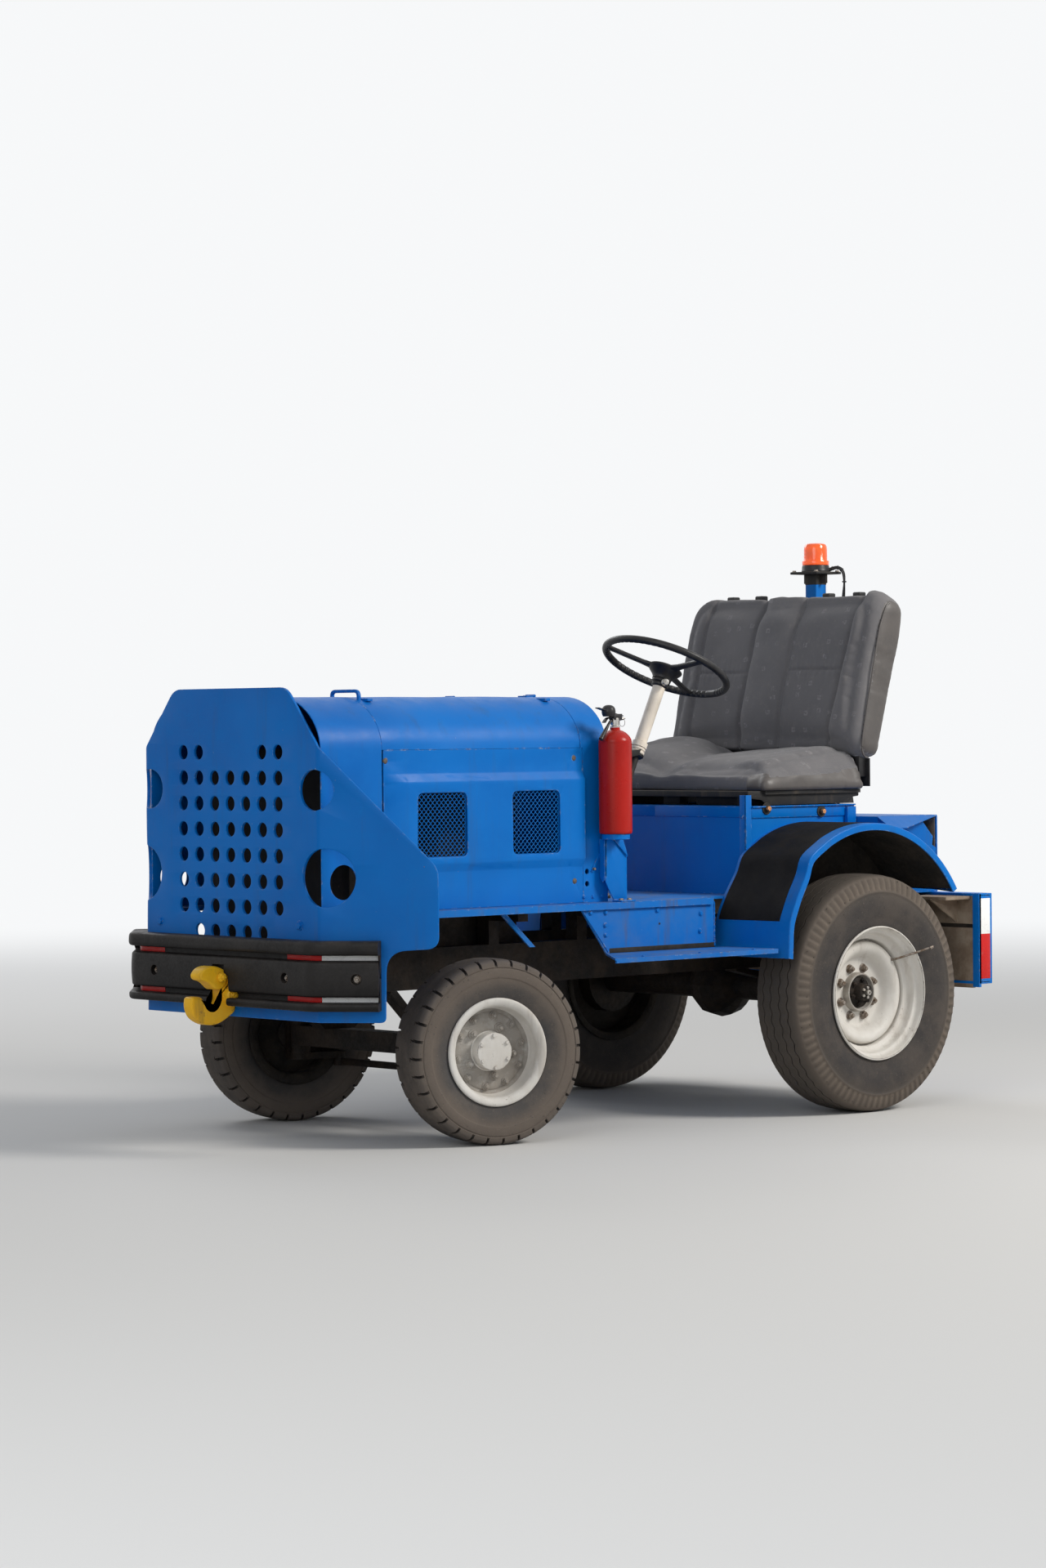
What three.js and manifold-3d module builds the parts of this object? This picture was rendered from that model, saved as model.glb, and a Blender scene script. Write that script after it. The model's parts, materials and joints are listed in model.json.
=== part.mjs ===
// An airport tow tractor: a low four-wheeled machine with a perforated front plate, a lift-up hood,
// an open footwell and a bench seat. Millimetres, +X forward, +Y to the driver's left, +Z up.
// Lengths along X are first measured from the front face of the front plate, then the whole tractor
// is shifted so that the origin lies on the ground under the middle of its length.
import * as THREE from "three";
import { mergeVertices } from "three/addons/utils/BufferGeometryUtils.js";
import Module from "manifold-3d";

const wasm = await Module();
wasm.setup();

// ---- driving dimensions ----
// Clearances
const seatGap = 0.3; // between pieces that rest on each other
const runGap = 0.5; // between a pin or shaft and what turns on it

// Wheels
const wheelbase = 1432;
const frontAxleX = -580;
const frontRadius = 269.5;
const frontWidth = 160;
const frontRimRadius = 147;
const frontOffset = 100; // from the kingpin to the middle of the tyre
const rearRadius = 371;
const rearWidth = 205;
const rearRimRadius = 210;
const rearAxleX = frontAxleX - wheelbase;
const rearTrackHalf = 597;
const restSteer = -16; // the front wheels stand turned to the right
const kingpinY = 400;
const kingpinRadius = 30;
const steerArm = 130;
const axleBeam = 60; // height of the front axle's beam
const axleBossHalf = 55; // half height of the kingpin bosses
const knuckleThick = 20;
const spindleRadius = 22;
const springHalf = 195; // half length of each leaf spring

// Front plate
const plateThick = 10;
const plateHalf = 400;
const plateBottom = 376;
const plateTop = 1327;
const plateTopHalf = 262;
const plateCornerRadius = 45;
const shoulderZ = 1159; // where the plate's outline leaves the wings
const wingSweep = 40; // degrees back from the centre of the plate
const wingLength = 333;
const wingTipTop = 787;
const wingTipBottom = 625;
const wingFootLength = 190;
const wingArchZ = 577;
const wingFootRadius = 18;
const ventHoleRadius = 21;
const ventPitchY = 73.6;
const ventPitchZ = 74.5;
const ventTopZ = 1142;
const lightHoleUpperRadius = 58;
const lightHoleUpperZ = 1034;
const lightHoleUpperOut = -15; // along the plate from the bend
const lightHoleLowerRadius = 83;
const lightHoleLowerZ = 785;
const lightHoleLowerOut = 18;

// Bumper
const bumperTop = 609;
const bumperBottom = 410;
const bumperRail = 40; // height of the top and bottom rails
const bumperRecess = 17; // height of each striped recess
const bumperDepth = 58;
const bumperPadDepth = 48;
const bumperRecessDepth = 22;
const bumperWingLength = 192;

// Hood
const hoodHalf = 398;
const hoodSheet = 4;
const hoodSeamX = -242;
const lidRearX = -1020;
const panelRearX = -1028;
const cowlRearX = -1130;
const cowlWall = 6;
const waistZ = 1145; // where the lid meets the side panels
const roofZ = 1299;
const roofCornerWidth = 186;
const panelRaise = 12;
const raiseTopZ = 1051;
const raiseBottomZ = 813;
const raiseBevel = 24;
const louvreTop = 1020;
const louvreBottom = 832;
const frontLouvreX = -366;
const rearLouvreX = -735;
const louvreLength = 190;
const sideHoleRadius = 50; // round opening in each side of the front cowl
const sideHoleX = -95;
const sideHoleZ = 770;
const lidHingeY = 185;
const hingeHalf = 20;
const handleX = -260; // the handle lies across the lid, to the left of its middle
const handleInnerY = 150;
const handleOuterY = 280;
const handleTop = 1321;
const handleBar = 10;

// Frame
const railY = 235;
const railWidth = 50;
const railBottom = 440;
const railTop = 560;
const crossWidth = 60;
const crossHeight = 70;
const springWidth = 50;
const outriggerWidth = 40;
const engineFrontX = -260;
const engineRearX = -940;
const engineHalf = 195;
const engineTop = 1080;
const radiatorX = -182;
const radiatorThick = 65;
const radiatorHalf = 280;
const radiatorTop = 1150;

// Decks, floor, steps and the arcs of the rear fenders
const fenderX = rearAxleX + 32;
const fenderZ = 444.5;
const fenderRadius = 457;
// The skirt in front of each arc, from its foot up: [along, up] as shares of the radius.
const fenderSkirt = [
  [0.869, 0.115],
  [0.864, 0.205],
  [0.86, 0.297],
  [0.84, 0.391],
  [0.772, 0.524],
  [0.676, 0.669],
];
const fenderFootX = fenderX + fenderSkirt[0][0] * fenderRadius;
const deckTop = 680;
const deckThick = 8;
const deckHalf = 470;
const deckInner = 310;
const deckLip = 20;
const deckRearX = -812;
const gussetY = deckHalf - 70;
const gussetTopX = -678;
const gussetFootX = -813;
const gussetFootZ = 556;
const gussetHalf = 11;
const floorNotchX = rearAxleX + 504; // the floor's edge strips stop short of the fenders
const stepThick = 6;
const stepTop = 528;
const stepOuter = deckHalf + 206;
const stepLip = 14;
const stepFrontX = -893;
const stepRearX = fenderFootX + 5;
const riserY = deckHalf - 16;
const riserFrontX = -954;
const riserFootX = -1067;
const riserRearX = rearAxleX + 493;

// Seat
const seatBoxFrontX = rearAxleX + 292;
const seatBoxRearX = rearAxleX - 203;
const seatBoxHalf = 400;
const seatBoxTop = 955;
const sheet = 5;
const cushionHalf = 430;
const cushionFrontX = rearAxleX + 222;
const cushionRearX = rearAxleX - 228;
const cushionBottom = 1003;
const cushionTop = 1107;
const backRearLow = [rearAxleX - 267, 1094];
const backRearHigh = [rearAxleX - 394, 1545];
const backFrontLow = [rearAxleX - 196, 1124];
const backFrontHigh = [rearAxleX - 305, 1630];
const backTop = [rearAxleX - 352, 1650];
const seatRailY = 300;

// Rear fenders, rear body and rear plate
const fenderOuter = 702;
const fenderLip = 22;
const fenderStart = 52; // degrees, where the arc meets the skirt in front
const fenderEnd = 148;
const rearBodyRearX = rearAxleX - 488;
const rearBodyHalf = 500;
const rearBodyTop = 915;
const rearPlateRearX = rearAxleX - 520;
const rearPlateThick = 62;
const rearPlateHalf = 702;
const rearPlateTop = 666;
const rearPlateBottom = 377;
const rearLedgeX = rearAxleX - 340;
const rearGussetY = 600;
const hitchReach = 96;

// Front hook
const hookReach = 162;
const hookWidth = 46;
const hookZ = 437;

// Beacon
const beaconX = rearAxleX - 455;
const beaconPost = 50;
const beaconTableZ = 1706;
const beaconTable = 120;
const beaconTableThick = 8;
const beaconTop = 1809;
const beaconDomeRadius = 39;
const beaconBaseRadius = 47;
const beaconBaseHeight = 22;
const cableRadius = 5;
const cableY = 92;

// Extinguisher
const bottleX = -1110;
const bottleY = 455;
const bottleRadius = 50;
const bottleBottom = 885;
const bottleShoulder = 1165;
const bottleNeck = 1205;

// Steering
const steeringY = 200;
const wheelCentreX = -1575;
const wheelCentreZ = 1393;
const steerRimRadius = 206;
const steerRimThick = 13;
const hubDrop = 26; // from the rim's plane down to the top of the column
const hubHalf = 22;
const columnTilt = 25.8; // degrees from vertical
const columnRadius = 24;
const jacketEnd = 302; // from the wheel's centre down to the foot of the jacket

// ---- shape helpers ----
const degrees = THREE.MathUtils.degToRad;

// A closed solid from a closed geometry.
const solidOf = (geometry) => {
  const bare = geometry.index ? geometry.clone() : geometry;
  bare.deleteAttribute("normal");
  bare.deleteAttribute("uv");
  const merged = mergeVertices(bare, 1e-3);
  return new wasm.Manifold(
    new wasm.Mesh({
      numProp: 3,
      vertProperties: new Float32Array(merged.attributes.position.array),
      triVerts: new Uint32Array(merged.index.array),
    }),
  );
};

const geometryOf = (solid) => {
  const mesh = solid.getMesh();
  const geometry = new THREE.BufferGeometry();
  geometry.setAttribute("position", new THREE.BufferAttribute(mesh.vertProperties, 3));
  geometry.setIndex(new THREE.BufferAttribute(mesh.triVerts, 1));
  return geometry;
};

const join = (...solids) => solids.reduce((whole, piece) => whole.add(piece));
const cut = (whole, ...tools) => tools.reduce((left, tool) => left.subtract(tool), whole);
const moved = (geometry, matrix) => solidOf(geometry.applyMatrix4(matrix));

// A block between two limits on each axis.
const block = ([x0, x1], [y0, y1], [z0, z1]) => {
  const geometry = new THREE.BoxGeometry(Math.abs(x1 - x0), Math.abs(y1 - y0), Math.abs(z1 - z0));
  geometry.translate((x0 + x1) / 2, (y0 + y1) / 2, (z0 + z1) / 2);
  return solidOf(geometry);
};

// A round bar between two points, with an optional second radius at its far end.
const bar = (from, to, radius, sides = 20, farRadius = radius) => {
  const start = new THREE.Vector3(...from);
  const along = new THREE.Vector3(...to).sub(start);
  const geometry = new THREE.CylinderGeometry(farRadius, radius, along.length(), sides);
  const turn = new THREE.Quaternion().setFromUnitVectors(
    new THREE.Vector3(0, 1, 0),
    along.clone().normalize(),
  );
  geometry.applyQuaternion(turn);
  geometry.translate(...start.addScaledVector(along, 0.5).toArray());
  return solidOf(geometry);
};

// Outline points from corners [u, v, fillet radius]; a filleted corner becomes an arc.
const arcStep = degrees(18);
const outline = (corners) => {
  const points = [];
  corners.forEach(([u, v, radius = 0], i) => {
    const here = new THREE.Vector2(u, v);
    if (!radius) {
      points.push(here);
      return;
    }
    const next = corners[(i + 1) % corners.length];
    const before = new THREE.Vector2(...corners.at(i - 1).slice(0, 2)).sub(here).normalize();
    const after = new THREE.Vector2(...next.slice(0, 2)).sub(here).normalize();
    const half = Math.acos(before.dot(after)) / 2;
    const middle = before.clone().add(after).normalize();
    const centre = here.clone().addScaledVector(middle, radius / Math.sin(half));
    const first = here.clone().addScaledVector(before, radius / Math.tan(half));
    const sweep = (before.cross(after) < 0 ? 1 : -1) * (Math.PI - 2 * half);
    const steps = Math.max(2, Math.round(Math.abs(sweep) / arcStep));
    for (let k = 0; k <= steps; k += 1) {
      points.push(first.clone().rotateAround(centre, (sweep * k) / steps));
    }
  });
  return points;
};

const arc = (u, v, radius, fromDegrees, toDegrees, steps) =>
  Array.from({ length: steps + 1 }, (_, k) => {
    const angle = degrees(fromDegrees + ((toDegrees - fromDegrees) * k) / steps);
    return [u + radius * Math.cos(angle), v + radius * Math.sin(angle)];
  });

const extruded = (corners, depth) =>
  new THREE.ExtrudeGeometry(new THREE.Shape(outline(corners)), { depth, bevelEnabled: false });

const basis = (u, v, w, origin) =>
  new THREE.Matrix4()
    .makeBasis(new THREE.Vector3(...u), new THREE.Vector3(...v), new THREE.Vector3(...w))
    .setPosition(...origin);

// Corners [y, z] swept along X, [x, z] swept along Y and [x, y] swept along Z.
const alongX = (corners, [x0, x1]) =>
  moved(extruded(corners, x1 - x0), basis([0, 1, 0], [0, 0, 1], [1, 0, 0], [x0, 0, 0]));
const alongY = (corners, [y0, y1]) =>
  moved(extruded(corners, y1 - y0), basis([1, 0, 0], [0, 0, 1], [0, -1, 0], [0, y1, 0]));
const alongZ = (corners, [z0, z1]) =>
  moved(extruded(corners, z1 - z0), basis([1, 0, 0], [0, 1, 0], [0, 0, 1], [0, 0, z0]));

// A profile of [radius, place along the axis] turned about Y; it starts and ends on the axis or closes.
const turned = (profile, segments, firstAngle = 0) => {
  const points = profile.map(([radius, place]) => new THREE.Vector2(radius, place));
  return solidOf(new THREE.LatheGeometry(points, segments, firstAngle));
};

// The same with its axis standing on a point.
const upright = (profile, segments, foot) => {
  const points = profile.map(([radius, place]) => new THREE.Vector2(radius, place));
  return moved(
    new THREE.LatheGeometry(points, segments),
    basis([1, 0, 0], [0, 0, 1], [0, -1, 0], foot),
  );
};

const mirrorY = new THREE.Matrix4().makeScale(1, -1, 1);
const mirrored = (solid) => {
  const geometry = geometryOf(solid);
  geometry.applyMatrix4(mirrorY);
  const index = geometry.index.array;
  for (let i = 0; i < index.length; i += 3) {
    [index[i], index[i + 1]] = [index[i + 1], index[i]];
  }
  return solidOf(geometry);
};

// ---- materials ----
const finish = (color, roughness, metalness) => ({ color, roughness, metalness });
const finishes = {
  bluePaint: finish(0x0a6cbd, 0.45, 0.1),
  darkSteel: finish(0x23262a, 0.6, 0.5),
  rubber: finish(0x1f1d1d, 0.85, 0),
  tyre: finish(0x554d48, 0.95, 0),
  rimPaint: finish(0xd9d4cb, 0.5, 0.1),
  yellowPaint: finish(0xe8a912, 0.5, 0.1),
  castIron: finish(0x3a3632, 0.8, 0.6),
  redPaint: finish(0xb0201a, 0.4, 0.1),
  blackPlastic: finish(0x151516, 0.55, 0),
  seatCloth: finish(0x6b6a6e, 0.95, 0),
  creamPaint: finish(0xe6dccb, 0.5, 0.1),
  amber: finish(0xff5a00, 0.2, 0),
};

const tractor = new THREE.Group();
const addTo = (group, name, finishName, solid) => {
  const mesh = new THREE.Mesh(
    geometryOf(solid),
    new THREE.MeshStandardMaterial(finishes[finishName]),
  );
  mesh.name = name;
  group.add(mesh);
};
const add = (name, finishName, solid) => addTo(tractor, name, finishName, solid);
const addPair = (name, finishName, leftSolid) => {
  add(`${name}_left`, finishName, leftSolid);
  add(`${name}_right`, finishName, mirrored(leftSolid));
};

// ---- front plate ----
const sweepAngle = degrees(wingSweep);
const wingAlong = [-Math.sin(sweepAngle), Math.cos(sweepAngle), 0];
const wingOut = [Math.cos(sweepAngle), Math.sin(sweepAngle), 0];
const bendOut = [Math.cos(sweepAngle / 2), Math.sin(sweepAngle / 2), 0];

// The x of the left wing's plane at a given y, a depth behind (negative) or in front of its face.
const wingX = (y, depth) => depth / Math.cos(sweepAngle) - (y - plateHalf) * Math.tan(sweepAngle);
// Half-width at which the centre plane and the wing plane, both moved by depth, meet.
const bendY = (depth) => plateHalf + depth * Math.tan(sweepAngle / 2);

// The plan of a layer that follows the plate's bends: from one depth to another, out to a wing length.
const bentPlan = (depth0, depth1, length) => {
  const end = (depth) => [
    wingAlong[0] * length + wingOut[0] * depth,
    plateHalf + wingAlong[1] * length + wingOut[1] * depth,
  ];
  const left = [
    [depth0, bendY(depth0)],
    end(depth0),
    end(depth1),
    [depth1, bendY(depth1)],
  ];
  const right = left.map(([x, y]) => [x, -y]);
  return [left[3], left[2], left[1], left[0], right[0], right[1], right[2], right[3]].reverse();
};

const centrePlate = () =>
  alongX(
    [
      [-plateHalf, plateBottom],
      [plateHalf, plateBottom],
      [plateHalf, shoulderZ],
      [plateTopHalf, plateTop, plateCornerRadius],
      [-plateTopHalf, plateTop, plateCornerRadius],
      [-plateHalf, shoulderZ],
    ],
    [-plateThick, 0],
  );

const leftWing = () => {
  const corners = [
    [0, plateBottom],
    [wingFootLength - wingFootRadius, plateBottom, 0],
    [wingFootLength, plateBottom + wingFootRadius],
    [wingFootLength, wingArchZ, 70],
    [wingLength, wingTipBottom],
    [wingLength, wingTipTop],
    [0, shoulderZ],
  ];
  const flat = extruded(corners, plateThick);
  const wing = moved(
    flat,
    basis(wingAlong, [0, 0, 1], wingOut, [
      -plateThick * wingOut[0],
      plateHalf - plateThick * wingOut[1],
      0,
    ]),
  );
  // The bend's inside corner is filled out to the mitre between the two sheets.
  const root = block([-plateThick, 0], [plateHalf - plateThick, plateHalf], [plateBottom, shoulderZ]);
  return join(wing, root);
};

// Column and row counts of the round vents: the top row leaves its middle bare.
const ventHoles = () => {
  const rows = [
    // row, columns
    { row: 1, columns: [1, 2, 6, 7] },
    ...[2, 3, 4, 5, 6, 7].map((row) => ({ row, columns: [1, 2, 3, 4, 5, 6, 7] })),
    { row: 8, columns: [2, 3, 4, 5, 6] },
  ];
  const holes = [];
  for (const { row, columns } of rows) {
    for (const column of columns) {
      const y = (4 - column) * ventPitchY;
      const z = ventTopZ - (row - 1) * ventPitchZ;
      holes.push(bar([-3 * plateThick, y, z], [plateThick, y, z], ventHoleRadius, 10));
    }
  }
  return holes;
};

const lightHole = (radius, z, outboard) => {
  const x = -Math.sin(sweepAngle / 2) * outboard;
  const y = plateHalf + Math.cos(sweepAngle / 2) * outboard;
  const reach = 60;
  return bar(
    [x - bendOut[0] * reach, y - bendOut[1] * reach, z],
    [x + bendOut[0] * reach, y + bendOut[1] * reach, z],
    radius,
    24,
  );
};

const makeFrontPlate = () => {
  const wing = leftWing();
  const lightHoles = [
    lightHole(lightHoleUpperRadius, lightHoleUpperZ, lightHoleUpperOut),
    lightHole(lightHoleLowerRadius, lightHoleLowerZ, lightHoleLowerOut),
  ];
  const whole = join(centrePlate(), wing, mirrored(wing));
  add(
    "front_plate",
    "bluePaint",
    cut(whole, ...ventHoles(), ...lightHoles, ...lightHoles.map(mirrored)),
  );
};

// ---- bumper and front hook ----
const hookBodyDepth = 62;
const makeBumper = () => {
  const recessTop = bumperTop - bumperRail;
  const padTop = recessTop - bumperRecess;
  const lowRecessBottom = bumperBottom + bumperRail * 0.6;
  const padBottom = lowRecessBottom + bumperRecess;
  const layers = [
    // bottom, top, depth
    [recessTop, bumperTop, bumperDepth],
    [padTop, recessTop, bumperRecessDepth],
    [padBottom, padTop, bumperPadDepth],
    [lowRecessBottom, padBottom, bumperRecessDepth],
    [bumperBottom, lowRecessBottom, bumperDepth],
  ];
  const rubber = join(
    ...layers.map(([bottom, top, depth]) =>
      alongZ(bentPlan(seatGap, depth, bumperWingLength), [bottom, top]),
    ),
  );
  const hookSlot = block(
    [-1, bumperDepth + 10],
    [-hookWidth - seatGap, hookWidth + seatGap],
    [bumperBottom - 10, hookZ + 62 + seatGap],
  );
  const jawHalf = hookWidth / 2 + 4 + seatGap;
  const jawSlot = block(
    [30, bumperDepth + 10],
    [-jawHalf, jawHalf],
    [hookZ, hookZ + 92],
  );
  add("front_bumper", "rubber", cut(rubber, hookSlot, jawSlot));
};

const makeHook = () => {
  const mouthX = hookReach - 52;
  const mouthZ = hookZ - 31;
  // Side view of the fixed hook: a C that opens forwards and upwards.
  const lower = [
    ...arc(mouthX, mouthZ, 52, -190, 35, 12),
    ...arc(mouthX, mouthZ, 27, 35, -190, 9),
  ];
  const shank = [
    [seatGap, hookZ - 40],
    [70, mouthZ - 40],
    [mouthX - 20, mouthZ],
    [mouthX - 30, hookZ + 34],
    [seatGap, hookZ + 62],
  ];
  const jaw = [
    [48, 18],
    [70, 23],
    [108, 50, 8],
    [124, 52],
    [131, 66, 6],
    [112, 84, 14],
    [85, 91, 20],
    [52, 80, 16],
    [34, 60],
  ].map(([x, z, radius]) => [x, hookZ + z, radius]);
  const half = hookWidth / 2;
  const boss = bar([36, -hookWidth + 1, hookZ + 4], [36, hookWidth - 1, hookZ + 4], 24, 16);
  const back = block([seatGap, 30], [-hookWidth, hookWidth], [hookZ - 30, hookZ + 58]);
  const pin = bar([58, -hookWidth + 8, hookZ + 57], [58, hookWidth - 8, hookZ + 57], 9, 12);
  add(
    "front_hook",
    "yellowPaint",
    join(
      alongY(lower, [-half + 4, half - 4]),
      alongY(shank, [-half, half]),
      alongY(jaw, [-half - 4, half + 4]),
      boss,
      back,
      pin,
    ),
  );
};

// ---- hood ----
// Arch section [y, z] over the hood, from its waist on the right, over the roof, to the left.
const archTop = (inset, waist = waistZ) => {
  const across = roofCornerWidth - inset;
  const rise = roofZ - waistZ - inset;
  const quarter = (side) =>
    Array.from({ length: 7 }, (_, k) => {
      const angle = (Math.PI / 2) * (k / 6);
      const y = hoodHalf - roofCornerWidth + across * Math.cos(angle);
      return [side * y, waistZ + rise * Math.sin(angle)];
    });
  const left = quarter(1);
  const right = quarter(-1).reverse();
  const foot = waist < waistZ ? [[hoodHalf - inset, waist]] : [];
  const otherFoot = foot.map(([y, z]) => [-y, z]);
  return [...foot, ...left, ...right, ...otherFoot];
};

const archShell = (waist, [x0, x1]) => {
  const outer = alongX(archTop(0, waist), [x0, x1]);
  const inner = archTop(hoodSheet, waist);
  const lowered = inner.map(([y, z]) => [y, z <= waist + 0.001 ? waist - 5 : z]);
  return cut(outer, alongX(lowered, [x0 - 5, x1 + 5]));
};

const makeFrontCowl = () => {
  const shell = archShell(deckTop + seatGap, [hoodSeamX + seatGap, -plateThick - 5]);
  const reach = hoodHalf + 50;
  const opening = bar(
    [sideHoleX, -reach, sideHoleZ],
    [sideHoleX, reach, sideHoleZ],
    sideHoleRadius,
    20,
  );
  add("front_cowl", "bluePaint", cut(shell, opening));
};

const makeLid = () => {
  const shell = archShell(waistZ, [lidRearX + seatGap, hoodSeamX]);
  const half = handleBar / 2;
  const legBottom = roofZ - 15; // the outer leg stands where the roof starts to fall away
  const legs = [handleInnerY, handleOuterY - handleBar].map((y) =>
    block([handleX - half, handleX + half], [y, y + handleBar], [legBottom, handleTop - 4]),
  );
  const grip = alongX(
    [
      [handleInnerY, handleTop - handleBar],
      [handleOuterY, handleTop - handleBar],
      [handleOuterY, handleTop, 6],
      [handleInnerY, handleTop, 6],
    ],
    [handleX - half, handleX + half],
  );
  const barrelX = lidRearX + 6;
  const hinges = [lidHingeY, -lidHingeY].flatMap((y) => [
    block([barrelX, barrelX + 34], [y - hingeHalf, y + hingeHalf], [roofZ - 1, roofZ + 4]),
    bar([barrelX, y - hingeHalf, roofZ + 3], [barrelX, y + hingeHalf, roofZ + 3], 5, 10),
  ]);
  add("hood_lid", "bluePaint", join(shell, ...legs, grip, ...hinges));
};

const makeSidePanels = () => {
  const x0 = panelRearX;
  const x1 = hoodSeamX - 4;
  const outer = hoodHalf;
  const base = block([x0, x1], [outer - hoodSheet, outer], [deckTop + seatGap, waistZ - seatGap]);
  const raised = alongX(
    [
      [outer - 1, raiseBottomZ - raiseBevel],
      [outer + panelRaise, raiseBottomZ],
      [outer + panelRaise, raiseTopZ],
      [outer - 1, raiseTopZ + raiseBevel],
    ],
    [x0, x1 - 14],
  );
  const pocket = block(
    [x0 + hoodSheet, x1 - 20],
    [outer - hoodSheet - 1, outer + panelRaise - hoodSheet],
    [raiseBottomZ + 2, raiseTopZ - 2],
  );
  // Diamond openings stand for the expanded mesh of each louvre.
  const diamonds = [];
  const rows = 5;
  const columns = 5;
  const pitchX = louvreLength / columns;
  const pitchZ = (louvreTop - louvreBottom) / rows;
  for (const start of [frontLouvreX, rearLouvreX]) {
    for (let row = 0; row < rows; row += 1) {
      for (let column = 0; column < columns; column += 1) {
        const x = start - (column + 0.5) * pitchX;
        const z = louvreBottom + (row + 0.5) * pitchZ;
        const w = pitchX * 0.46;
        const h = pitchZ * 0.44;
        diamonds.push(
          alongY([[x - w, z], [x, z - h], [x + w, z], [x, z + h]], [outer - 10, outer + 20]),
        );
      }
    }
  }
  addPair("side_panel", "bluePaint", cut(join(base, raised), pocket, ...diamonds));
};

const makeRearCowl = () => {
  const x0 = cowlRearX;
  const x1 = lidRearX - seatGap;
  const sides = alongX(archTop(0, deckTop + seatGap), [x0, panelRearX - seatGap]);
  const top = alongX(archTop(0, waistZ), [x0, x1]);
  const inside = hoodHalf - cowlWall;
  const ceiling = roofZ - cowlWall - 3;
  const hollow = alongX(
    [
      [-inside, deckTop - 10],
      [inside, deckTop - 10],
      [inside, waistZ],
      [hoodHalf - 60, waistZ + 100],
      [hoodHalf - roofCornerWidth, ceiling],
      [roofCornerWidth - hoodHalf, ceiling],
      [60 - hoodHalf, waistZ + 100],
      [-inside, waistZ],
    ],
    [x0 + cowlWall, x1 + 5],
  );
  const leaves = [lidHingeY, -lidHingeY].map((y) =>
    block([x1 - 34, x1], [y - hingeHalf, y + hingeHalf], [roofZ - 1, roofZ + 4]),
  );
  const screwHoles = [720, 758].map((z) =>
    bar([cowlRearX + 58, -hoodHalf - 5, z], [cowlRearX + 58, hoodHalf + 5, z], 7, 10),
  );
  add("rear_cowl", "bluePaint", join(cut(join(sides, top), hollow, ...screwHoles), ...leaves));
};

// ---- frame and engine ----
const makeFrame = () => {
  const half = railWidth / 2;
  const rearEnd = rearPlateRearX + rearPlateThick + seatGap;
  const frontEnd = -plateThick - seatGap;
  const pieces = [1, -1].map((side) =>
    block([rearEnd, frontEnd], [side * railY - half, side * railY + half], [railBottom, railTop]),
  );
  const crossTop = railBottom + crossHeight;
  const crossmemberXs = [-60, -300, -900, rearAxleX + 512, rearAxleX - 368];
  for (const x of crossmemberXs) {
    pieces.push(
      block([x - crossWidth / 2, x + crossWidth / 2], [-railY, railY], [railBottom + 20, crossTop]),
    );
  }
  // Outriggers carry the decks and the floor on posts above the rails.
  const under = deckTop - deckThick - seatGap;
  const outriggers = [
    // x, reach
    [-330, gussetY - 10],
    [-790, gussetY - 10],
    [-1150, riserY - 20],
    [riserRearX + 39, riserY - 20],
  ];
  for (const [x, reach] of outriggers) {
    const along = [x - outriggerWidth / 2, x + outriggerWidth / 2];
    for (const side of [1, -1]) {
      pieces.push(
        block(along, [side * (railY - half), side * reach], [under - 40, under]),
        block(along, [side * (railY - half), side * (railY + half)], [railTop - 5, under]),
      );
    }
  }
  add("main_frame", "darkSteel", join(...pieces));
};

const makeEngine = () => {
  const bottom = railBottom + crossHeight + seatGap;
  const thick = radiatorThick / 2;
  add(
    "engine_block",
    "castIron",
    block([engineRearX, engineFrontX], [-engineHalf, engineHalf], [bottom, engineTop]),
  );
  add(
    "radiator",
    "darkSteel",
    block(
      [radiatorX - thick, radiatorX + thick],
      [-radiatorHalf, radiatorHalf],
      [railTop + seatGap, radiatorTop],
    ),
  );
};

// ---- decks, floor and steps ----
const makeDecks = () => {
  const back = (y) => wingX(y, -plateThick - seatGap);
  const top = [
    [deckRearX, deckInner],
    [-plateThick - seatGap, deckInner],
    [-plateThick - seatGap, plateHalf - 12],
    [back(plateHalf), plateHalf],
    [back(deckHalf), deckHalf],
    [deckRearX, deckHalf],
  ];
  const plate = alongZ(top, [deckTop - deckThick, deckTop]);
  const lip = block(
    [deckRearX, back(deckHalf) - 2],
    [deckHalf - 5, deckHalf],
    [deckTop - deckLip, deckTop - 1],
  );
  const gusset = alongY(
    [
      [gussetTopX + gussetHalf, deckTop - 4],
      [gussetTopX - gussetHalf, deckTop - 4],
      [gussetFootX - gussetHalf, gussetFootZ],
      [gussetFootX + gussetHalf, gussetFootZ],
    ],
    [gussetY, gussetY + stepThick],
  );
  addPair("deck", "bluePaint", join(plate, lip, gusset));
};

const makeFloor = () => {
  const front = deckRearX - seatGap;
  const engineBay = block(
    [engineRearX - 15, front + 5],
    [-deckInner, deckInner],
    [deckTop - 2 * deckThick, deckTop + deckThick],
  );
  const plate = block(
    [seatBoxFrontX - 40, front],
    [-deckHalf, deckHalf],
    [deckTop - deckThick, deckTop],
  );
  const lips = [deckHalf - 5, -deckHalf].map((y) =>
    block([floorNotchX, front], [y, y + 5], [deckTop - deckLip, deckTop - 1]),
  );
  const besideFenders = [1, -1].map((side) =>
    block(
      [seatBoxFrontX - 60, floorNotchX],
      [side * seatBoxHalf, side * (deckHalf + 5)],
      [deckTop - 2 * deckLip, deckTop + deckThick],
    ),
  );
  add("floor", "bluePaint", cut(join(plate, ...lips), engineBay, ...besideFenders));
};

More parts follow.
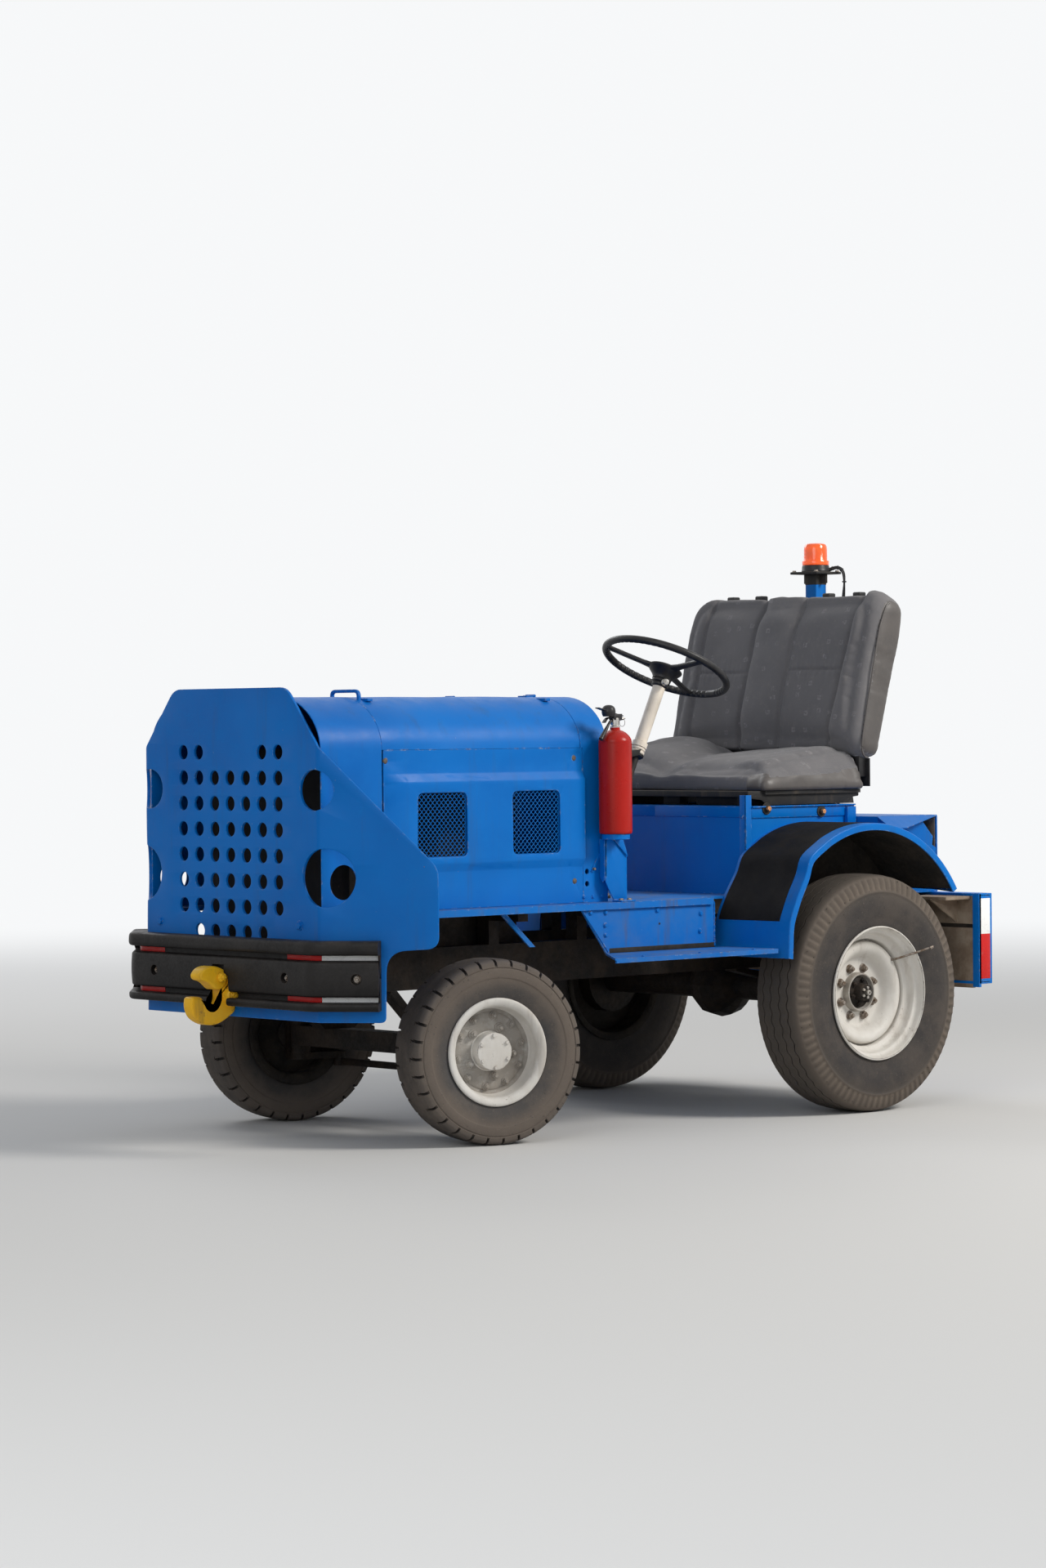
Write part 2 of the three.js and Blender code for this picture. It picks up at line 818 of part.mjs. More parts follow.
const makeSteps = () => {
  const top = deckTop - deckThick - seatGap;
  const bottom = stepTop - stepThick;
  const riser = alongY(
    [
      [riserRearX, bottom],
      [riserFootX, bottom],
      [riserFrontX, top],
      [riserRearX, top],
    ],
    [riserY, riserY + stepThick],
  );
  // The tread widens forward, so its front edge runs askew.
  const tread = alongZ(
    [
      [stepRearX, riserY],
      [riserFootX, riserY],
      [stepFrontX, stepOuter],
      [stepRearX, stepOuter],
    ],
    [bottom, stepTop],
  );
  const lip = block(
    [stepRearX, stepFrontX - stepThick],
    [stepOuter - stepThick, stepOuter],
    [stepTop - stepLip, stepTop - 1],
  );
  addPair("step", "bluePaint", join(riser, tread, lip));
};

// ---- seat ----
const makeSeatBox = () => {
  const box = block(
    [seatBoxRearX, seatBoxFrontX],
    [-seatBoxHalf, seatBoxHalf],
    [deckTop + seatGap, seatBoxTop],
  );
  const hollow = block(
    [seatBoxRearX + sheet, seatBoxFrontX - sheet],
    [-seatBoxHalf + sheet, seatBoxHalf - sheet],
    [deckTop - 10, seatBoxTop - sheet],
  );
  add("seat_box", "bluePaint", cut(box, hollow));
};

const backLean = new THREE.Vector2(
  backRearHigh[0] - backRearLow[0],
  backRearHigh[1] - backRearLow[1],
).normalize();
const makeSeat = () => {
  const frameBottom = seatBoxTop + seatGap;
  const frameTop = cushionBottom - seatGap;
  const rails = [-seatRailY, seatRailY].map((y) =>
    block([cushionRearX + 20, cushionFrontX - 20], [y - 25, y + 25], [frameBottom, frameTop]),
  );
  const pan = block(
    [cushionRearX + 5, cushionFrontX - 10],
    [-cushionHalf + 20, cushionHalf - 20],
    [frameTop - 12, frameTop],
  );
  // Two uprights stand behind the backrest, leaning with it.
  const behind = (distance, height) => [
    backRearLow[0] - distance + backLean.x * height,
    backRearLow[1] + backLean.y * height,
  ];
  const uprights = [-seatRailY, seatRailY].map((y) =>
    alongY(
      [
        [cushionRearX + 30, frameBottom],
        [cushionRearX + 30, frameTop],
        [cushionRearX - 8, frameTop],
        behind(seatGap, -4),
        behind(seatGap, 0),
        behind(seatGap, 420),
        behind(seatGap + 14, 420),
        behind(seatGap + 14, -40),
        [cushionRearX - 60, frameBottom],
      ],
      [y - 20, y + 20],
    ),
  );
  add("seat_frame", "darkSteel", join(...rails, pan, ...uprights));
  add(
    "seat_cushion",
    "seatCloth",
    alongY(
      [
        [cushionRearX, cushionBottom],
        [cushionFrontX, cushionBottom, 20],
        [cushionFrontX, cushionTop, 36],
        [cushionRearX, cushionTop, 12],
      ],
      [-cushionHalf, cushionHalf],
    ),
  );
  add(
    "seat_backrest",
    "seatCloth",
    alongY(
      [
        [...backRearLow, 10],
        [...backFrontLow, 16],
        [...backFrontHigh, 20],
        [...backTop, 18],
        [...backRearHigh, 40],
      ],
      [-cushionHalf, cushionHalf],
    ),
  );
};

// ---- rear fenders, rear body and rear plate ----
const makeFenders = () => {
  const inside = seatBoxHalf + seatGap;
  const wall = 5;
  const contour = (radius) => [
    ...fenderSkirt.map(([along, up]) => [fenderX + along * radius, fenderZ + up * radius]),
    ...arc(fenderX, fenderZ, radius, fenderStart, fenderEnd, 14),
  ];
  const band = (outer, inner) => [...contour(outer), ...contour(inner).reverse()];
  const skin = alongY(band(fenderRadius, fenderRadius - wall), [inside, fenderOuter]);
  const lip = alongY(band(fenderRadius - 1, fenderRadius - fenderLip), [
    fenderOuter - wall,
    fenderOuter,
  ]);
  const innerWall = alongY(contour(fenderRadius - 1), [inside, inside + wall]);
  addPair("rear_fender", "bluePaint", join(skin, lip, innerWall));
};

const makeRearBody = () => {
  const front = seatBoxRearX - seatGap;
  const bottom = rearPlateTop + seatGap;
  const box = block([rearBodyRearX, front], [-rearBodyHalf, rearBodyHalf], [bottom, rearBodyTop]);
  const hollow = block(
    [rearBodyRearX + sheet, front - sheet],
    [-rearBodyHalf - 5, rearBodyHalf + 5],
    [bottom + sheet, rearBodyTop - sheet],
  );
  const arches = [1, -1].map((side) =>
    bar(
      [fenderX, side * (seatBoxHalf - 1), fenderZ],
      [fenderX, side * 800, fenderZ],
      fenderRadius + seatGap,
      72,
    ),
  );
  add("rear_body", "bluePaint", cut(box, hollow, ...arches));
};

const makeRearPlate = () => {
  const front = rearPlateRearX + rearPlateThick;
  const slab = block(
    [rearPlateRearX, front],
    [-rearPlateHalf, rearPlateHalf],
    [rearPlateBottom, rearPlateTop],
  );
  const ledge = block(
    [front - 1, rearLedgeX],
    [-rearPlateHalf + 60, rearPlateHalf - 60],
    [rearPlateTop - 18, rearPlateTop - 10],
  );
  const gussets = [1, -1].map((side) =>
    alongY(
      [
        [front - 1, rearPlateTop - 95],
        [front - 1, rearPlateTop - 12],
        [rearLedgeX + 10, rearPlateTop - 12],
      ].reverse(),
      side > 0 ? [rearGussetY, rearGussetY + 8] : [-rearGussetY - 8, -rearGussetY],
    ),
  );
  add("rear_plate", "bluePaint", join(slab, ledge, ...gussets));
  const x = rearPlateRearX;
  const z = (rearPlateTop + rearPlateBottom) / 2 - 40;
  const jaws = [0, 1].map((k) => {
    const low = z - 45 + k * 68;
    return alongZ(
      [
        [x - hitchReach, -34, 22],
        [x - seatGap, -50],
        [x - seatGap, 50],
        [x - hitchReach, 34, 22],
      ].reverse(),
      [low, low + 22],
    );
  });
  const web = block([x - 16, x - seatGap], [-70, 70], [z - 62, z + 62]);
  const pin = bar([x - 62, 0, z - 62], [x - 62, 0, z + 74], 15, 16);
  add("rear_hitch", "darkSteel", join(web, ...jaws, pin));
};

// ---- beacon ----
const makeBeacon = () => {
  const half = beaconPost / 2;
  const table = beaconTable / 2;
  add(
    "beacon_post",
    "bluePaint",
    join(
      block(
        [beaconX - half, beaconX + half],
        [-half, half],
        [rearBodyTop + seatGap, beaconTableZ + 1],
      ),
      block(
        [beaconX - table, beaconX + table],
        [-table, table],
        [beaconTableZ, beaconTableZ + beaconTableThick],
      ),
    ),
  );
  const tableTop = beaconTableZ + beaconTableThick;
  const baseBottom = tableTop + seatGap;
  const baseTop = baseBottom + beaconBaseHeight;
  add(
    "beacon_base",
    "blackPlastic",
    bar([beaconX, 0, baseBottom], [beaconX, 0, baseTop], beaconBaseRadius, 20, beaconBaseRadius - 3),
  );
  const domeBottom = baseTop + seatGap;
  const height = beaconTop - domeBottom;
  const profile = [
    [0, 0],
    [beaconDomeRadius, 0],
    [beaconDomeRadius - 1, height - 18],
    [beaconDomeRadius - 6, height - 6],
    [beaconDomeRadius - 18, height],
    [0, height],
  ];
  add("beacon_dome", "amber", upright(profile, 20, [beaconX, 0, domeBottom]));
  // The loom leaves the base, bends over the table's left side and runs down to the rear body.
  const away = beaconBaseRadius + 1;
  const start = [-away * 0.5, away * 0.866, tableTop + cableRadius + 2];
  const route = [
    // behind the beacon's centre, to its left, above the start
    [start[0], start[1], 0],
    [-32, 55, 5],
    [-40, 69, 7],
    [-47, 82, 2],
    [-52, 91, -12],
    [-54, 96, -32],
    [-54, 98, -60],
    [-48, 98, -140],
    [-34, cableY + 3, -300],
    [-16, cableY, -560],
    [-14, cableY, rearBodyTop + seatGap + 0.1 - start[2]],
  ].map(([x, y, z]) => new THREE.Vector3(beaconX + x, y, start[2] + z));
  const section = new THREE.Shape(
    arc(0, 0, cableRadius, 0, 315, 7).map(([u, v]) => new THREE.Vector2(u, v)),
  );
  const loom = new THREE.ExtrudeGeometry(section, {
    steps: 72,
    extrudePath: new THREE.CatmullRomCurve3(route),
    bevelEnabled: false,
  });
  add("beacon_cable", "blackPlastic", solidOf(loom));
};

// ---- extinguisher ----
const makeExtinguisher = () => {
  const standTop = bottleBottom - seatGap;
  const footZ = deckTop + seatGap;
  const cup = bar([bottleX, bottleY, standTop - 16], [bottleX, bottleY, standTop], 42, 20);
  // A bent sheet carries the cup: one flange faces the side, the other the front.
  const sideFlange = alongY(
    [
      [bottleX - 70, footZ],
      [bottleX - 18, footZ],
      [bottleX + 18, footZ + 60],
      [bottleX + 18, standTop - 15],
      [bottleX - 70, standTop - 15],
    ],
    [bottleY - 30, bottleY - 25],
  );
  const frontFlange = block(
    [bottleX + 13, bottleX + 18],
    [bottleY - 54, bottleY - 26],
    [footZ + 60, standTop - 15],
  );
  const foot = block(
    [bottleX - 70, bottleX - 10],
    [bottleY - 29, bottleY + 12],
    [footZ, footZ + 5],
  );
  add("extinguisher_stand", "bluePaint", join(cup, sideFlange, frontFlange, foot));
  const shoulder = bottleShoulder - bottleBottom;
  const neck = bottleNeck - bottleBottom;
  const profile = [
    [0, 0],
    [bottleRadius - 6, 0],
    [bottleRadius, 8],
    [bottleRadius, shoulder],
    [bottleRadius - 3, shoulder + 10],
    [bottleRadius - 14, shoulder + 22],
    [bottleRadius - 30, shoulder + 31],
    [15, neck - 6],
    [15, neck],
    [0, neck],
  ];
  add("extinguisher_bottle", "redPaint", upright(profile, 24, [bottleX, bottleY, bottleBottom]));
  const valveBottom = bottleNeck + seatGap;
  const at = (x, y, z) => [bottleX + x, bottleY + y, valveBottom + z];
  const valve = bar(at(0, 0, 0), at(0, 0, 32), 13, 14);
  const lever = alongY(
    [
      [-22, 34],
      [-20, 30],
      [70, 52],
      [68, 58],
    ].map(([x, z]) => [bottleX + x, valveBottom + z]),
    [bottleY - 10, bottleY + 10],
  );
  const knob = upright(
    [
      [0, 0],
      [17, 0],
      [21, 12],
      [18, 24],
      [9, 31],
      [0, 32],
    ],
    14,
    at(24, 0, 36),
  );
  const horn = bar(at(4, 0, 26), at(66, 10, -34), 7, 10, 5);
  const pin = bar(at(0, 0, 22), at(-34, 0, 26), 4, 8);
  add("extinguisher_valve", "blackPlastic", join(valve, lever, knob, horn, pin));
};

// ---- steering column and steering wheel ----
const tilt = degrees(columnTilt);
const columnUp = [-Math.sin(tilt), 0, Math.cos(tilt)];
// A point on the column's axis, a distance below the centre of the steering wheel.
const onColumn = (below) => [
  wheelCentreX - columnUp[0] * below,
  steeringY,
  wheelCentreZ - columnUp[2] * below,
];
const makeColumn = () => {
  const floorDistance = (wheelCentreZ - deckTop - 14) / columnUp[2];
  const foot = onColumn(floorDistance);
  add(
    "steering_column",
    "creamPaint",
    join(
      bar(onColumn(jacketEnd), onColumn(hubDrop + hubHalf + seatGap), columnRadius, 20),
      bar(foot, onColumn(jacketEnd - 2), 16, 16),
      block(
        [foot[0] - 50, foot[0] + 50],
        [steeringY - 45, steeringY + 45],
        [deckTop + seatGap, foot[2] + 12],
      ),
      alongY(
        [
          [cowlRearX - seatGap, 1070],
          [onColumn(jacketEnd)[0], onColumn(jacketEnd)[2] - 8],
          [onColumn(jacketEnd)[0], onColumn(jacketEnd)[2] + 20],
          [cowlRearX - seatGap, 1112],
        ],
        [steeringY - 22, steeringY + 22],
      ),
    ),
  );
};

const makeSteeringWheel = () => {
  const ring = new THREE.TorusGeometry(steerRimRadius - steerRimThick, steerRimThick, 7, 28);
  const turn = new THREE.Matrix4()
    .makeRotationY(-tilt)
    .setPosition(wheelCentreX, steeringY, wheelCentreZ);
  const rim = moved(ring, turn);
  const hub = bar(onColumn(hubDrop + hubHalf), onColumn(hubDrop - hubHalf), 34, 18);
  const pieces = [rim, hub];
  for (const angle of [80, 200, 320]) {
    const reach = steerRimRadius - steerRimThick;
    const end = new THREE.Vector3(
      reach * Math.cos(degrees(angle)),
      reach * Math.sin(degrees(angle)),
      0,
    ).applyMatrix4(turn);
    pieces.push(bar(onColumn(hubDrop), end.toArray(), 9, 10));
  }
  add("steering_wheel", "blackPlastic", join(...pieces));
};

const makePedals = () => {
  const back = cowlRearX - seatGap;
  const hangZ = 915;
  const at = (corners) => corners.map(([x, z]) => [back + x, hangZ + z]);
  const arm = at([[-108, -131], [-122, -125], [-20, 11], [-12, -7]]);
  const pad = at([[-130, -89], [-140, -95], [-106, -151], [-96, -145]]);
  const pieces = [block([back - 14, back], [20, 310], [hangZ - 10, hangZ + 15])];
  for (const y of [40, 115, 285]) {
    pieces.push(alongY(arm, [y - 8, y + 8]), alongY(pad, [y - 28, y + 28]));
  }
  add("pedals", "blackPlastic", join(...pieces));
};

// ---- axles, steering and wheels ----
const frontAxleZ = frontRadius;
const beamHalfHeight = axleBeam / 2;

const leafSpring = (x, z, top, y) => {
  const half = springHalf;
  const thick = 24;
  const corners = [
    [x - half, top - 8],
    [x - 60, z],
    [x + 60, z],
    [x + half, top - 8],
    [x + half, top],
    [x + half - 24, top],
    [x + 60, z + thick],
    [x - 60, z + thick],
    [x - half + 24, top],
    [x - half, top],
  ];
  return alongY(corners, [y - springWidth / 2, y + springWidth / 2]);
};

const makeFrontAxle = () => {
  const beam = block(
    [frontAxleX - 32, frontAxleX + 32],
    [-kingpinY, kingpinY],
    [frontAxleZ - beamHalfHeight, frontAxleZ + beamHalfHeight],
  );
  const bosses = [1, -1].map((side) =>
    bar(
      [frontAxleX, side * kingpinY, frontAxleZ - axleBossHalf],
      [frontAxleX, side * kingpinY, frontAxleZ + axleBossHalf],
      kingpinRadius,
      20,
    ),
  );
  const outside = [1, -1].map((side) =>
    cut(
      block(
        [frontAxleX - 60, frontAxleX + 60],
        side > 0 ? [kingpinY, kingpinY + 60] : [-kingpinY - 60, -kingpinY],
        [frontAxleZ - 60, frontAxleZ + 60],
      ),
      bosses[side > 0 ? 0 : 1],
    ),
  );
  const springs = [railY, -railY].map((y) =>
    leafSpring(frontAxleX, frontAxleZ + beamHalfHeight - 1, railBottom - seatGap, y),
  );
  add("front_axle", "castIron", join(cut(beam, ...outside), ...bosses, ...springs));
};

// Local frame of a steered side: the kingpin's axis through the origin, at axle height; outboard is +Y.
const makeKnuckle = () => {
  const lugTop = axleBossHalf + runGap;
  const lug = (z0, z1) => bar([0, 0, z0], [0, 0, z1], kingpinRadius, 20);
  const back = kingpinRadius + 6;
  const lugEnd = lugTop + knuckleThick;
  const cheek = block([-26, 26], [back, back + knuckleThick], [-lugEnd, lugEnd]);
  const arms = [
    [lugTop, lugEnd],
    [-lugEnd, -lugTop],
  ].map((z) => block([-26, 26], [0, back + 10], z));
  const spindle = bar([0, back + 10, 0], [0, frontOffset + 40, 0], spindleRadius, 20);
  const steer = block([-steerArm, 0], [-16, 16], [-lugEnd, -lugTop]);
  const eye = bar([-steerArm, 0, -lugEnd], [-steerArm, 0, -lugTop], 20, 16);
  return join(
    lug(lugTop, lugEnd),
    lug(-lugEnd, -lugTop),
    cheek,
    ...arms,
    spindle,
    steer,
    eye,
  );
};

// Tyre section [radius, place along the axle], closed, around a rim of the given bead radius.
const tyreSection = (radius, width, bead) => {
  const half = width / 2;
  const shoulder = radius - 0.13 * (radius - bead);
  return [
    [bead, -half * 0.86],
    [bead + (radius - bead) * 0.45, -half],
    [shoulder, -half * 0.9],
    [radius, -half * 0.72],
    [radius, half * 0.72],
    [shoulder, half * 0.9],
    [bead + (radius - bead) * 0.45, half],
    [bead, half * 0.86],
    [bead, -half * 0.86],
  ];
};

const tyreSegments = 36;
const makeTyre = (radius, width, bead) => {
  const flat = radius / Math.cos(Math.PI / tyreSegments);
  return turned(tyreSection(flat, width, bead), tyreSegments, Math.PI / tyreSegments);
};

// The rim fits inside the flats of its tyre's bore.
const beadSeat = (bead) => bead * Math.cos(Math.PI / tyreSegments) - seatGap;

// Front wheel: a shallow dished disc with a hub cap, bored for the spindle from behind.
const frontRimProfile = (offset) => {
  const edge = beadSeat(frontRimRadius);
  const half = frontWidth / 2 - 6;
  const bore = spindleRadius + runGap;
  return [
    [bore, -offset + 62],
    [46, -offset + 62],
    [46, -18],
    [edge - 24, -12],
    [edge - 22, -half],
    [edge, -half],
    [edge, half],
    [edge - 14, half],
    [edge - 30, 22],
    [70, 12],
    [62, 34],
    [38, 38],
    [34, 62],
    [0, 62],
    [0, 42],
    [bore, 42],
    [bore, -offset + 62],
  ];
};

const rearRimProfile = () => {
  const edge = beadSeat(rearRimRadius);
  const half = rearWidth / 2 - 8;
  return [
    [0, -36],
    [120, -36],
    [edge - 30, -20],
    [edge - 26, -half],
    [edge, -half],
    [edge, half],
    [edge - 16, half],
    [edge - 28, half - 26],
    [edge - 44, 24],
    [edge - 66, 12],
    [118, 4],
    [96, -12],
    [62, -12],
    [56, 26],
    [0, 30],
  ];
};

const makeSteeredSide = (name, side) => {
  const group = new THREE.Group();
  group.position.set(frontAxleX, side * kingpinY, frontAxleZ);
  group.rotation.z = degrees(restSteer);
  const outward = new THREE.Vector3(0, frontOffset, 0);
  const knuckle = makeKnuckle();
  const shift = new THREE.Matrix4().setPosition(outward);
  const tyre = moved(geometryOf(makeTyre(frontRadius, frontWidth, frontRimRadius)), shift);
  const rim = moved(geometryOf(turned(frontRimProfile(frontOffset), 28)), shift);
  const handed = side > 0 ? (solid) => solid : mirrored;
  addTo(group, `knuckle_${name}`, "castIron", handed(knuckle));
  addTo(group, `front_tyre_${name}`, "tyre", handed(tyre));
  addTo(group, `front_rim_${name}`, "rimPaint", handed(rim));
  tractor.add(group);
};

const makeTieRod = () => {
  const angle = degrees(restSteer);
  const rodHalf = 12; // half height of the rod's eyes
  const x = frontAxleX - steerArm * Math.cos(angle);
  const shift = -steerArm * Math.sin(angle);
  const z = frontAxleZ - axleBossHalf - runGap - knuckleThick - seatGap - rodHalf;
  const from = [x, -kingpinY + shift, z];
  const to = [x, kingpinY + shift, z];
  const eyes = [from, to].map((end) =>
    bar([end[0], end[1], z - rodHalf], [end[0], end[1], z + rodHalf], 18, 14),
  );
  add("tie_rod", "darkSteel", join(bar(from, to, 11, 12), ...eyes));
};

const makeRearAxle = () => {
  const at = (y) => [rearAxleX, y, rearRadius];
  const inner = rearTrackHalf - 36 - seatGap;
  const tube = bar(at(-inner + 30), at(inner - 30), 46, 20);
  const drums = [1, -1].map((side) => bar(at(side * (inner - 52)), at(side * inner), 112, 24));
  const housing = new THREE.SphereGeometry(105, 12, 8);
  housing.translate(...at(0));
  const springs = [railY, -railY].map((y) =>
    join(
      leafSpring(rearAxleX, rearRadius + 30, railBottom - seatGap, y),
      block(
        [rearAxleX - 40, rearAxleX + 40],
        [y - springWidth / 2, y + springWidth / 2],
        [rearRadius, rearRadius + 40],
      ),
    ),
  );
  add("rear_axle", "castIron", join(tube, ...drums, solidOf(housing), ...springs));
};

const makeRearWheels = () => {
  for (const [name, side] of [["left", 1], ["right", -1]]) {
    const shift = new THREE.Matrix4().setPosition(rearAxleX, rearTrackHalf, rearRadius);
    const tyre = moved(geometryOf(makeTyre(rearRadius, rearWidth, rearRimRadius)), shift);
    const rim = moved(geometryOf(turned(rearRimProfile(), 28)), shift.clone());
    const handed = side > 0 ? (solid) => solid : mirrored;
    add(`rear_tyre_${name}`, "tyre", handed(tyre));
    add(`rear_rim_${name}`, "rimPaint", handed(rim));
  }
};

makeFrontPlate();
makeBumper();
makeHook();
makeFrontCowl();
makeLid();
makeSidePanels();
makeRearCowl();
makeFrame();
makeEngine();
makeDecks();
makeFloor();
makeSteps();
makeSeatBox();
makeSeat();
makeFenders();
makeRearBody();
makeRearPlate();
makeBeacon();
makeExtinguisher();
makeColumn();
makeSteeringWheel();
makePedals();
makeFrontAxle();
makeSteeredSide("left", 1);
makeSteeredSide("right", -1);
makeTieRod();
makeRearAxle();
makeRearWheels();

tractor.position.x = -(hookReach + rearPlateRearX - hitchReach) / 2;

export default tractor;
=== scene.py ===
import json
import math

import bmesh
import bpy
import numpy as np
from mathutils import Matrix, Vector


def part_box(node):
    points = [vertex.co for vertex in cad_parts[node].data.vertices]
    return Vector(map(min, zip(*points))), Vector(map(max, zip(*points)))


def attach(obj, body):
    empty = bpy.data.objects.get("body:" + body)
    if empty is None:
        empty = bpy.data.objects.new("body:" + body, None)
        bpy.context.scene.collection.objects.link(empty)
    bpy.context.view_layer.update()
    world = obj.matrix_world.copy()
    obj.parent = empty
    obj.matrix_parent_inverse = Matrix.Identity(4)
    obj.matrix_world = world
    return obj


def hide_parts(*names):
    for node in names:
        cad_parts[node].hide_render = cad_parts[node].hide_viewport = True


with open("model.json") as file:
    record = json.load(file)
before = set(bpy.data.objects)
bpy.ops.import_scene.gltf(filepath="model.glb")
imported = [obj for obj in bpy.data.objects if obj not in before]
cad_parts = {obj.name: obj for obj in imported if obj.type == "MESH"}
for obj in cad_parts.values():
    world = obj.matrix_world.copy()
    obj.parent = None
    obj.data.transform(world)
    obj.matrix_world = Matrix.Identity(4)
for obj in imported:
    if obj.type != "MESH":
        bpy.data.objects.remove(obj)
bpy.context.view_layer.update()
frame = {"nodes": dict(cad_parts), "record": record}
joints = {joint["name"]: joint for joint in frame["record"]["behaviour"]["joints"]}
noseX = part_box("front_plate")[1][0]  # front face of the front plate
rearAxleX = joints["rear_spin_left"]["pos_m"][0]
print("frame loaded")


# ---- node trees ----
class NodeTree:
    # Adds nodes to the tree of a world or a material, and links them.
    def __init__(self, owner):
        owner.use_nodes = True
        self.tree = owner.node_tree
        self.tree.nodes.clear()

    def node(self, kind, links=None, **settings):
        made = self.tree.nodes.new("ShaderNode" + kind)
        for key, value in settings.items():
            setattr(made, key, value)
        for socket, value in (links or {}).items():
            self.plug(made, socket, value)
        return made

    def plug(self, made, socket, value):
        target = made.inputs[socket]
        if isinstance(value, bpy.types.NodeSocket):
            self.tree.links.new(value, target)
        elif isinstance(value, tuple) and len(value) == 3 and target.type == "RGBA":
            target.default_value = (*value, 1)
        else:
            target.default_value = value

    def calc(self, operation, a, b=0.0, clamp=False):
        return self.node("Math", {0: a, 1: b}, operation=operation, use_clamp=clamp).outputs[0]

    def times(self, a, b):
        return self.calc("MULTIPLY", a, b)

    def spread(self, value, low, high, toLow=0.0, toHigh=1.0):
        links = {0: value, 1: low, 2: high, 3: toLow, 4: toHigh}
        return self.node("MapRange", links, interpolation_type="SMOOTHSTEP").outputs[0]

    def paleRays(self, pale, other, share=1.0):
        # Camera, glossy and transmitted rays meet this share of the pale shader; all others the other.
        rays = self.node("LightPath").outputs
        seen = rays["Is Camera Ray"]
        for extra in ("Is Glossy Ray", "Is Transmission Ray"):
            seen = self.calc("MAXIMUM", seen, rays[extra])
        links = {0: self.times(seen, share), 1: other.outputs[0], 2: pale.outputs[0]}
        return self.node("MixShader", links).outputs[0]


class Recipe(NodeTree):
    # One finish: its shader, and patterns laid on Object coordinates.
    def __init__(self, name):
        self.material = bpy.data.materials.new(name)
        super().__init__(self.material)
        self.shader = self.node("BsdfPrincipled")
        self.out = self.node("OutputMaterial", {"Surface": self.shader.outputs[0]})
        self.place = self.node("TexCoord").outputs["Object"]

    def set(self, **sockets):
        for socket, value in sockets.items():
            self.plug(self.shader, socket.replace("_", " "), value)

    def stretched(self, scale, turn=(0, 0, 0)):
        return self.node("Mapping", {"Vector": self.place, "Scale": scale, "Rotation": turn}).outputs[0]

    def noise(self, scale, detail, roughness=0.6, vector=None, distortion=0.0):
        links = {"Vector": vector or self.place, "Scale": scale, "Detail": detail}
        return self.node(
            "TexNoise", links | {"Roughness": roughness, "Distortion": distortion}
        ).outputs["Fac"]

    def cells(self, scale, feature="F1"):
        return self.node(
            "TexVoronoi", {"Vector": self.place, "Scale": scale}, feature=feature
        ).outputs["Distance"]

    def vector(self, operation, a, b=(0, 0, 0), output="Vector"):
        return self.node("VectorMath", {0: a, 1: b}, operation=operation).outputs[output]

    def wave(self, vector, scale, direction):
        return self.node(
            "TexWave", {"Vector": vector, "Scale": scale}, bands_direction=direction
        ).outputs["Fac"]

    def mix(self, amount, a, b):
        return self.node("Mix", {0: amount, 6: a, 7: b}, data_type="RGBA").outputs[2]

    def attribute(self, name, output="Fac"):
        return self.node("Attribute", attribute_name=name).outputs[output]

    def edges(self, radius):
        # Where a slightly rounded normal departs from the face's own, the surface has an edge.
        soft = self.node("Bevel", {"Radius": radius}, samples=4).outputs[0]
        same = self.vector("DOT_PRODUCT", soft, self.node("NewGeometry").outputs["Normal"], "Value")
        return self.spread(self.calc("SUBTRACT", 1.0, same), 0.02, 0.25)

    def upward(self, vector):
        return self.node("SeparateXYZ", {0: vector}).outputs["Z"]

    def bump(self, *layers, radius=None):
        # Each layer is (height, strength, depth in metres); radius softens the edges first.
        normal = self.node("Bevel", {"Radius": radius}, samples=4).outputs[0] if radius else None
        for height, strength, depth in layers:
            made = self.node("Bump", {"Height": height, "Strength": strength, "Distance": depth})
            if normal:
                self.plug(made, "Normal", normal)
            normal = made.outputs[0]
        self.plug(self.shader, "Normal", normal)


# ---- camera, light and stage ----
view = {
    "place": (noseX + 7.1371, 9.1098, 1.2006), "yaw": 227.711, "pitch": -0.7835, "roll": -0.4769,
    "lens": 137.1, "sensor": 36.0,
}
studio = {
    # place, aim, size, power, colour
    "key": ((-3.6, 6.4, 5.6), (0, 0.2, 0.6), 3.0, 545, (1.0, 0.97, 0.92)),
    "fill": ((7.5, 4.5, 4.0), (0, 0, 0.7), 5.0, 150, (0.94, 0.97, 1.0)),
    "rim": ((-1.5, -6.5, 5.0), (0, 0, 0.8), 4.0, 130, (0.97, 0.98, 1.0)),
    # colour, strength
    "world": ((0.86, 0.9, 0.96), 0.36), "backdrop": ((0.93, 0.94, 0.95), 1.0),
    # the floor's colour, and how far out it turns into the backdrop
    "floor": (0.66, 0.65, 0.63), "floorFade": (3.0, 13.0), "reach": 60,
}


def unit(vectors):
    return vectors / np.maximum(np.linalg.norm(vectors, axis=-1, keepdims=True), 1e-9)


def placed(name, data):
    # A new object in the scene.
    thing = bpy.data.objects.new(name, data)
    bpy.context.scene.collection.objects.link(thing)
    return thing


def posed(thing, axes, place):
    # Stands a camera or a lamp at its place, with these axes.
    turn = np.eye(4)
    turn[:3, :3] = np.stack(axes, -1)
    turn[:3, 3] = place
    thing.matrix_world = Matrix(turn.tolist())


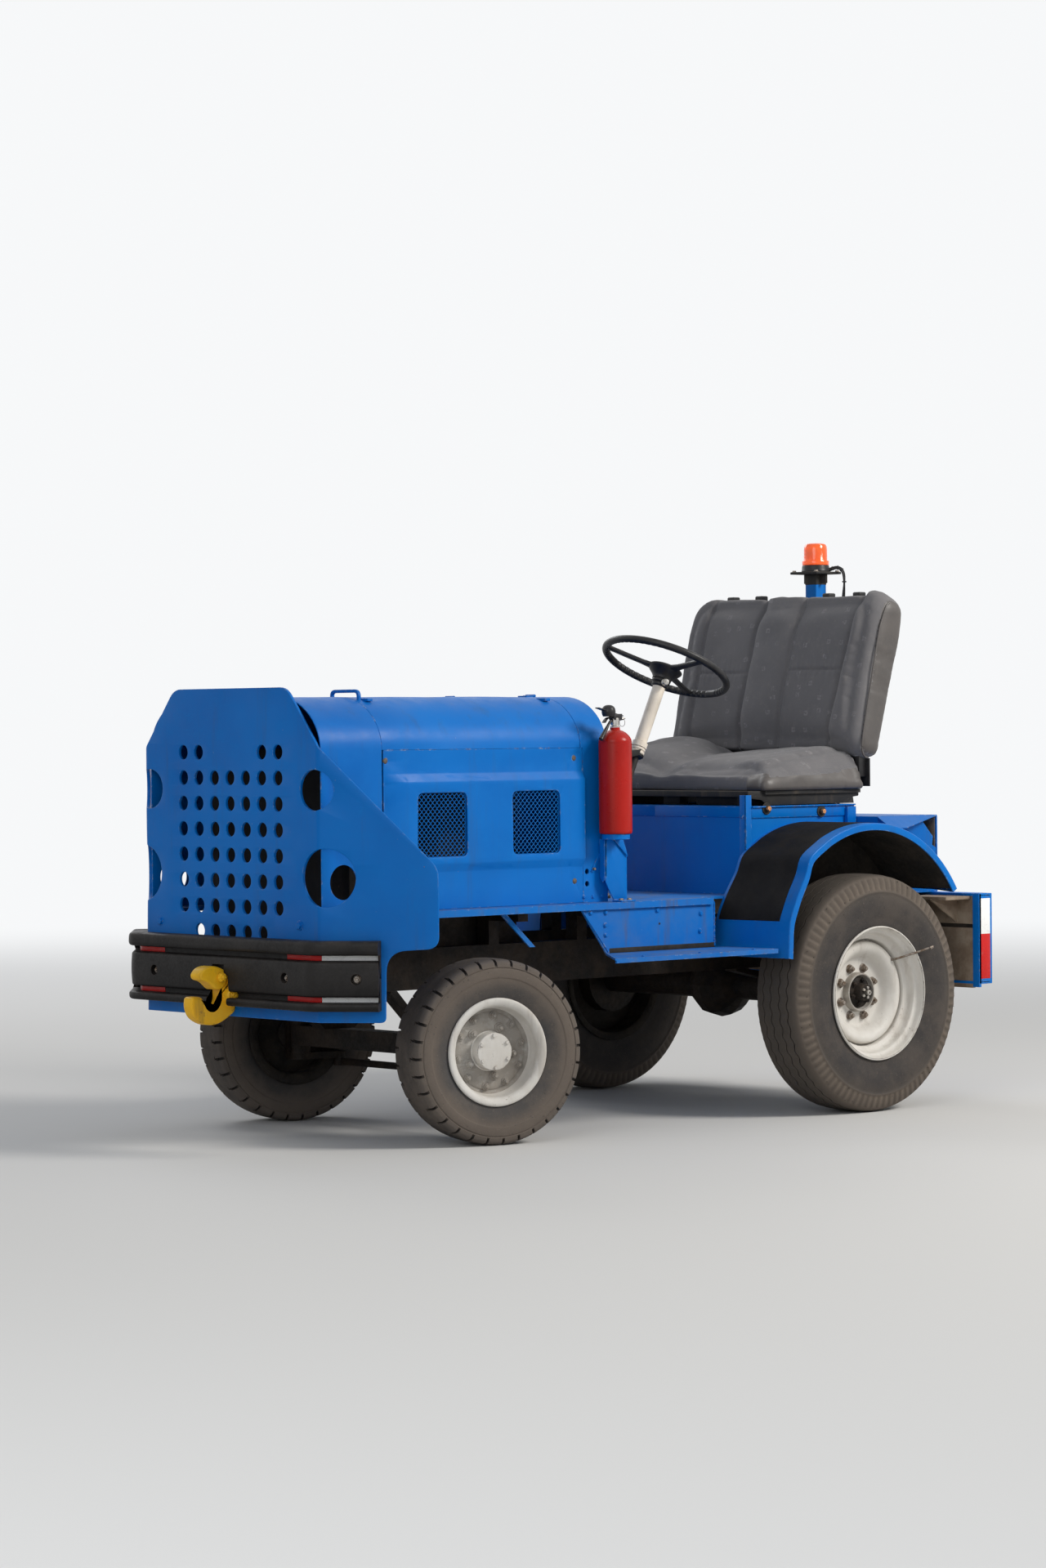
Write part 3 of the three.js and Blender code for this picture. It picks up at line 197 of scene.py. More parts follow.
def makeCamera():
    # The view line comes from yaw and pitch; roll turns the frame about it.
    yaw, pitch, roll = (math.radians(view[key]) for key in ("yaw", "pitch", "roll"))
    ahead = np.array([math.cos(yaw) * math.cos(pitch), math.sin(yaw) * math.cos(pitch), math.sin(pitch)])
    level = unit(np.cross(ahead, [0, 0, 1]))
    upright = np.cross(level, ahead)
    right = math.cos(roll) * level + math.sin(roll) * upright
    up = math.cos(roll) * upright - math.sin(roll) * level
    data = bpy.data.cameras.new("camera")
    data.sensor_fit = "HORIZONTAL"
    data.sensor_width, data.lens, data.clip_end = view["sensor"], view["lens"], 200
    camera = placed("camera", data)
    posed(camera, (right, up, -ahead), view["place"])
    bpy.context.scene.camera = camera


def makeLamp(name, place, aim, size, power, colour):
    data = bpy.data.lights.new(name, "AREA")
    data.shape = "DISK"
    data.size, data.energy, data.color = size, power, colour
    back = unit(np.array(place, float) - np.array(aim, float))
    side = unit(np.cross([0, 0, 1], back))
    posed(placed(name, data), (side, np.cross(back, side), back), place)


def makeStage():
    world = bpy.data.worlds.new("studio")
    bpy.context.scene.world = world
    sky = NodeTree(world)
    light, pale = (
        sky.node(
            "Background", dict(zip(("Color", "Strength"), studio[key]))
        ) for key in ("world", "backdrop")
    )
    sky.node("OutputWorld", {"Surface": sky.paleRays(pale, light)})
    reach = studio["reach"]
    mesh = bpy.data.meshes.new("floor_stage")
    corners = [(-reach, -reach, 0), (reach, -reach, 0), (reach, reach, 0), (-reach, reach, 0)]
    mesh.from_pydata(corners, [], [(0, 1, 2, 3)])
    paint = Recipe("floor_pale")
    paint.set(Base_Color=studio["floor"], Roughness=0.9)
    glow = paint.node("Emission", {"Color": studio["backdrop"][0]})
    away = paint.vector("LENGTH", paint.place, output="Value")
    share = paint.spread(away, *studio["floorFade"])
    paint.plug(paint.out, "Surface", paint.paleRays(glow, paint.shader, share))
    mesh.materials.append(paint.material)
    placed("floor_stage", mesh)


makeCamera()
for lampName in ("key", "fill", "rim"):
    makeLamp(lampName, *studio[lampName])
makeStage()
bpy.context.scene.view_settings.view_transform = "Standard"
print("camera, lamps and stage made")


# ---- finishes ----
# Paints: tones (main, shade, faded), grime and dust (colour, amount), bare (primer, rust), edge (width of
# the worn edges, amount), chips (the level above which specks are bare).
paintCommon = {
    "mottle": 14, "faded": 0.4, "scratches": 0.6, "dustHeight": 0.95, "shine": 0.2, "coat": 0.03,
    "dent": 0.006,
}


def wornPaint(name, look):
    # Tone drifts and fades over the panel; edges and specks chip to primer and rust; dust lies on
    # what faces up and on what is low.
    look = paintCommon | look
    r = Recipe(name)
    base, shade, faded = look["tones"]
    fine = r.noise(look["mottle"], 6, 0.7)
    colour = r.mix(r.spread(r.noise(1.7, 3), 0.35, 0.68), base, shade)
    colour = r.mix(r.spread(fine, 0.45, 0.8, 0, look["faded"]), colour, faded)
    grime, grimeAmount = look["grime"]
    streaks = r.noise(5, 5, 0.65, r.stretched((3.5, 3.5, 0.35)))
    colour = r.mix(r.spread(streaks, 0.52, 0.78, 0, grimeAmount), colour, grime)
    scratch = r.noise(26, 3, 0.5, r.stretched((0.25, 0.5, 2.6), (0.2, 0.5, 0.3)), 0.6)
    scratch = r.spread(r.calc("ABSOLUTE", r.calc("SUBTRACT", scratch, 0.5)), 0.0, 0.012, 1, 0)
    scratch = r.times(scratch, r.spread(r.noise(4.3, 2), 0.55, 0.7, 0, look["scratches"]))
    colour = r.mix(scratch, colour, faded)
    edgeWidth, edgeAmount = look["edge"]
    edge = r.times(r.edges(edgeWidth), r.spread(r.noise(38, 5, 0.75), 0.5, 0.62))
    speck = r.spread(r.noise(62, 4, 0.72), look["chips"], look["chips"] + 0.03)
    speck = r.times(speck, r.spread(r.noise(3.1, 3), 0.45, 0.62))
    chip = r.calc("MAXIMUM", r.times(edge, edgeAmount), speck, clamp=True)
    colour = r.mix(chip, colour, r.mix(r.spread(r.noise(90, 3), 0.4, 0.6), *look["bare"]))
    up = r.spread(r.upward(r.node("NewGeometry").outputs["Normal"]), 0.25, 0.95)
    low = r.spread(r.upward(r.place), 0.3, look["dustHeight"], 1, 0)
    dustColour, dustAmount = look["dust"]
    dust = r.calc("ADD", r.times(up, 0.75), r.times(low, 0.6), clamp=True)
    dust = r.times(r.times(dust, r.spread(r.noise(7.5, 6, 0.72), 0.38, 0.72, 0.15, 1)), dustAmount)
    colour = r.mix(dust, colour, dustColour)
    rough = r.spread(fine, 0.3, 0.7, look["rough"] - 0.07, look["rough"] + 0.1)
    rough = r.calc("ADD", r.calc("ADD", rough, r.times(dust, 0.45)), r.times(chip, 0.3), clamp=True)
    r.set(Base_Color=colour, Roughness=rough, Specular_IOR_Level=look["shine"])
    r.set(Coat_Weight=look["coat"], Coat_Roughness=0.2)
    layers = (r.noise(3.2, 2), 0.25, look["dent"]), (r.noise(260, 2), 0.12, 0.0006), (chip, -0.5, 0.0005)
    r.bump(*layers, radius=0.0012)
    return r.material


blueDust = (0.17, 0.19, 0.22)
blueLook = {
    "tones": ((0.0, 0.158, 0.55), (0.0, 0.128, 0.475), (0.0, 0.182, 0.58)), "faded": 0.35,
    "grime": ((0.045, 0.075, 0.13), 0.28), "scratches": 0.55,
    "bare": ((0.4, 0.5, 0.58), (0.13, 0.075, 0.05)), "edge": (0.0065, 0.95), "chips": 0.71,
    "dust": (blueDust, 0.12), "rough": 0.38, "shine": 0.13,
}
bluePaint = wornPaint("paint_blue", blueLook)
meshBlue = wornPaint("paint_blue_mesh", blueLook | {"edge": (0.0006, 0.25)})
greasyBlue = wornPaint(
    "paint_blue_soiled",
    blueLook | {"grime": ((0.1, 0.075, 0.05), 0.85), "dust": (blueDust, 0.6), "rough": 0.5},
)
yellowPaint = wornPaint(
    "paint_yellow",
    {
        "tones": ((1.0, 0.6, 0.014), (0.92, 0.48, 0.012), (1.0, 0.7, 0.05)), "mottle": 40,
        "grime": ((0.2, 0.09, 0.02), 0.5), "scratches": 0.8, "bare": ((0.2, 0.1, 0.05), (0.1, 0.04, 0.02)),
        "edge": (0.005, 1.0), "chips": 0.6, "dust": ((0.3, 0.24, 0.15), 0.3), "rough": 0.42, "dent": 0.004,
    }
)
redPaint = wornPaint(
    "paint_red",
    {
        "tones": ((0.44, 0.011, 0.006), (0.34, 0.008, 0.005), (0.48, 0.03, 0.02)), "faded": 0.25,
        "grime": ((0.12, 0.03, 0.02), 0.35), "bare": ((0.35, 0.3, 0.28), (0.2, 0.12, 0.1)),
        "edge": (0.003, 0.5), "chips": 0.72, "dust": ((0.36, 0.16, 0.12), 0.15), "rough": 0.3,
        "dustHeight": 0.96, "dent": 0.0,
    }
)
whiteGrime, whiteDust = (0.2, 0.15, 0.11), (0.36, 0.3, 0.24)
whiteLook = {
    "tones": ((0.7, 0.68, 0.64), (0.6, 0.57, 0.52), (0.78, 0.77, 0.74)), "mottle": 22,
    "grime": (whiteGrime, 0.45), "scratches": 0.7, "bare": ((0.12, 0.1, 0.09), (0.17, 0.09, 0.05)),
    "edge": (0.004, 0.7), "chips": 0.64, "dust": (whiteDust, 0.34), "rough": 0.5, "dustHeight": 0.7,
    "dent": 0.002,
}
whitePaint = wornPaint("paint_white_rim", whiteLook)
# A darker copy of the white paint, for the dish's deep ring and the front nuts: grime and dust, and painted
# shade in the recess.
dirtyShadedWhite = wornPaint(
    "paint_white_soiled",
    whiteLook | {
        "tones": ((0.36, 0.34, 0.31), (0.24, 0.22, 0.195), (0.78, 0.77, 0.74)), "grime": (whiteGrime, 0.8),
        "dust": (whiteDust, 0.5),
    }
)
creamPaint = wornPaint(
    "paint_cream",
    {
        "tones": ((0.84, 0.76, 0.65), (0.76, 0.67, 0.55), (0.9, 0.85, 0.78)), "mottle": 30, "faded": 0.3,
        "grime": ((0.35, 0.25, 0.16), 0.4), "scratches": 0.8,
        "bare": ((0.03, 0.025, 0.02), (0.07, 0.035, 0.02)), "edge": (0.003, 0.9), "chips": 0.615,
        "dust": ((0.5, 0.42, 0.33), 0.15), "rough": 0.45, "dent": 0.0,
    }
)
blackPaint = wornPaint(
    "paint_black_frame",
    {
        "tones": ((0.018, 0.018, 0.019), (0.03, 0.028, 0.026), (0.07, 0.066, 0.06)), "faded": 0.5,
        "grime": ((0.1, 0.075, 0.055), 0.6), "bare": ((0.12, 0.09, 0.07), (0.13, 0.06, 0.03)),
        "edge": (0.004, 0.7), "chips": 0.66, "dust": ((0.17, 0.14, 0.11), 0.6), "rough": 0.6, "coat": 0.0,
        "dent": 0.003,
    }
)


# Plain stuffs: tones (main, other), dust (colour, amount), the sizes of patches and grain, relief
# (strength, depth), edge (colour, amount, width of the worn edges).
def plainFinish(name, look):
    # Two tones mixed by noise, a dusty third tone on what faces up, and grain in the roughness and bump.
    r = Recipe(name)
    colour = r.mix(r.spread(r.noise(look["patch"], 5, 0.65), 0.35, 0.68), *look["tones"])
    up = r.spread(r.upward(r.node("NewGeometry").outputs["Normal"]), -0.1, 0.9)
    dustColour, dustAmount = look["dust"]
    dust = r.times(up, r.spread(r.noise(look["patch"] * 2.3, 5, 0.7), 0.4, 0.7))
    colour = r.mix(r.times(dust, dustAmount), colour, dustColour)
    edgeColour, edgeAmount, edgeWidth = look["edge"]
    wear = r.times(r.edges(edgeWidth), r.spread(r.noise(45, 4), 0.4, 0.65, 0, edgeAmount))
    grain = r.noise(look["grain"], 4, 0.7)
    rough = r.spread(grain, 0.3, 0.7, look["rough"] - 0.08, look["rough"] + 0.1)
    r.set(
        Base_Color=r.mix(wear, colour, edgeColour),
        Roughness=r.calc("ADD", rough, r.times(dust, 0.2), clamp=True), Metallic=look.get("metal", 0.0),
        Specular_IOR_Level=look.get("shine", 0.3),
    )
    r.bump((grain, *look["relief"]), radius=look.get("round", 0.001))
    return r.material


bumperRubber = plainFinish(
    "rubber_bumper",
    {
        "tones": ((0.007, 0.006, 0.006), (0.018, 0.016, 0.015)), "dust": ((0.14, 0.115, 0.1), 0.22),
        "patch": 6, "grain": 130, "rough": 0.5, "relief": (0.35, 0.0012),
        "edge": ((0.14, 0.09, 0.06), 0.6, 0.003), "shine": 0.2,
    }
)
blackPlastic = plainFinish(
    "plastic_black",
    {
        "tones": ((0.01, 0.01, 0.011), (0.022, 0.021, 0.022)), "dust": ((0.1, 0.09, 0.08), 0.25),
        "patch": 18, "grain": 300, "rough": 0.38, "relief": (0.2, 0.0005),
        "edge": ((0.07, 0.065, 0.06), 0.3, 0.003),
    }
)
castIron = plainFinish(
    "iron_greasy",
    {
        "tones": ((0.01, 0.008, 0.007), (0.032, 0.022, 0.015)), "dust": ((0.09, 0.07, 0.052), 0.45),
        "patch": 11, "grain": 75, "rough": 0.68, "relief": (0.6, 0.003), "metal": 0.25,
        "edge": ((0.16, 0.12, 0.09), 0.3, 0.003),
    }
)
rustySheet = plainFinish(
    "steel_sheet_rusty",
    {
        "tones": ((0.21, 0.15, 0.105), (0.33, 0.265, 0.2)), "dust": ((0.38, 0.31, 0.24), 0.5), "patch": 13,
        "grain": 110, "rough": 0.72, "relief": (0.5, 0.0012), "metal": 0.1,
        "edge": ((0.3, 0.22, 0.15), 0.5, 0.003),
    }
)
boltSteel = plainFinish(
    "steel_bolts",
    {
        "tones": ((0.3, 0.27, 0.24), (0.13, 0.085, 0.055)), "dust": ((0.22, 0.18, 0.14), 0.4), "patch": 70,
        "grain": 320, "rough": 0.45, "relief": (0.3, 0.0006), "metal": 0.75,
        "edge": ((0.5, 0.46, 0.4), 0.3, 0.0015), "round": 0.0005,
    }
)
rustySteel = plainFinish(
    "steel_rusty",
    {
        "tones": ((0.095, 0.076, 0.06), (0.16, 0.125, 0.095)), "dust": ((0.16, 0.12, 0.09), 0.3),
        "patch": 120, "grain": 420, "rough": 0.6, "relief": (0.4, 0.0005), "metal": 0.3,
        "edge": ((0.16, 0.125, 0.095), 0.3, 0.003), "round": 0.0005,
    }
)
copperSteel = plainFinish(
    "steel_copper",
    {
        "tones": ((0.72, 0.36, 0.17), (0.55, 0.24, 0.1)), "dust": ((0.5, 0.34, 0.2), 0.2), "patch": 140,
        "grain": 420, "rough": 0.36, "relief": (0.2, 0.0004), "metal": 0.8,
        "edge": ((0.9, 0.6, 0.4), 0.3, 0.0015), "round": 0.0005,
    }
)
zincSteel = plainFinish(
    "steel_zinc",
    {
        "tones": ((0.46, 0.45, 0.43), (0.34, 0.31, 0.27)), "dust": ((0.3, 0.25, 0.2), 0.25), "patch": 60,
        "grain": 280, "rough": 0.34, "relief": (0.2, 0.0004), "metal": 0.9,
        "edge": ((0.6, 0.58, 0.55), 0.3, 0.0015), "round": 0.0005,
    }
)
antiSlip = plainFinish(
    "grit_black",
    {
        "tones": ((0.006, 0.006, 0.007), (0.014, 0.013, 0.013)), "dust": ((0.06, 0.052, 0.045), 0.2),
        "patch": 9, "grain": 900, "rough": 0.72, "relief": (0.9, 0.0012), "shine": 0.1,
        "edge": ((0.014, 0.013, 0.013), 0.0, 0.003),
    }
)
# Near black: painted shade laid in hollows and gaps (the rims' backs and bores, the rear plate's groove, the
# step's gap and hole), and the lining under the fenders.
dirtAndShadeDark = plainFinish(
    "dirt_underbody",
    {
        "tones": ((0.012, 0.011, 0.01), (0.04, 0.032, 0.025)), "dust": ((0.12, 0.095, 0.07), 0.5),
        "patch": 8, "grain": 60, "rough": 0.85, "relief": (0.5, 0.003),
        "edge": ((0.04, 0.032, 0.025), 0.3, 0.003),
    }
)


def tyreFinish(name, look):
    # "reach" runs from the bead (0) to the tread (1); "groove" is 1 at the bottom of the tread pattern.
    r = Recipe(name)
    ramp = r.node("ValToRGB", {0: r.attribute("reach")})
    elements = ramp.color_ramp.elements
    while len(elements) < len(look["zones"]):
        elements.new(0.5)
    for element, (position, colour) in zip(elements, look["zones"]):
        element.position = position
        element.color = (*colour, 1)
    blotch = r.spread(r.noise(7, 6, 0.7), 0.35, 0.7)
    colour = r.mix(r.times(blotch, 0.55), ramp.outputs[0], look["dust"])
    fine = r.noise(120, 4, 0.75)
    colour = r.mix(r.spread(fine, 0.56, 0.75, 0, 0.5), colour, look["pale"])
    # The pits, and the tread pattern in step with its depth, are painted near black: painted shade in the
    # hollows.
    pits = r.spread(r.cells(95), 0.05, 0.12, 1, 0)
    pits = r.times(pits, r.spread(r.noise(33, 2), 0.52, 0.6, 0, 0.7))
    colour = r.mix(pits, colour, look["groove"])
    colour = r.mix(r.times(r.attribute("groove"), 0.92), colour, look["groove"])
    r.set(Base_Color=colour, Roughness=r.spread(fine, 0.3, 0.7, 0.78, 0.95), Specular_IOR_Level=0.3)
    r.bump((fine, 0.35, 0.0012), (r.noise(22, 4), 0.3, 0.002), (pits, -0.3, 0.001))
    return r.material


frontTyreRubber = tyreFinish(
    "tyre_front",
    {
        # how far out, colour
        "zones": [
            (0.0, (0.05, 0.05, 0.054)), (0.3, (0.074, 0.067, 0.062)), (0.52, (0.124, 0.101, 0.084)),
            (0.8, (0.117, 0.096, 0.08)), (0.95, (0.098, 0.084, 0.074)), (1.0, (0.057, 0.048, 0.042)),
        ],
        # groove: the near-black painted shade laid in the pits and the tread pattern
        "dust": (0.155, 0.126, 0.102), "pale": (0.2, 0.165, 0.135), "groove": (0.012, 0.01, 0.009),
    }
)
rearTyreRubber = tyreFinish(
    "tyre_rear",
    {
        "zones": [
            (0.0, (0.034, 0.032, 0.032)), (0.45, (0.04, 0.036, 0.035)), (0.64, (0.06, 0.052, 0.046)),
            (0.72, (0.155, 0.125, 0.1)), (0.93, (0.135, 0.11, 0.09)), (1.0, (0.07, 0.06, 0.051)),
        ],
        # groove: the near-black painted shade laid in the pits and the tread pattern
        "dust": (0.095, 0.078, 0.065), "pale": (0.15, 0.125, 0.103), "groove": (0.008, 0.007, 0.006),
    }
)


def seatCloth():
    # A fine basket weave laid along the cloth's own coordinates, with small woven squares and dust.
    r = Recipe("cloth_grey")
    cloth = r.attribute("cloth", "Vector")
    weave = r.times(*(r.wave(cloth, 190.0, direction) for direction in "XY"))
    cell = r.vector("DIVIDE", cloth, (0.052, 0.047, 1.0))
    base = r.vector("FLOOR", cell)
    chance = r.node("TexWhiteNoise", {"Vector": base}, noise_dimensions="3D").outputs
    middle = r.vector("MULTIPLY", chance["Color"], (0.6, 0.6, 0))
    offset = r.vector("SUBTRACT", r.vector("SUBTRACT", cell, base), middle)
    parts = r.node("SeparateXYZ", {0: r.vector("SUBTRACT", offset, (0.2, 0.2, 0))}).outputs
    far = r.calc("MAXIMUM", r.calc("ABSOLUTE", parts["X"]), r.calc("ABSOLUTE", parts["Y"]))
    square = r.times(r.spread(far, 0.145, 0.175, 1, 0), r.spread(far, 0.05, 0.09, 0.35, 1))
    square = r.times(square, r.spread(chance["Value"], 0.55, 0.6))
    square = r.times(square, r.spread(r.noise(160, 3), 0.4, 0.6))
    tone = r.spread(r.noise(3.2, 5, 0.6), 0.35, 0.7)
    colour = r.mix(tone, (0.185, 0.178, 0.182), (0.15, 0.146, 0.152))
    colour = r.mix(r.times(square, 0.5), colour, (0.37, 0.355, 0.36))
    colour = r.mix(r.spread(weave, 0.1, 0.7, 0.0, 0.4), colour, (0.24, 0.23, 0.228))
    fluff = r.spread(r.noise(46, 6, 0.75), 0.5, 0.72, 0, 0.28)
    colour = r.mix(fluff, colour, (0.275, 0.255, 0.238))
    stain = r.spread(r.noise(1.9, 4, 0.55), 0.52, 0.7, 0, 0.35)
    colour = r.mix(stain, colour, (0.112, 0.106, 0.108))
    r.set(Base_Color=colour, Roughness=0.96, Specular_IOR_Level=0.2, Sheen_Weight=0.12, Sheen_Roughness=0.5)
    r.bump((r.noise(9, 3), 0.25, 0.004), (weave, 0.5, 0.0008), (r.noise(300, 3), 0.25, 0.0006))
    return r.material


def seatVinyl():
    # Smooth grained vinyl: cell pattern for the grain, long soft creases, grey-brown dirt.
    r = Recipe("vinyl_grey")
    tone = r.spread(r.noise(5, 5, 0.6), 0.35, 0.7)
    colour = r.mix(tone, (0.094, 0.082, 0.075), (0.07, 0.063, 0.059))
    colour = r.mix(r.spread(r.noise(60, 5, 0.7), 0.55, 0.75, 0, 0.35), colour, (0.13, 0.112, 0.098))
    r.set(Base_Color=colour, Roughness=r.spread(r.noise(30, 3), 0.3, 0.7, 0.42, 0.56))
    r.bump((r.noise(12, 3), 0.3, 0.004), (r.cells(420, "SMOOTH_F1"), 0.3, 0.0006))
    return r.material


def tapeFinish(name, colour, tint):
    # Reflective tape: a honeycomb of small cells under a smooth film, scuffed in places.
    r = Recipe(name)
    comb = r.cells(260, "DISTANCE_TO_EDGE")
    tone = r.mix(r.spread(comb, 0.0, 0.1), tint, colour)
    tone = r.mix(r.spread(r.noise(24, 5, 0.7), 0.57, 0.74, 0, 0.3), tone, (0.25, 0.22, 0.19))
    r.set(Base_Color=tone, Roughness=r.spread(r.noise(30, 3), 0.4, 0.7, 0.3, 0.45), Specular_IOR_Level=0.25)
    r.bump((comb, 0.15, 0.0004), (r.noise(40, 3), 0.2, 0.001))
    return r.material


def amberFinish():
    # Clear amber plastic with fine moulded ribs, a dusty outer skin and a faint painted glow.
    r = Recipe("plastic_amber")
    dusty = r.spread(r.noise(60, 5, 0.7), 0.5, 0.75, 0, 0.4)
    r.set(
        Base_Color=r.mix(dusty, (1.0, 0.15, 0.004), (0.75, 0.16, 0.03)),
        Roughness=r.spread(r.noise(80, 3), 0.4, 0.7, 0.08, 0.2), Transmission_Weight=0.45, IOR=1.46,
        # the emission is a painted glow
        Coat_Weight=0.5, Emission_Color=(1.0, 0.12, 0.0), Emission_Strength=0.16,
    )
    r.bump((r.wave(r.place, 95.0, "Z"), 0.12, 0.0006))
    return r.material


def reflectorFinish():
    # The bright bowl inside the beacon.
    r = Recipe("metal_reflector")
    facets = r.cells(150)
    r.set(Base_Color=(0.95, 0.72, 0.35), Metallic=0.9, Roughness=r.spread(facets, 0.1, 0.7, 0.12, 0.3))
    r.bump((facets, 0.5, 0.002))
    return r.material


clothGrey = seatCloth()
vinylGrey = seatVinyl()
redTape = tapeFinish("tape_red", (0.62, 0.012, 0.01), (0.4, 0.01, 0.01))
whiteTape = tapeFinish("tape_white", (0.93, 0.93, 0.91), (0.8, 0.8, 0.8))
amberPlastic = amberFinish()
reflectorMetal = reflectorFinish()
print("finishes mixed")


# ---- shapes as arrays ----
class Shape:
    # Points with four-sided and three-sided faces; marks are values kept per point.
    def __init__(self, points, quads=(), tris=(), marks=None):
        self.points = np.asarray(points, float).reshape(-1, 3)
        self.quads = np.asarray(quads, int).reshape(-1, 4)
        self.tris = np.asarray(tris, int).reshape(-1, 3)
        self.marks = marks or {}

    def moved(self, shift, turn):
        return Shape(self.points @ turn.T + shift, self.quads, self.tris, self.marks)

    def mirrored(self):
        return Shape(self.points * [1, -1, 1], self.quads[:, ::-1], self.tris[:, ::-1], self.marks)


def together(*shapes):
    # All shapes in one, each keeping its marks (0 where a shape has none).
    names = {name for shape in shapes for name in shape.marks}
    starts = np.cumsum([0] + [len(shape.points) for shape in shapes[:-1]])
    marks = {
        name: np.concatenate(
            [shape.marks.get(name, np.zeros(len(shape.points))) for shape in shapes]
        ) for name in names
    }
    quads, tris = (
        np.concatenate(
            [getattr(shape, faces) + start for shape, start in zip(shapes, starts)]
        ) for faces in ("quads", "tris")
    )
    return Shape(np.concatenate([shape.points for shape in shapes]), quads, tris, marks)


def bothSides(shape):
    return together(shape, shape.mirrored())


def grid(points, wrapRows=False, wrapColumns=False, marks=None):
    # Faces between neighbouring points of a rows x columns array.
    rows, columns = points.shape[:2]
    index = np.arange(rows * columns).reshape(rows, columns)
    if wrapRows:
        index = np.vstack([index, index[:1]])
    if wrapColumns:
        index = np.hstack([index, index[:, :1]])
    corners = (index[:-1, :-1], index[1:, :-1], index[1:, 1:], index[:-1, 1:])
    flat = {name: np.broadcast_to(v, (rows, columns)).ravel() for name, v in (marks or {}).items()}
    return Shape(points, np.stack(corners, -1), marks=flat)


def loft(rings, closed=True):
    # Closed rings joined in order; each end is closed by a fan about its middle.
    pieces = [grid(rings, wrapColumns=True)]
    here = np.arange(rings.shape[1])
    for ring, way in ((rings[0], 1), (rings[-1], -1)) if closed else ():
        fan = np.stack([here, np.roll(here, -1), np.full(len(here), len(here))], -1)[:, ::way]
        pieces.append(Shape(np.vstack([ring, ring.mean(0)]), tris=fan))
    return together(*pieces)


def basis(axis):
    # Columns: two unit vectors across the axis, then the axis.
    w = unit(np.asarray(axis, float))
    u = unit(np.cross([0, 0, 1] if abs(w[2]) < 0.9 else [1, 0, 0], w))
    return np.stack([u, np.cross(w, u), w], -1)


def aroundAxis(radius, angle, height):
    # Places at a radius and a height about the z axis.
    return np.stack(np.broadcast_arrays(radius * np.cos(angle), radius * np.sin(angle), height), -1)


def turned(profile, count, centre=(0, 0, 0), axis=(0, 0, 1), closed=False, wobble=None):
    # The profile's (radius, height) pairs run round the axis; wobble adds to the radius.
    profile = np.asarray(profile, float)
    angle = np.arange(count)[:, None] * 2 * math.pi / count
    radius = np.broadcast_to(profile[:, 0], (count, len(profile)))
    if wobble is not None:
        radius = radius + wobble(angle, profile)
    shape = grid(aroundAxis(radius, angle, profile[:, 1]), wrapRows=True, wrapColumns=closed)
    return shape.moved(centre, basis(axis))


def cornerCurves(corners, before, after, radius, steps):
    # A quadratic curve at each corner, leaving it by the radius towards the points before and after.
    ways = before - corners, after - corners
    reach = [np.minimum(radius, np.linalg.norm(way, axis=1, keepdims=True) * 0.48) for way in ways]
    start, end = (corners + unit(way) * far for way, far in zip(ways, reach))
    t = np.linspace(0, 1, steps + 1)[None, :, None]
    curve = (1 - t) ** 2 * start[:, None] + 2 * t * (1 - t) * corners[:, None] + t**2 * end[:, None]
    return curve.reshape(-1, corners.shape[1])


def softened(profile, radius, steps):
    # A closed outline with its corners rounded; a radius for each corner, or one for all.
    corners = np.asarray(profile, float)
    radius = np.broadcast_to(radius, len(corners))[:, None]
    return cornerCurves(corners, np.roll(corners, 1, 0), np.roll(corners, -1, 0), radius, steps)


def smoothPath(knots, steps):
    # Catmull-Rom curve through all the knots.
    knots = np.asarray(knots, float)
    padded = np.vstack([2 * knots[0] - knots[1], knots, 2 * knots[-1] - knots[-2]])
    p0, p1, p2, p3 = (padded[k : k + len(knots) - 1, None] for k in range(4))
    t = np.linspace(0, 1, steps, endpoint=False)[None, :, None]
    square, cube = 2 * p0 - 5 * p1 + 4 * p2 - p3, 3 * p1 - p0 - 3 * p2 + p3
    curve = 0.5 * (2 * p1 + (p2 - p0) * t + square * t**2 + cube * t**3)
    return np.vstack([curve.reshape(-1, knots.shape[1]), knots[-1:]])


def sweep(path, section, up=(0, 0, 1), scale=None, closed=False):
    # The section's (across, upward) loop is set square to the path at each of its points.
    path = np.asarray(path, float)
    ahead = unit(np.roll(path, -1, 0) - np.roll(path, 1, 0) if closed else np.gradient(path, axis=0))
    across = unit(np.cross(ahead, np.broadcast_to(np.asarray(up, float), path.shape)))
    rise = np.cross(across, ahead)
    size = np.ones(len(path)) if scale is None else np.asarray(scale, float)
    local = np.asarray(section, float)[None] * size.reshape(len(path), 1, -1)
    rings = path[:, None] + local[..., :1] * across[:, None] + local[..., 1:] * rise[:, None]
    return grid(rings, wrapRows=True, wrapColumns=True) if closed else loft(rings)


def circle(radius, count):
    return aroundAxis(radius, np.arange(count) * 2 * math.pi / count, 0)[:, :2]


def tube(path, radius, count, up=(0, 0, 1), **options):
    return sweep(path, circle(radius, count), up, **options)


def rounded(width, height, radius, steps=4):
    half = np.array([[1, 1], [-1, 1], [-1, -1], [1, -1]]) * [width / 2, height / 2]
    return softened(half, radius, steps)


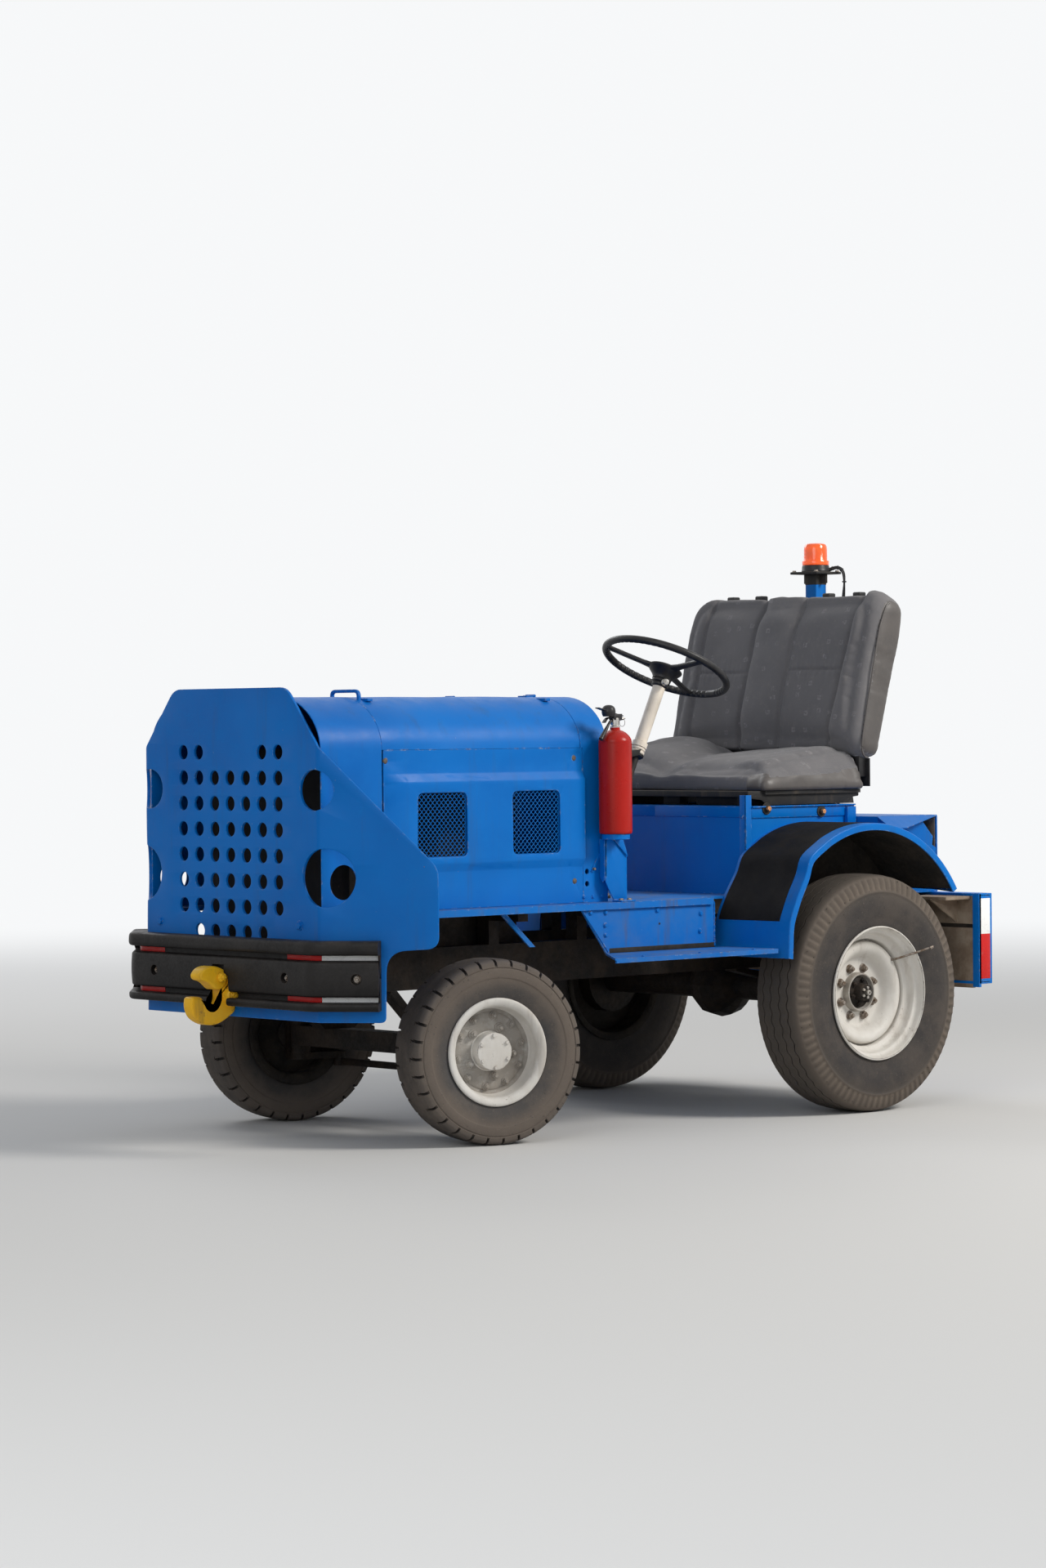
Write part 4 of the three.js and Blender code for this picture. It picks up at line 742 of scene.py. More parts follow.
def prism(outline, low, high, bevel=0.0, steps=2):
    # A closed outline in (x, y) raised from low to high along z, its rims rounded by shrinking it.
    outline = np.asarray(outline, float)
    ahead = np.roll(outline, -1, 0) - outline
    x, y = outline.T
    area = np.sum(x * np.roll(y, -1) - y * np.roll(x, -1))
    normal = unit(np.stack([ahead[:, 1], -ahead[:, 0]], -1) * np.sign(area))
    other = np.roll(normal, 1, 0)
    inward = -(normal + other) / (1 + np.sum(normal * other, 1, keepdims=True)).clip(0.35)
    angle = np.linspace(0, math.pi / 2, steps + 1) if bevel else np.array([math.pi / 2])
    inset, depth = bevel * (1 - np.sin(angle)), bevel * (1 - np.cos(angle))
    insets = np.concatenate([inset, inset[::-1]])
    rings = np.empty((len(insets), len(outline), 3))
    rings[..., :2] = outline + inward * insets[:, None, None]
    rings[..., 2] = np.concatenate([low + depth, (high - depth)[::-1]])[:, None]
    return loft(rings)


turnX = np.array([[0, 0, 1], [1, 0, 0], [0, 1, 0]], float)  # outline (y, z), raised along x
turnY = np.array([[1, 0, 0], [0, 0, 1], [0, 1, 0]], float)  # outline (x, z), raised along y


def sideways(outline, low, high, bevel=0.0, steps=2):
    # An outline in (x, z) raised across the tractor, from one y to the other.
    return prism(outline, low, high, bevel, steps).moved((0, 0, 0), turnY)


def lengthways(outline, low, high, bevel):
    # An outline in (y, z) raised along the tractor, from one x to the other.
    return prism(outline, low, high, bevel).moved((0, 0, 0), turnX)


def block(low, high, radius, steps=2):
    # A box between two corners with rounded edges.
    low, high = np.minimum(low, high), np.maximum(low, high)
    size, middle = high - low, (low + high) / 2
    outline = rounded(size[0], size[1], radius, steps) + middle[:2]
    return prism(outline, low[2], high[2], radius, steps)


def rod(start, end, radius, bevel, count=20):
    start, end = np.array(start, float), np.array(end, float)
    length = np.linalg.norm(end - start)
    half = [(0, 0), (radius - bevel, 0), (radius, bevel)]
    return turned(half + [(r, length - z) for r, z in half[::-1]], count, start, end - start)


def scatter(template, places, aims=(0, 0, 1), spins=0.0):
    # One copy of the template at each place, its z along the aim, turned about it by the spin.
    places = np.asarray(places, float).reshape(-1, 3)
    w = unit(np.broadcast_to(np.asarray(aims, float), places.shape))
    u = unit(np.cross(np.where(np.abs(w[:, 2:3]) > 0.9, [[1.0, 0, 0]], [[0, 0, 1.0]]), w))
    v = np.cross(w, u)
    spins = np.broadcast_to(spins, len(places))[:, None]
    u, v = np.cos(spins) * u + np.sin(spins) * v, np.cos(spins) * v - np.sin(spins) * u
    points = np.einsum("nij,kj->nki", np.stack([u, v, w], -1), template.points) + places[:, None]
    step = np.arange(len(places))[:, None, None] * len(template.points)
    marks = {name: np.tile(value, len(places)) for name, value in template.marks.items()}
    return Shape(points, template.quads[None] + step, template.tris[None] + step, marks)


def boltHead(radius, height, washer=0.0, stud=0.0):
    # A six-sided head with a chamfered top, on a washer, with the end of a stud if it is a nut.
    flat = aroundAxis(1, np.arange(6) * math.pi / 3, 0)
    levels = [(1, -0.3), (1, 0.82), (0.9, 1.0)]  # share of the radius, share of the height
    rings = np.array([flat * [radius * s, radius * s, 1] + [0, 0, height * z] for s, z in levels])
    parts = [loft(rings)]
    if washer:
        thick = height * 0.22
        rim = [(0, -thick), (washer, -thick), (washer, thick * 0.7), (washer * 0.95, thick), (0, thick)]
        parts.append(turned(rim, 18))
    if stud:
        end = [(0, 0), (stud, 0), (stud, height * 1.35), (stud * 0.8, height * 1.5), (0, height * 1.5)]
        parts.append(turned(end, 10))
    return together(*parts)


def screwHead(radius, dome=0.35):
    # A domed head with a driver's slot pressed into it.
    angle = np.linspace(0, math.pi / 2, 5)
    profile = np.stack([radius * np.cos(angle), radius * dome * np.sin(angle)], -1)
    head = turned(np.vstack([[radius, -radius * 0.3], profile]), 16)
    low, high = np.array([(-0.7, -0.1, dome * 0.85), (0.7, 0.1, dome * 1.02)]) * radius
    return together(head, block(low, high, 0.0))


def cutSheet(loops, thick, bevel, steps):
    # A flat sheet in (x, y), centred on z = 0: the first loop is its outline, the others are holes.
    curve = bpy.data.curves.new("sheet_outline", "CURVE")
    curve.dimensions, curve.fill_mode = "2D", "BOTH"
    curve.extrude, curve.offset = thick / 2 - bevel, -bevel
    curve.bevel_depth, curve.bevel_resolution = bevel, steps - 1
    for loop in loops:
        spline = curve.splines.new("POLY")
        spline.points.add(len(loop) - 1)
        flat = np.column_stack([loop, np.zeros(len(loop)), np.ones(len(loop))])
        spline.points.foreach_set("co", flat.ravel())
        spline.use_cyclic_u = True
    holder = placed("sheet_outline", curve)
    solid = bpy.data.meshes.new_from_object(holder.evaluated_get(bpy.context.evaluated_depsgraph_get()))
    shape = shapeOf(solid)
    bpy.data.objects.remove(holder)
    bpy.data.curves.remove(curve)
    bpy.data.meshes.remove(solid)
    return shape


def numbers(items, key, width=1, kind=float):
    # One number, or one row of numbers, for each of a mesh's items.
    values = np.empty(len(items) * width, kind)
    items.foreach_get(key, values)
    return values.reshape(-1, width) if width > 1 else values


def shapeOf(mesh):
    sizes = numbers(mesh.polygons, "loop_total", kind=int)
    starts = numbers(mesh.polygons, "loop_start", kind=int)
    corners = numbers(mesh.loops, "vertex_index", kind=int)
    quads, tris = (corners[starts[sizes == n][:, None] + np.arange(n)] for n in (4, 3))
    return Shape(numbers(mesh.vertices, "co", 3), quads, tris)


def ringHole(centre, radius, count, stretch=1.0):
    # A round hole's loop, its width stretched.
    return circle(radius, count) * [stretch, 1] + np.asarray(centre)


def uneven(points, depth, scale, seed):
    # A smooth small displacement: a sum of three slow sine waves.
    x, y, z = (points[..., k] / scale for k in range(3))
    waves = np.sin(x * 1.3 + y * 2.1 + z * 1.7 + seed)
    waves = waves + np.sin(x * 2.9 - y * 1.1 + z * 0.8 + seed * 2.3)
    return depth / 3 * (waves + np.sin(-x * 0.7 + y * 2.7 + z * 2.3 + seed * 4.1))


def makePiece(name, parts, nodes=(), body="chassis", sharp=35):
    # One object from (shape, material) parts: touching points are joined, faces turned outward, and
    # edges over the sharp angle stay sharp.
    mesh = bpy.data.meshes.new(name)
    whole = together(*(shape for shape, _ in parts))
    corners = np.concatenate([whole.quads.ravel(), whole.tris.ravel()])
    sizes = np.concatenate([np.full(len(whole.quads), 4), np.full(len(whole.tris), 3)])
    groups = [getattr(shape, faces) for faces in ("quads", "tris") for shape, _ in parts]
    which = np.concatenate([np.full(len(group), k % len(parts)) for k, group in enumerate(groups)])
    mesh.vertices.add(len(whole.points))
    mesh.vertices.foreach_set("co", whole.points.ravel())
    mesh.loops.add(len(corners))
    mesh.loops.foreach_set("vertex_index", corners)
    mesh.polygons.add(len(sizes))
    mesh.polygons.foreach_set("loop_start", np.cumsum(sizes) - sizes)
    mesh.polygons.foreach_set("material_index", which)
    for _, material in parts:
        mesh.materials.append(material)
    for mark, values in whole.marks.items():
        mesh.attributes.new(mark, "FLOAT", "POINT").data.foreach_set("value", values)
    mesh.update(calc_edges=True)
    mesh.validate()
    work = bmesh.new()
    work.from_mesh(mesh)
    bmesh.ops.remove_doubles(work, verts=work.verts, dist=1e-5)
    bmesh.ops.dissolve_degenerate(work, edges=work.edges, dist=1e-7)
    bmesh.ops.recalc_face_normals(work, faces=work.faces)
    work.to_mesh(mesh)
    work.free()
    piece = placed(name, mesh)
    mesh.polygons.foreach_set("use_smooth", np.ones(len(mesh.polygons), bool))
    if sharp:
        mesh.set_sharp_from_angle(angle=math.radians(sharp))
    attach(piece, body)
    if nodes:
        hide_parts(*nodes)
    return piece


def applied(piece):
    # The piece's mesh as its modifiers leave it.
    graph = bpy.context.evaluated_depsgraph_get()
    solid = bpy.data.meshes.new_from_object(piece.evaluated_get(graph))
    piece.modifiers.clear()
    piece.data = solid


def drill(piece, cutter):
    # Takes the cutter's shape out of the piece.
    tool = makePiece("cutter", [(cutter, piece.data.materials[0])], sharp=None)
    hole = piece.modifiers.new("hole", "BOOLEAN")
    hole.operation, hole.solver, hole.object = "DIFFERENCE", "EXACT", tool
    applied(piece)
    mesh = tool.data
    bpy.data.objects.remove(tool)
    bpy.data.meshes.remove(mesh)
    piece.data.set_sharp_from_angle(angle=math.radians(35))


def makePair(name, parts, node):
    # A piece on the left, and its mirror image on the right.
    makePiece(f"{name}_left", parts, [f"{node}_left"])
    mirrored = [(shape.mirrored(), material) for shape, material in parts]
    makePiece(f"{name}_right", mirrored, [f"{node}_right"])


# ---- finishes on the CAD nodes that stay in view ----
nodeCoats = [
    (greasyBlue, ("deck_left", "deck_right", "floor", "step_left", "step_right")),
    (blackPaint, ("radiator", "seat_frame")),
    (
        castIron,
        (
            "engine_block", "main_frame", "rear_axle", "front_axle", "tie_rod", "knuckle_left",
            "knuckle_right"
        )
    ),
]
for node in frame["nodes"].values():
    coats = [coat for coat, names in nodeCoats if node.name in names]
    if not node.material_slots:
        node.data.materials.append(bluePaint)
    for place in node.material_slots:
        place.material = coats[0] if coats else bluePaint
print("CAD nodes coated")


# ---- front plate ----
# A place on the bent plate is (s, z): s runs out from its middle along the centre sheet, round the
# bend and back along the wing.
plateLook = {
    "half": 0.4, "thick": 0.01, "sweep": math.radians(40), "bendRadius": 0.022, "bevel": 0.0018,
    "dent": 0.0016,
    # s, z, how far the rounding leaves the corner
    "corners": [
        (0.59, 0.376, 0.016), (0.592, 0.577, 0.06), (0.743, 0.585, 0.036), (0.743, 0.812, 0.03),
        (0.4, 1.159, 0.02), (0.262, 1.327, 0.03),
    ],
    "ventRadius": 0.0212, "ventPitch": (0.0736, 0.0745), "ventTop": 1.142,
    "ventRows": {1: (1, 2, 6, 7), 8: (2, 3, 4, 5, 6)},  # the rows that lack some holes
    "lights": [(0.058, 1.034, -0.015), (0.083, 0.785, 0.018)],  # radius, z, out from the bend
    "bolts": [(-0.335, 0.643), (0.3155, 0.6485)],
}


def bentPlace(s, out):
    # Plan of the bend: straight, an arc through the sweep angle, straight again; out is from the face.
    half, sweep, radius = (plateLook[key] for key in ("half", "sweep", "bendRadius"))
    start = half - radius * math.tan(sweep / 2)
    side, along = np.sign(s), np.abs(s)
    angle = np.clip((along - start) / radius, 0, sweep)
    beyond = np.maximum(along - start - radius * sweep, 0)
    x = radius * (np.cos(angle) - 1) - np.sin(sweep) * beyond + out * np.cos(angle)
    y = start + radius * np.sin(angle) + np.cos(sweep) * beyond + out * np.sin(angle)
    return x + noseX, side * np.where(along < start, along, y)


def bendCuts():
    half, sweep, radius = (plateLook[key] for key in ("half", "sweep", "bendRadius"))
    return half - radius * math.tan(sweep / 2) + radius * sweep * np.linspace(0, 1, 7)


def sliced(shape, axis, places):
    # The shape with an edge put in at every plane across the axis.
    mesh = bpy.data.meshes.new("sliced")
    mesh.from_pydata(shape.points.tolist(), [], shape.quads.tolist() + shape.tris.tolist())
    work = bmesh.new()
    work.from_mesh(mesh)
    bmesh.ops.remove_doubles(work, verts=work.verts, dist=1e-6)
    normal = [float(k == axis) for k in range(3)]
    for place in places:
        geometry = work.verts[:] + work.edges[:] + work.faces[:]
        spot = [place * n for n in normal]
        bmesh.ops.bisect_plane(work, geom=geometry, dist=1e-6, plane_co=spot, plane_no=normal)
    bmesh.ops.triangulate(work, faces=[face for face in work.faces if len(face.verts) > 4])
    work.to_mesh(mesh)
    work.free()
    result = shapeOf(mesh)
    bpy.data.meshes.remove(mesh)
    return result


def plateShape():
    look = plateLook
    right = look["corners"]
    corners = np.array(right + [(-s, z, r) for s, z, r in right[::-1]])
    outline = softened(corners[:, :2], corners[:, 2], 8)
    holes = []
    pitchY, pitchZ = look["ventPitch"]
    for row in range(1, 9):
        for column in look["ventRows"].get(row, range(1, 8)):
            place = ((4 - column) * pitchY, look["ventTop"] - (row - 1) * pitchZ)
            holes.append(ringHole(place, look["ventRadius"], 32))
    stretch = 1 / math.cos(look["sweep"] / 2)
    for radius, z, out in look["lights"]:
        for side in (1, -1):
            place = (side * (look["half"] + out * stretch), z)
            holes.append(ringHole(place, radius, 64, stretch))
    sheet = cutSheet([outline] + [hole[::-1] for hole in holes], look["thick"], look["bevel"], 3)
    sheet = sliced(sheet, 0, np.concatenate([bendCuts(), -bendCuts(), np.arange(-0.7, 0.71, 0.1)]))
    s, z, out = sheet.points.T
    out = out - look["thick"] / 2 + uneven(sheet.points * [1, 1, 0], look["dent"], 0.12, 1.0)
    x, y = bentPlace(s, out)
    return Shape(np.stack([x, y, z], -1), sheet.quads, sheet.tris)


def onPlate(shape, s, z, out=0.0):
    # A small shape standing on its z = 0, set at (s, z) on the plate's face.
    x, y = bentPlace(np.array([s, s]), np.array([out, out + 1.0]))
    return scatter(shape, [(x[0], y[0], z)], [(x[1] - x[0], y[1] - y[0], 0)])


plateBolts = [onPlate(boltHead(0.011, 0.008, 0.014), s, z) for s, z in plateLook["bolts"]]
plateParts = [(plateShape(), bluePaint), (together(*plateBolts), bluePaint)]
makePiece("front_plate_sheet", plateParts, ["front_plate"])
print("front plate made")


# ---- bumper, tapes and hook ----
bumperLook = {
    "length": 0.578,  # along the plate, each side
    # out from the plate, z, rounding
    "profile": [
        (0.0004, 0.4104, 0.001), (0.0565, 0.4104, 0.011), (0.058, 0.434, 0.01), (0.022, 0.434, 0.003),
        (0.022, 0.451, 0.004), (0.0475, 0.451, 0.009), (0.051, 0.5015, 0.03), (0.0475, 0.552, 0.009),
        (0.022, 0.552, 0.004), (0.022, 0.569, 0.003), (0.058, 0.569, 0.014), (0.0565, 0.6088, 0.014),
        (0.0004, 0.6088, 0.001),
    ],
    "slot": [(0.0463, 0.4993, 0.0004), (0.0273, 0.5293, 0.03)],  # half width, top, what is left
    # the bolts' z and how far out the pad's face is
    "padPlace": (0.5015, 0.0505), "padBolts": (0.305, -0.305, 0.515, -0.515),
    # width and depth of the round recess over each bolt
    "recess": (0.031, 0.0185),
    "tapes": [("red", redTape, 0.287, 0.412), ("white", whiteTape, 0.4125, 0.5775)],  # from, to
    "tapeZ": [(0.4355, 0.4495), (0.5535, 0.5675)], "tapeOut": 0.0219,
}


def bentSweep(profile, places, limit=None):
    # The (out, z) loop carried along the bent plate; limit trims its depth at each place.
    rings = np.broadcast_to(profile, (len(places), *profile.shape)).copy()
    if limit is not None:
        rings = limit(places[:, None], rings)
    x, y = bentPlace(np.broadcast_to(places[:, None], rings.shape[:2]), rings[..., 0])
    return loft(np.stack([x, y, rings[..., 1]], -1))


def bumperShape():
    look = bumperLook
    profile = np.array(look["profile"])
    loop = softened(profile[:, :2], profile[:, 2], 5)
    dense = []
    for here, there in zip(loop, np.roll(loop, -1, 0)):
        dense.append(here)
        for _, level, _ in look["slot"]:
            if (here[1] - level) * (there[1] - level) < 0:
                spot = here + (level - here[1]) / (there[1] - here[1]) * (there - here)
                dense += [spot - [0, 0.0002], spot + [0, 0.0002]]
    edges = [half + step for half, _, _ in look["slot"] for step in (-0.0002, 0.0002)]
    flat, beyond = np.linspace(0.07, 0.37, 9), np.linspace(0.43, look["length"] - 0.004, 7)
    right = np.sort(np.concatenate([[0.012], edges, flat, bendCuts(), beyond]))
    right = np.append(right, [look["length"] - 0.001, look["length"]])

    def limit(s, rings):
        depth, z = rings[..., 0], rings[..., 1]
        for half, top, left in look["slot"]:
            inside = (np.abs(s) < half) & (z < top)
            depth = np.where(inside, np.minimum(depth, left), depth)
        rings[..., 0] = depth
        return rings

    return bentSweep(np.array(dense), np.concatenate([-right[::-1], right]), limit)


def tapeShape(start, end, low, high):
    loop = rounded(0.0022, high - low, 0.0005, 2) + [bumperLook["tapeOut"], (low + high) / 2]
    cuts = bendCuts()
    places = np.sort(np.concatenate([np.linspace(start, end, 12), cuts[(cuts > start) & (cuts < end)]]))
    return together(bentSweep(loop, places), bentSweep(loop, -places))


bumper = makePiece("bumper_rubber", [(bumperShape(), bumperRubber)], ["front_bumper"])
recessWide, recessDeep = bumperLook["recess"]
padZ, padOut = bumperLook["padPlace"]
recess = prism(circle(recessWide / 2, 32), -recessDeep, 0.02)
drill(bumper, together(*(onPlate(recess, s, padZ, padOut) for s in bumperLook["padBolts"])))
padNut = boltHead(0.01, 0.009, 0.0115, 0.005)
padNuts = [onPlate(padNut, s, padZ, padOut - recessDeep - 0.0003) for s in bumperLook["padBolts"]]
makePiece("bumper_bolts", [(together(*padNuts), boltSteel)])
for word, tape, start, end in bumperLook["tapes"]:
    strips = [tapeShape(start, end, low, high) for low, high in bumperLook["tapeZ"]]
    makePiece(f"bumper_tape_{word}", [(together(*strips), tape)])

hookLook = {
    # side views: x from the plate's face, z, rounding
    "lower": [
        (0.0006, 0.392, 0.01), (0.042, 0.366, 0.02), (0.074, 0.355, 0.02), (0.112, 0.357, 0.02),
        (0.15, 0.378, 0.02), (0.1635, 0.41, 0.014), (0.16, 0.44, 0.01), (0.126, 0.44, 0.01),
        (0.113, 0.424, 0.008), (0.098, 0.4, 0.014), (0.074, 0.4, 0.014), (0.057, 0.424, 0.014),
        (0.058, 0.466, 0.01), (0.04, 0.497, 0.008), (0.0006, 0.497, 0.002),
    ],
    "upper": [
        (0.031, 0.5, 0.006), (0.034, 0.478, 0.006), (0.052, 0.46, 0.008), (0.074, 0.456, 0.01),
        (0.104, 0.482, 0.014), (0.129, 0.488, 0.01), (0.133, 0.503, 0.008), (0.116, 0.522, 0.014),
        (0.085, 0.528, 0.016), (0.052, 0.519, 0.012),
    ],
    "pins": [(0.024, 0.44), (0.06, 0.493)],  # x from the plate's face, z
}


def hookSide(key, half, bevel):
    # A side view given thickness across the tractor.
    points = np.array(hookLook[key]) + [noseX, 0, 0]
    return sideways(softened(points[:, :2], points[:, 2], 5), -half, half, bevel, 3)


(pinX, pinZ), (highX, highZ) = (np.array(pin) + [noseX, 0] for pin in hookLook["pins"])
hookParts = [
    hookSide("lower", 0.0205, 0.0065), hookSide("upper", 0.0262, 0.006),
    block((noseX + 0.0006, -0.0455, 0.408), (noseX + 0.026, 0.0455, 0.4985), 0.006, 4),
    rod((pinX, -0.045, pinZ), (pinX, 0.045, pinZ), 0.0235, 0.004, 28),
    rod((highX, -0.034, highZ), (highX, 0.034, highZ), 0.01, 0.002),
]
hookNut = boltHead(0.0125, 0.009, 0.0145, 0.0062)
hookNuts = scatter(hookNut, [(pinX, 0.0455, pinZ), (highX, 0.0325, highZ)], (0, 1, 0))
hookParts = [(together(*hookParts), yellowPaint), (bothSides(hookNuts), yellowPaint)]
makePiece("front_hook_casting", hookParts, ["front_hook"], sharp=40)
print("bumper and hook made")


# ---- hood: front cowl, lid, side panels and rear cowl ----
hoodLook = {
    "half": 0.398, "sheet": 0.004, "roof": 1.299, "corner": 0.186, "waist": 1.145, "foot": 0.6803,
    "front": noseX - 0.015, "seam": noseX - 0.242, "lidRear": noseX - 1.02, "panelRear": noseX - 1.028,
    "cowlRear": noseX - 1.13, "dent": 0.0022, "lip": 0.001,
    # x, z, radius
    "sideHole": (noseX - 0.095, 0.77, 0.05), "rearHoles": [(0.189, 0.736, 0.0085), (0.189, 0.773, 0.0085)],
    # x, from y to y
    "handle": (noseX - 0.26, 0.155, 0.275),
}


def archLoop(inset, foot):
    # An arch section (y, z) from foot to foot: up the side, round the corner's quarter ellipse, across.
    look = hoodLook
    half, corner, waist = look["half"], look["corner"], look["waist"]
    angle = np.linspace(0, math.pi / 2, 14)
    y = half - corner + (corner - inset) * np.cos(angle)
    z = waist + (look["roof"] - waist - inset) * np.sin(angle)
    flat = np.linspace(1, 0, 8)[1:] * (half - corner)
    top = np.stack([flat, np.full(len(flat), look["roof"] - inset)], -1)
    low = np.linspace(foot, waist, 12)[:-1] if foot < waist - 0.001 else np.zeros(0)
    side = np.stack([np.full(len(low), half - inset), low], -1)
    right = np.vstack([side, np.stack([y, z], -1), top])
    return np.vstack([right, (right * [-1, 1])[-2::-1]])


def archShell(x0, x1, foot, sheet, rows, dent, seed):
    # A closed shell between two x places: outer arch, inner arch, rounded and closed ends.
    outer, inner, lip = archLoop(0.0, foot), archLoop(sheet, foot), hoodLook["lip"]
    middle = np.array([0.0, hoodLook["waist"] - 0.05])

    def ring(x, inset):
        outside, inside = outer - inset * unit(outer - middle), inner + inset * unit(inner - middle)
        loop = np.vstack([outside, inside[::-1]])
        points = np.column_stack([np.full(len(loop), x), loop])
        calm = np.clip(min(x - x0, x1 - x) / 0.03, 0, 1) * np.clip((points[:, 2] - foot) / 0.02, 0, 1)
        points[:, 1:] += unit(loop - middle) * (uneven(points, dent, 0.16, seed) * calm)[:, None]
        return points

    between = [ring(x, 0.0) for x in np.linspace(x0 + lip, x1 - lip, rows)]
    rings = np.array([ring(x0, lip), *between, ring(x1, lip)])
    count = len(outer)
    ends = [grid(np.stack([end[:count], end[: count - 1 : -1]])) for end in (rings[0], rings[-1])]
    return together(loft(rings, False), *ends)


look = hoodLook
cowlShell = archShell(look["seam"] + 0.0003, look["front"], look["foot"], look["sheet"], 12, 0.001, 2.0)
cowl = makePiece("front_cowl_shell", [(cowlShell, bluePaint)], ["front_cowl"])
holeX, holeZ, holeRadius = look["sideHole"]
drill(cowl, rod((holeX, -0.45, holeZ), (holeX, 0.45, holeZ), holeRadius, 0.001, 48))


def handleShape():
    # A square bar through corner points, each corner rounded.
    x, y0, y1 = hoodLook["handle"]
    knots = np.array([(x, y0, 1.29), (x, y0, 1.316), (x, y1, 1.316), (x, y1, 1.282)])
    corners = cornerCurves(knots[1:-1], knots[:-2], knots[2:], 0.018, 5)
    return sweep(np.vstack([knots[:1], corners, knots[-1:]]), rounded(0.0098, 0.0098, 0.0018, 2), (1, 0, 0))


def hingeParts():
    # The two hinge leaves on the lid's rear edge with their barrels, and their screws.
    x = hoodLook["lidRear"] + 0.006
    parts, screws = [], []
    for y in (0.185, -0.185):
        parts.append(block((x, y - 0.02, 1.2975), (x + 0.034, y + 0.02, 1.3028), 0.0012))
        parts.append(rod((x, y - 0.02, 1.302), (x, y + 0.02, 1.302), 0.0048, 0.0006, 16))
        screws += [(x + dx, y + dy, 1.3028) for dx, dy in ((0.016, 0.012), (0.016, -0.012), (0.027, 0.0))]
    return together(*parts), scatter(screwHead(0.0034), screws, (0, 0, 1), np.arange(len(screws)) * 0.7)


hinges, lidScrews = hingeParts()
lidShell = archShell(
    look["lidRear"] + 0.0005, look["seam"], look["waist"], look["sheet"], 34, look["dent"], 0.4
)
ribStarts = (look["seam"] - 0.05, look["lidRear"] + 0.03)
lidRibs = [block((x, -0.3, 1.2855), (x + 0.02, 0.3, 1.2945), 0.002) for x in ribStarts]
lid = together(lidShell, handleShape(), *lidRibs)
lidParts = [(lid, bluePaint), (hinges, bluePaint), (lidScrews, bluePaint)]
makePiece("hood_lid_shell", lidParts, ["hood_lid"], "hood")

panelLook = {
    # z, how far the pressed field stands out (mm)
    "knots": [
        (0.6803, 0), (0.786, 0), (0.792, 1.2), (0.81, 11.0), (0.816, 12), (1.048, 12), (1.054, 11.0),
        (1.072, 1.2), (1.078, 0), (1.1447, 0),
    ],
    "rise": 0.012, "windows": [noseX - 0.461, noseX - 0.83], "windowSize": (0.19, 0.188), "windowZ": 0.926,
    "rounding": 0.022, "cell": (0.0168, 0.0086), "strand": (0.0021, 0.0014),
    "frame": [(0.222, 0.222, 0.012), (0.186, 0.184, 0.02)],  # outer and inner width, height, rounding
    "screws": [(x, z) for x in (0.24, 0.979) for z in (0.746, 1.114)],
}


def panelShape():
    look, panel = hoodLook, panelLook
    x0, x1 = look["panelRear"] + 0.0004, look["seam"] - 0.0044
    low, high = look["foot"] + 0.0003, look["waist"] - 0.0006
    loops = [softened([(x0, low), (x1, low), (x1, high), (x0, high)], 0.004, 3)]
    for x in panel["windows"]:
        loops.append(rounded(*panel["windowSize"], panel["rounding"], 8)[::-1] + [x, panel["windowZ"]])
    for place in panel["screws"]:
        loops.append(ringHole(place, 0.0042, 16)[::-1])
    heights, stand = np.array(panel["knots"]).T
    sheet = cutSheet(loops, 0.0038, 0.0007, 2)
    sheet = sliced(sheet, 1, np.concatenate([heights[1:-1], np.arange(0.84, 1.04, 0.04)]))
    sheet = sliced(sheet, 0, np.arange(x0 + 0.06, x1, 0.08))
    x, z, out = sheet.points.T
    rise = np.interp(z, heights, stand / 1000) * np.clip((x1 - 0.006 - x) / 0.012, 0, 1)
    calm = np.clip(np.minimum(z - low, high - z) / 0.03, 0, 1)
    calm = calm * np.clip(np.minimum(x - x0, x1 - x) / 0.04, 0, 1)
    dents = uneven(sheet.points * [1, 1, 0], 0.0018, 0.14, 3.0) * calm
    return Shape(np.stack([x, look["half"] - 0.0019 + out + rise + dents, z], -1), sheet.quads, sheet.tris)


def louvreMesh(x, z, y):
    # Expanded metal: level zigzag strands that meet their neighbours at every peak.
    panel = panelLook
    wide, high = panel["windowSize"]
    cellX, cellZ = panel["cell"]
    tall, deep = panel["strand"]
    columns, rows = int(wide / cellX) + 1, int(high / cellZ) + 1
    steps = 2 * columns + 1
    xs = x + (np.arange(steps) - columns) * cellX / 2
    section = np.array([(-1, -1), (1, -1), (1, 1), (-1, 1)]) * [deep / 2, tall / 2]
    strands = []
    for row in range(rows + 1):
        way = 1 if row % 2 else -1
        zig = (np.arange(steps) % 2 * 2 - 1) * way
        zs = z + (row - rows / 2) * cellZ + zig * (cellZ / 2 - tall * 0.28)
        strands.append(sweep(np.stack([xs, y + 0.0006 * zig * way, zs], -1), section))
    return together(*strands)


def panelParts():
    panel = panelLook
    y, z = hoodLook["half"] + panel["rise"] - 0.0064, panel["windowZ"]
    meshes = [louvreMesh(x, z, y) for x in panel["windows"]]
    for x in panel["windows"]:
        outer, inner = (rounded(*size, 4) + [x, z] for size in panel["frame"])
        meshes.append(cutSheet([outer, inner[::-1]], 0.0014, 0.0003, 1).moved((0, y - 0.0016, 0), turnY))
    screws = [(x, hoodLook["half"] - 0.0004, z) for x, z in panel["screws"]]
    screws = scatter(screwHead(0.0086, 0.36), screws, (0, 1, 0), np.arange(len(screws)) * 1.1)
    return [(panelShape(), bluePaint), (together(*meshes), meshBlue), (screws, rustySteel)]


makePair("side_panel_sheet", panelParts(), "side_panel")

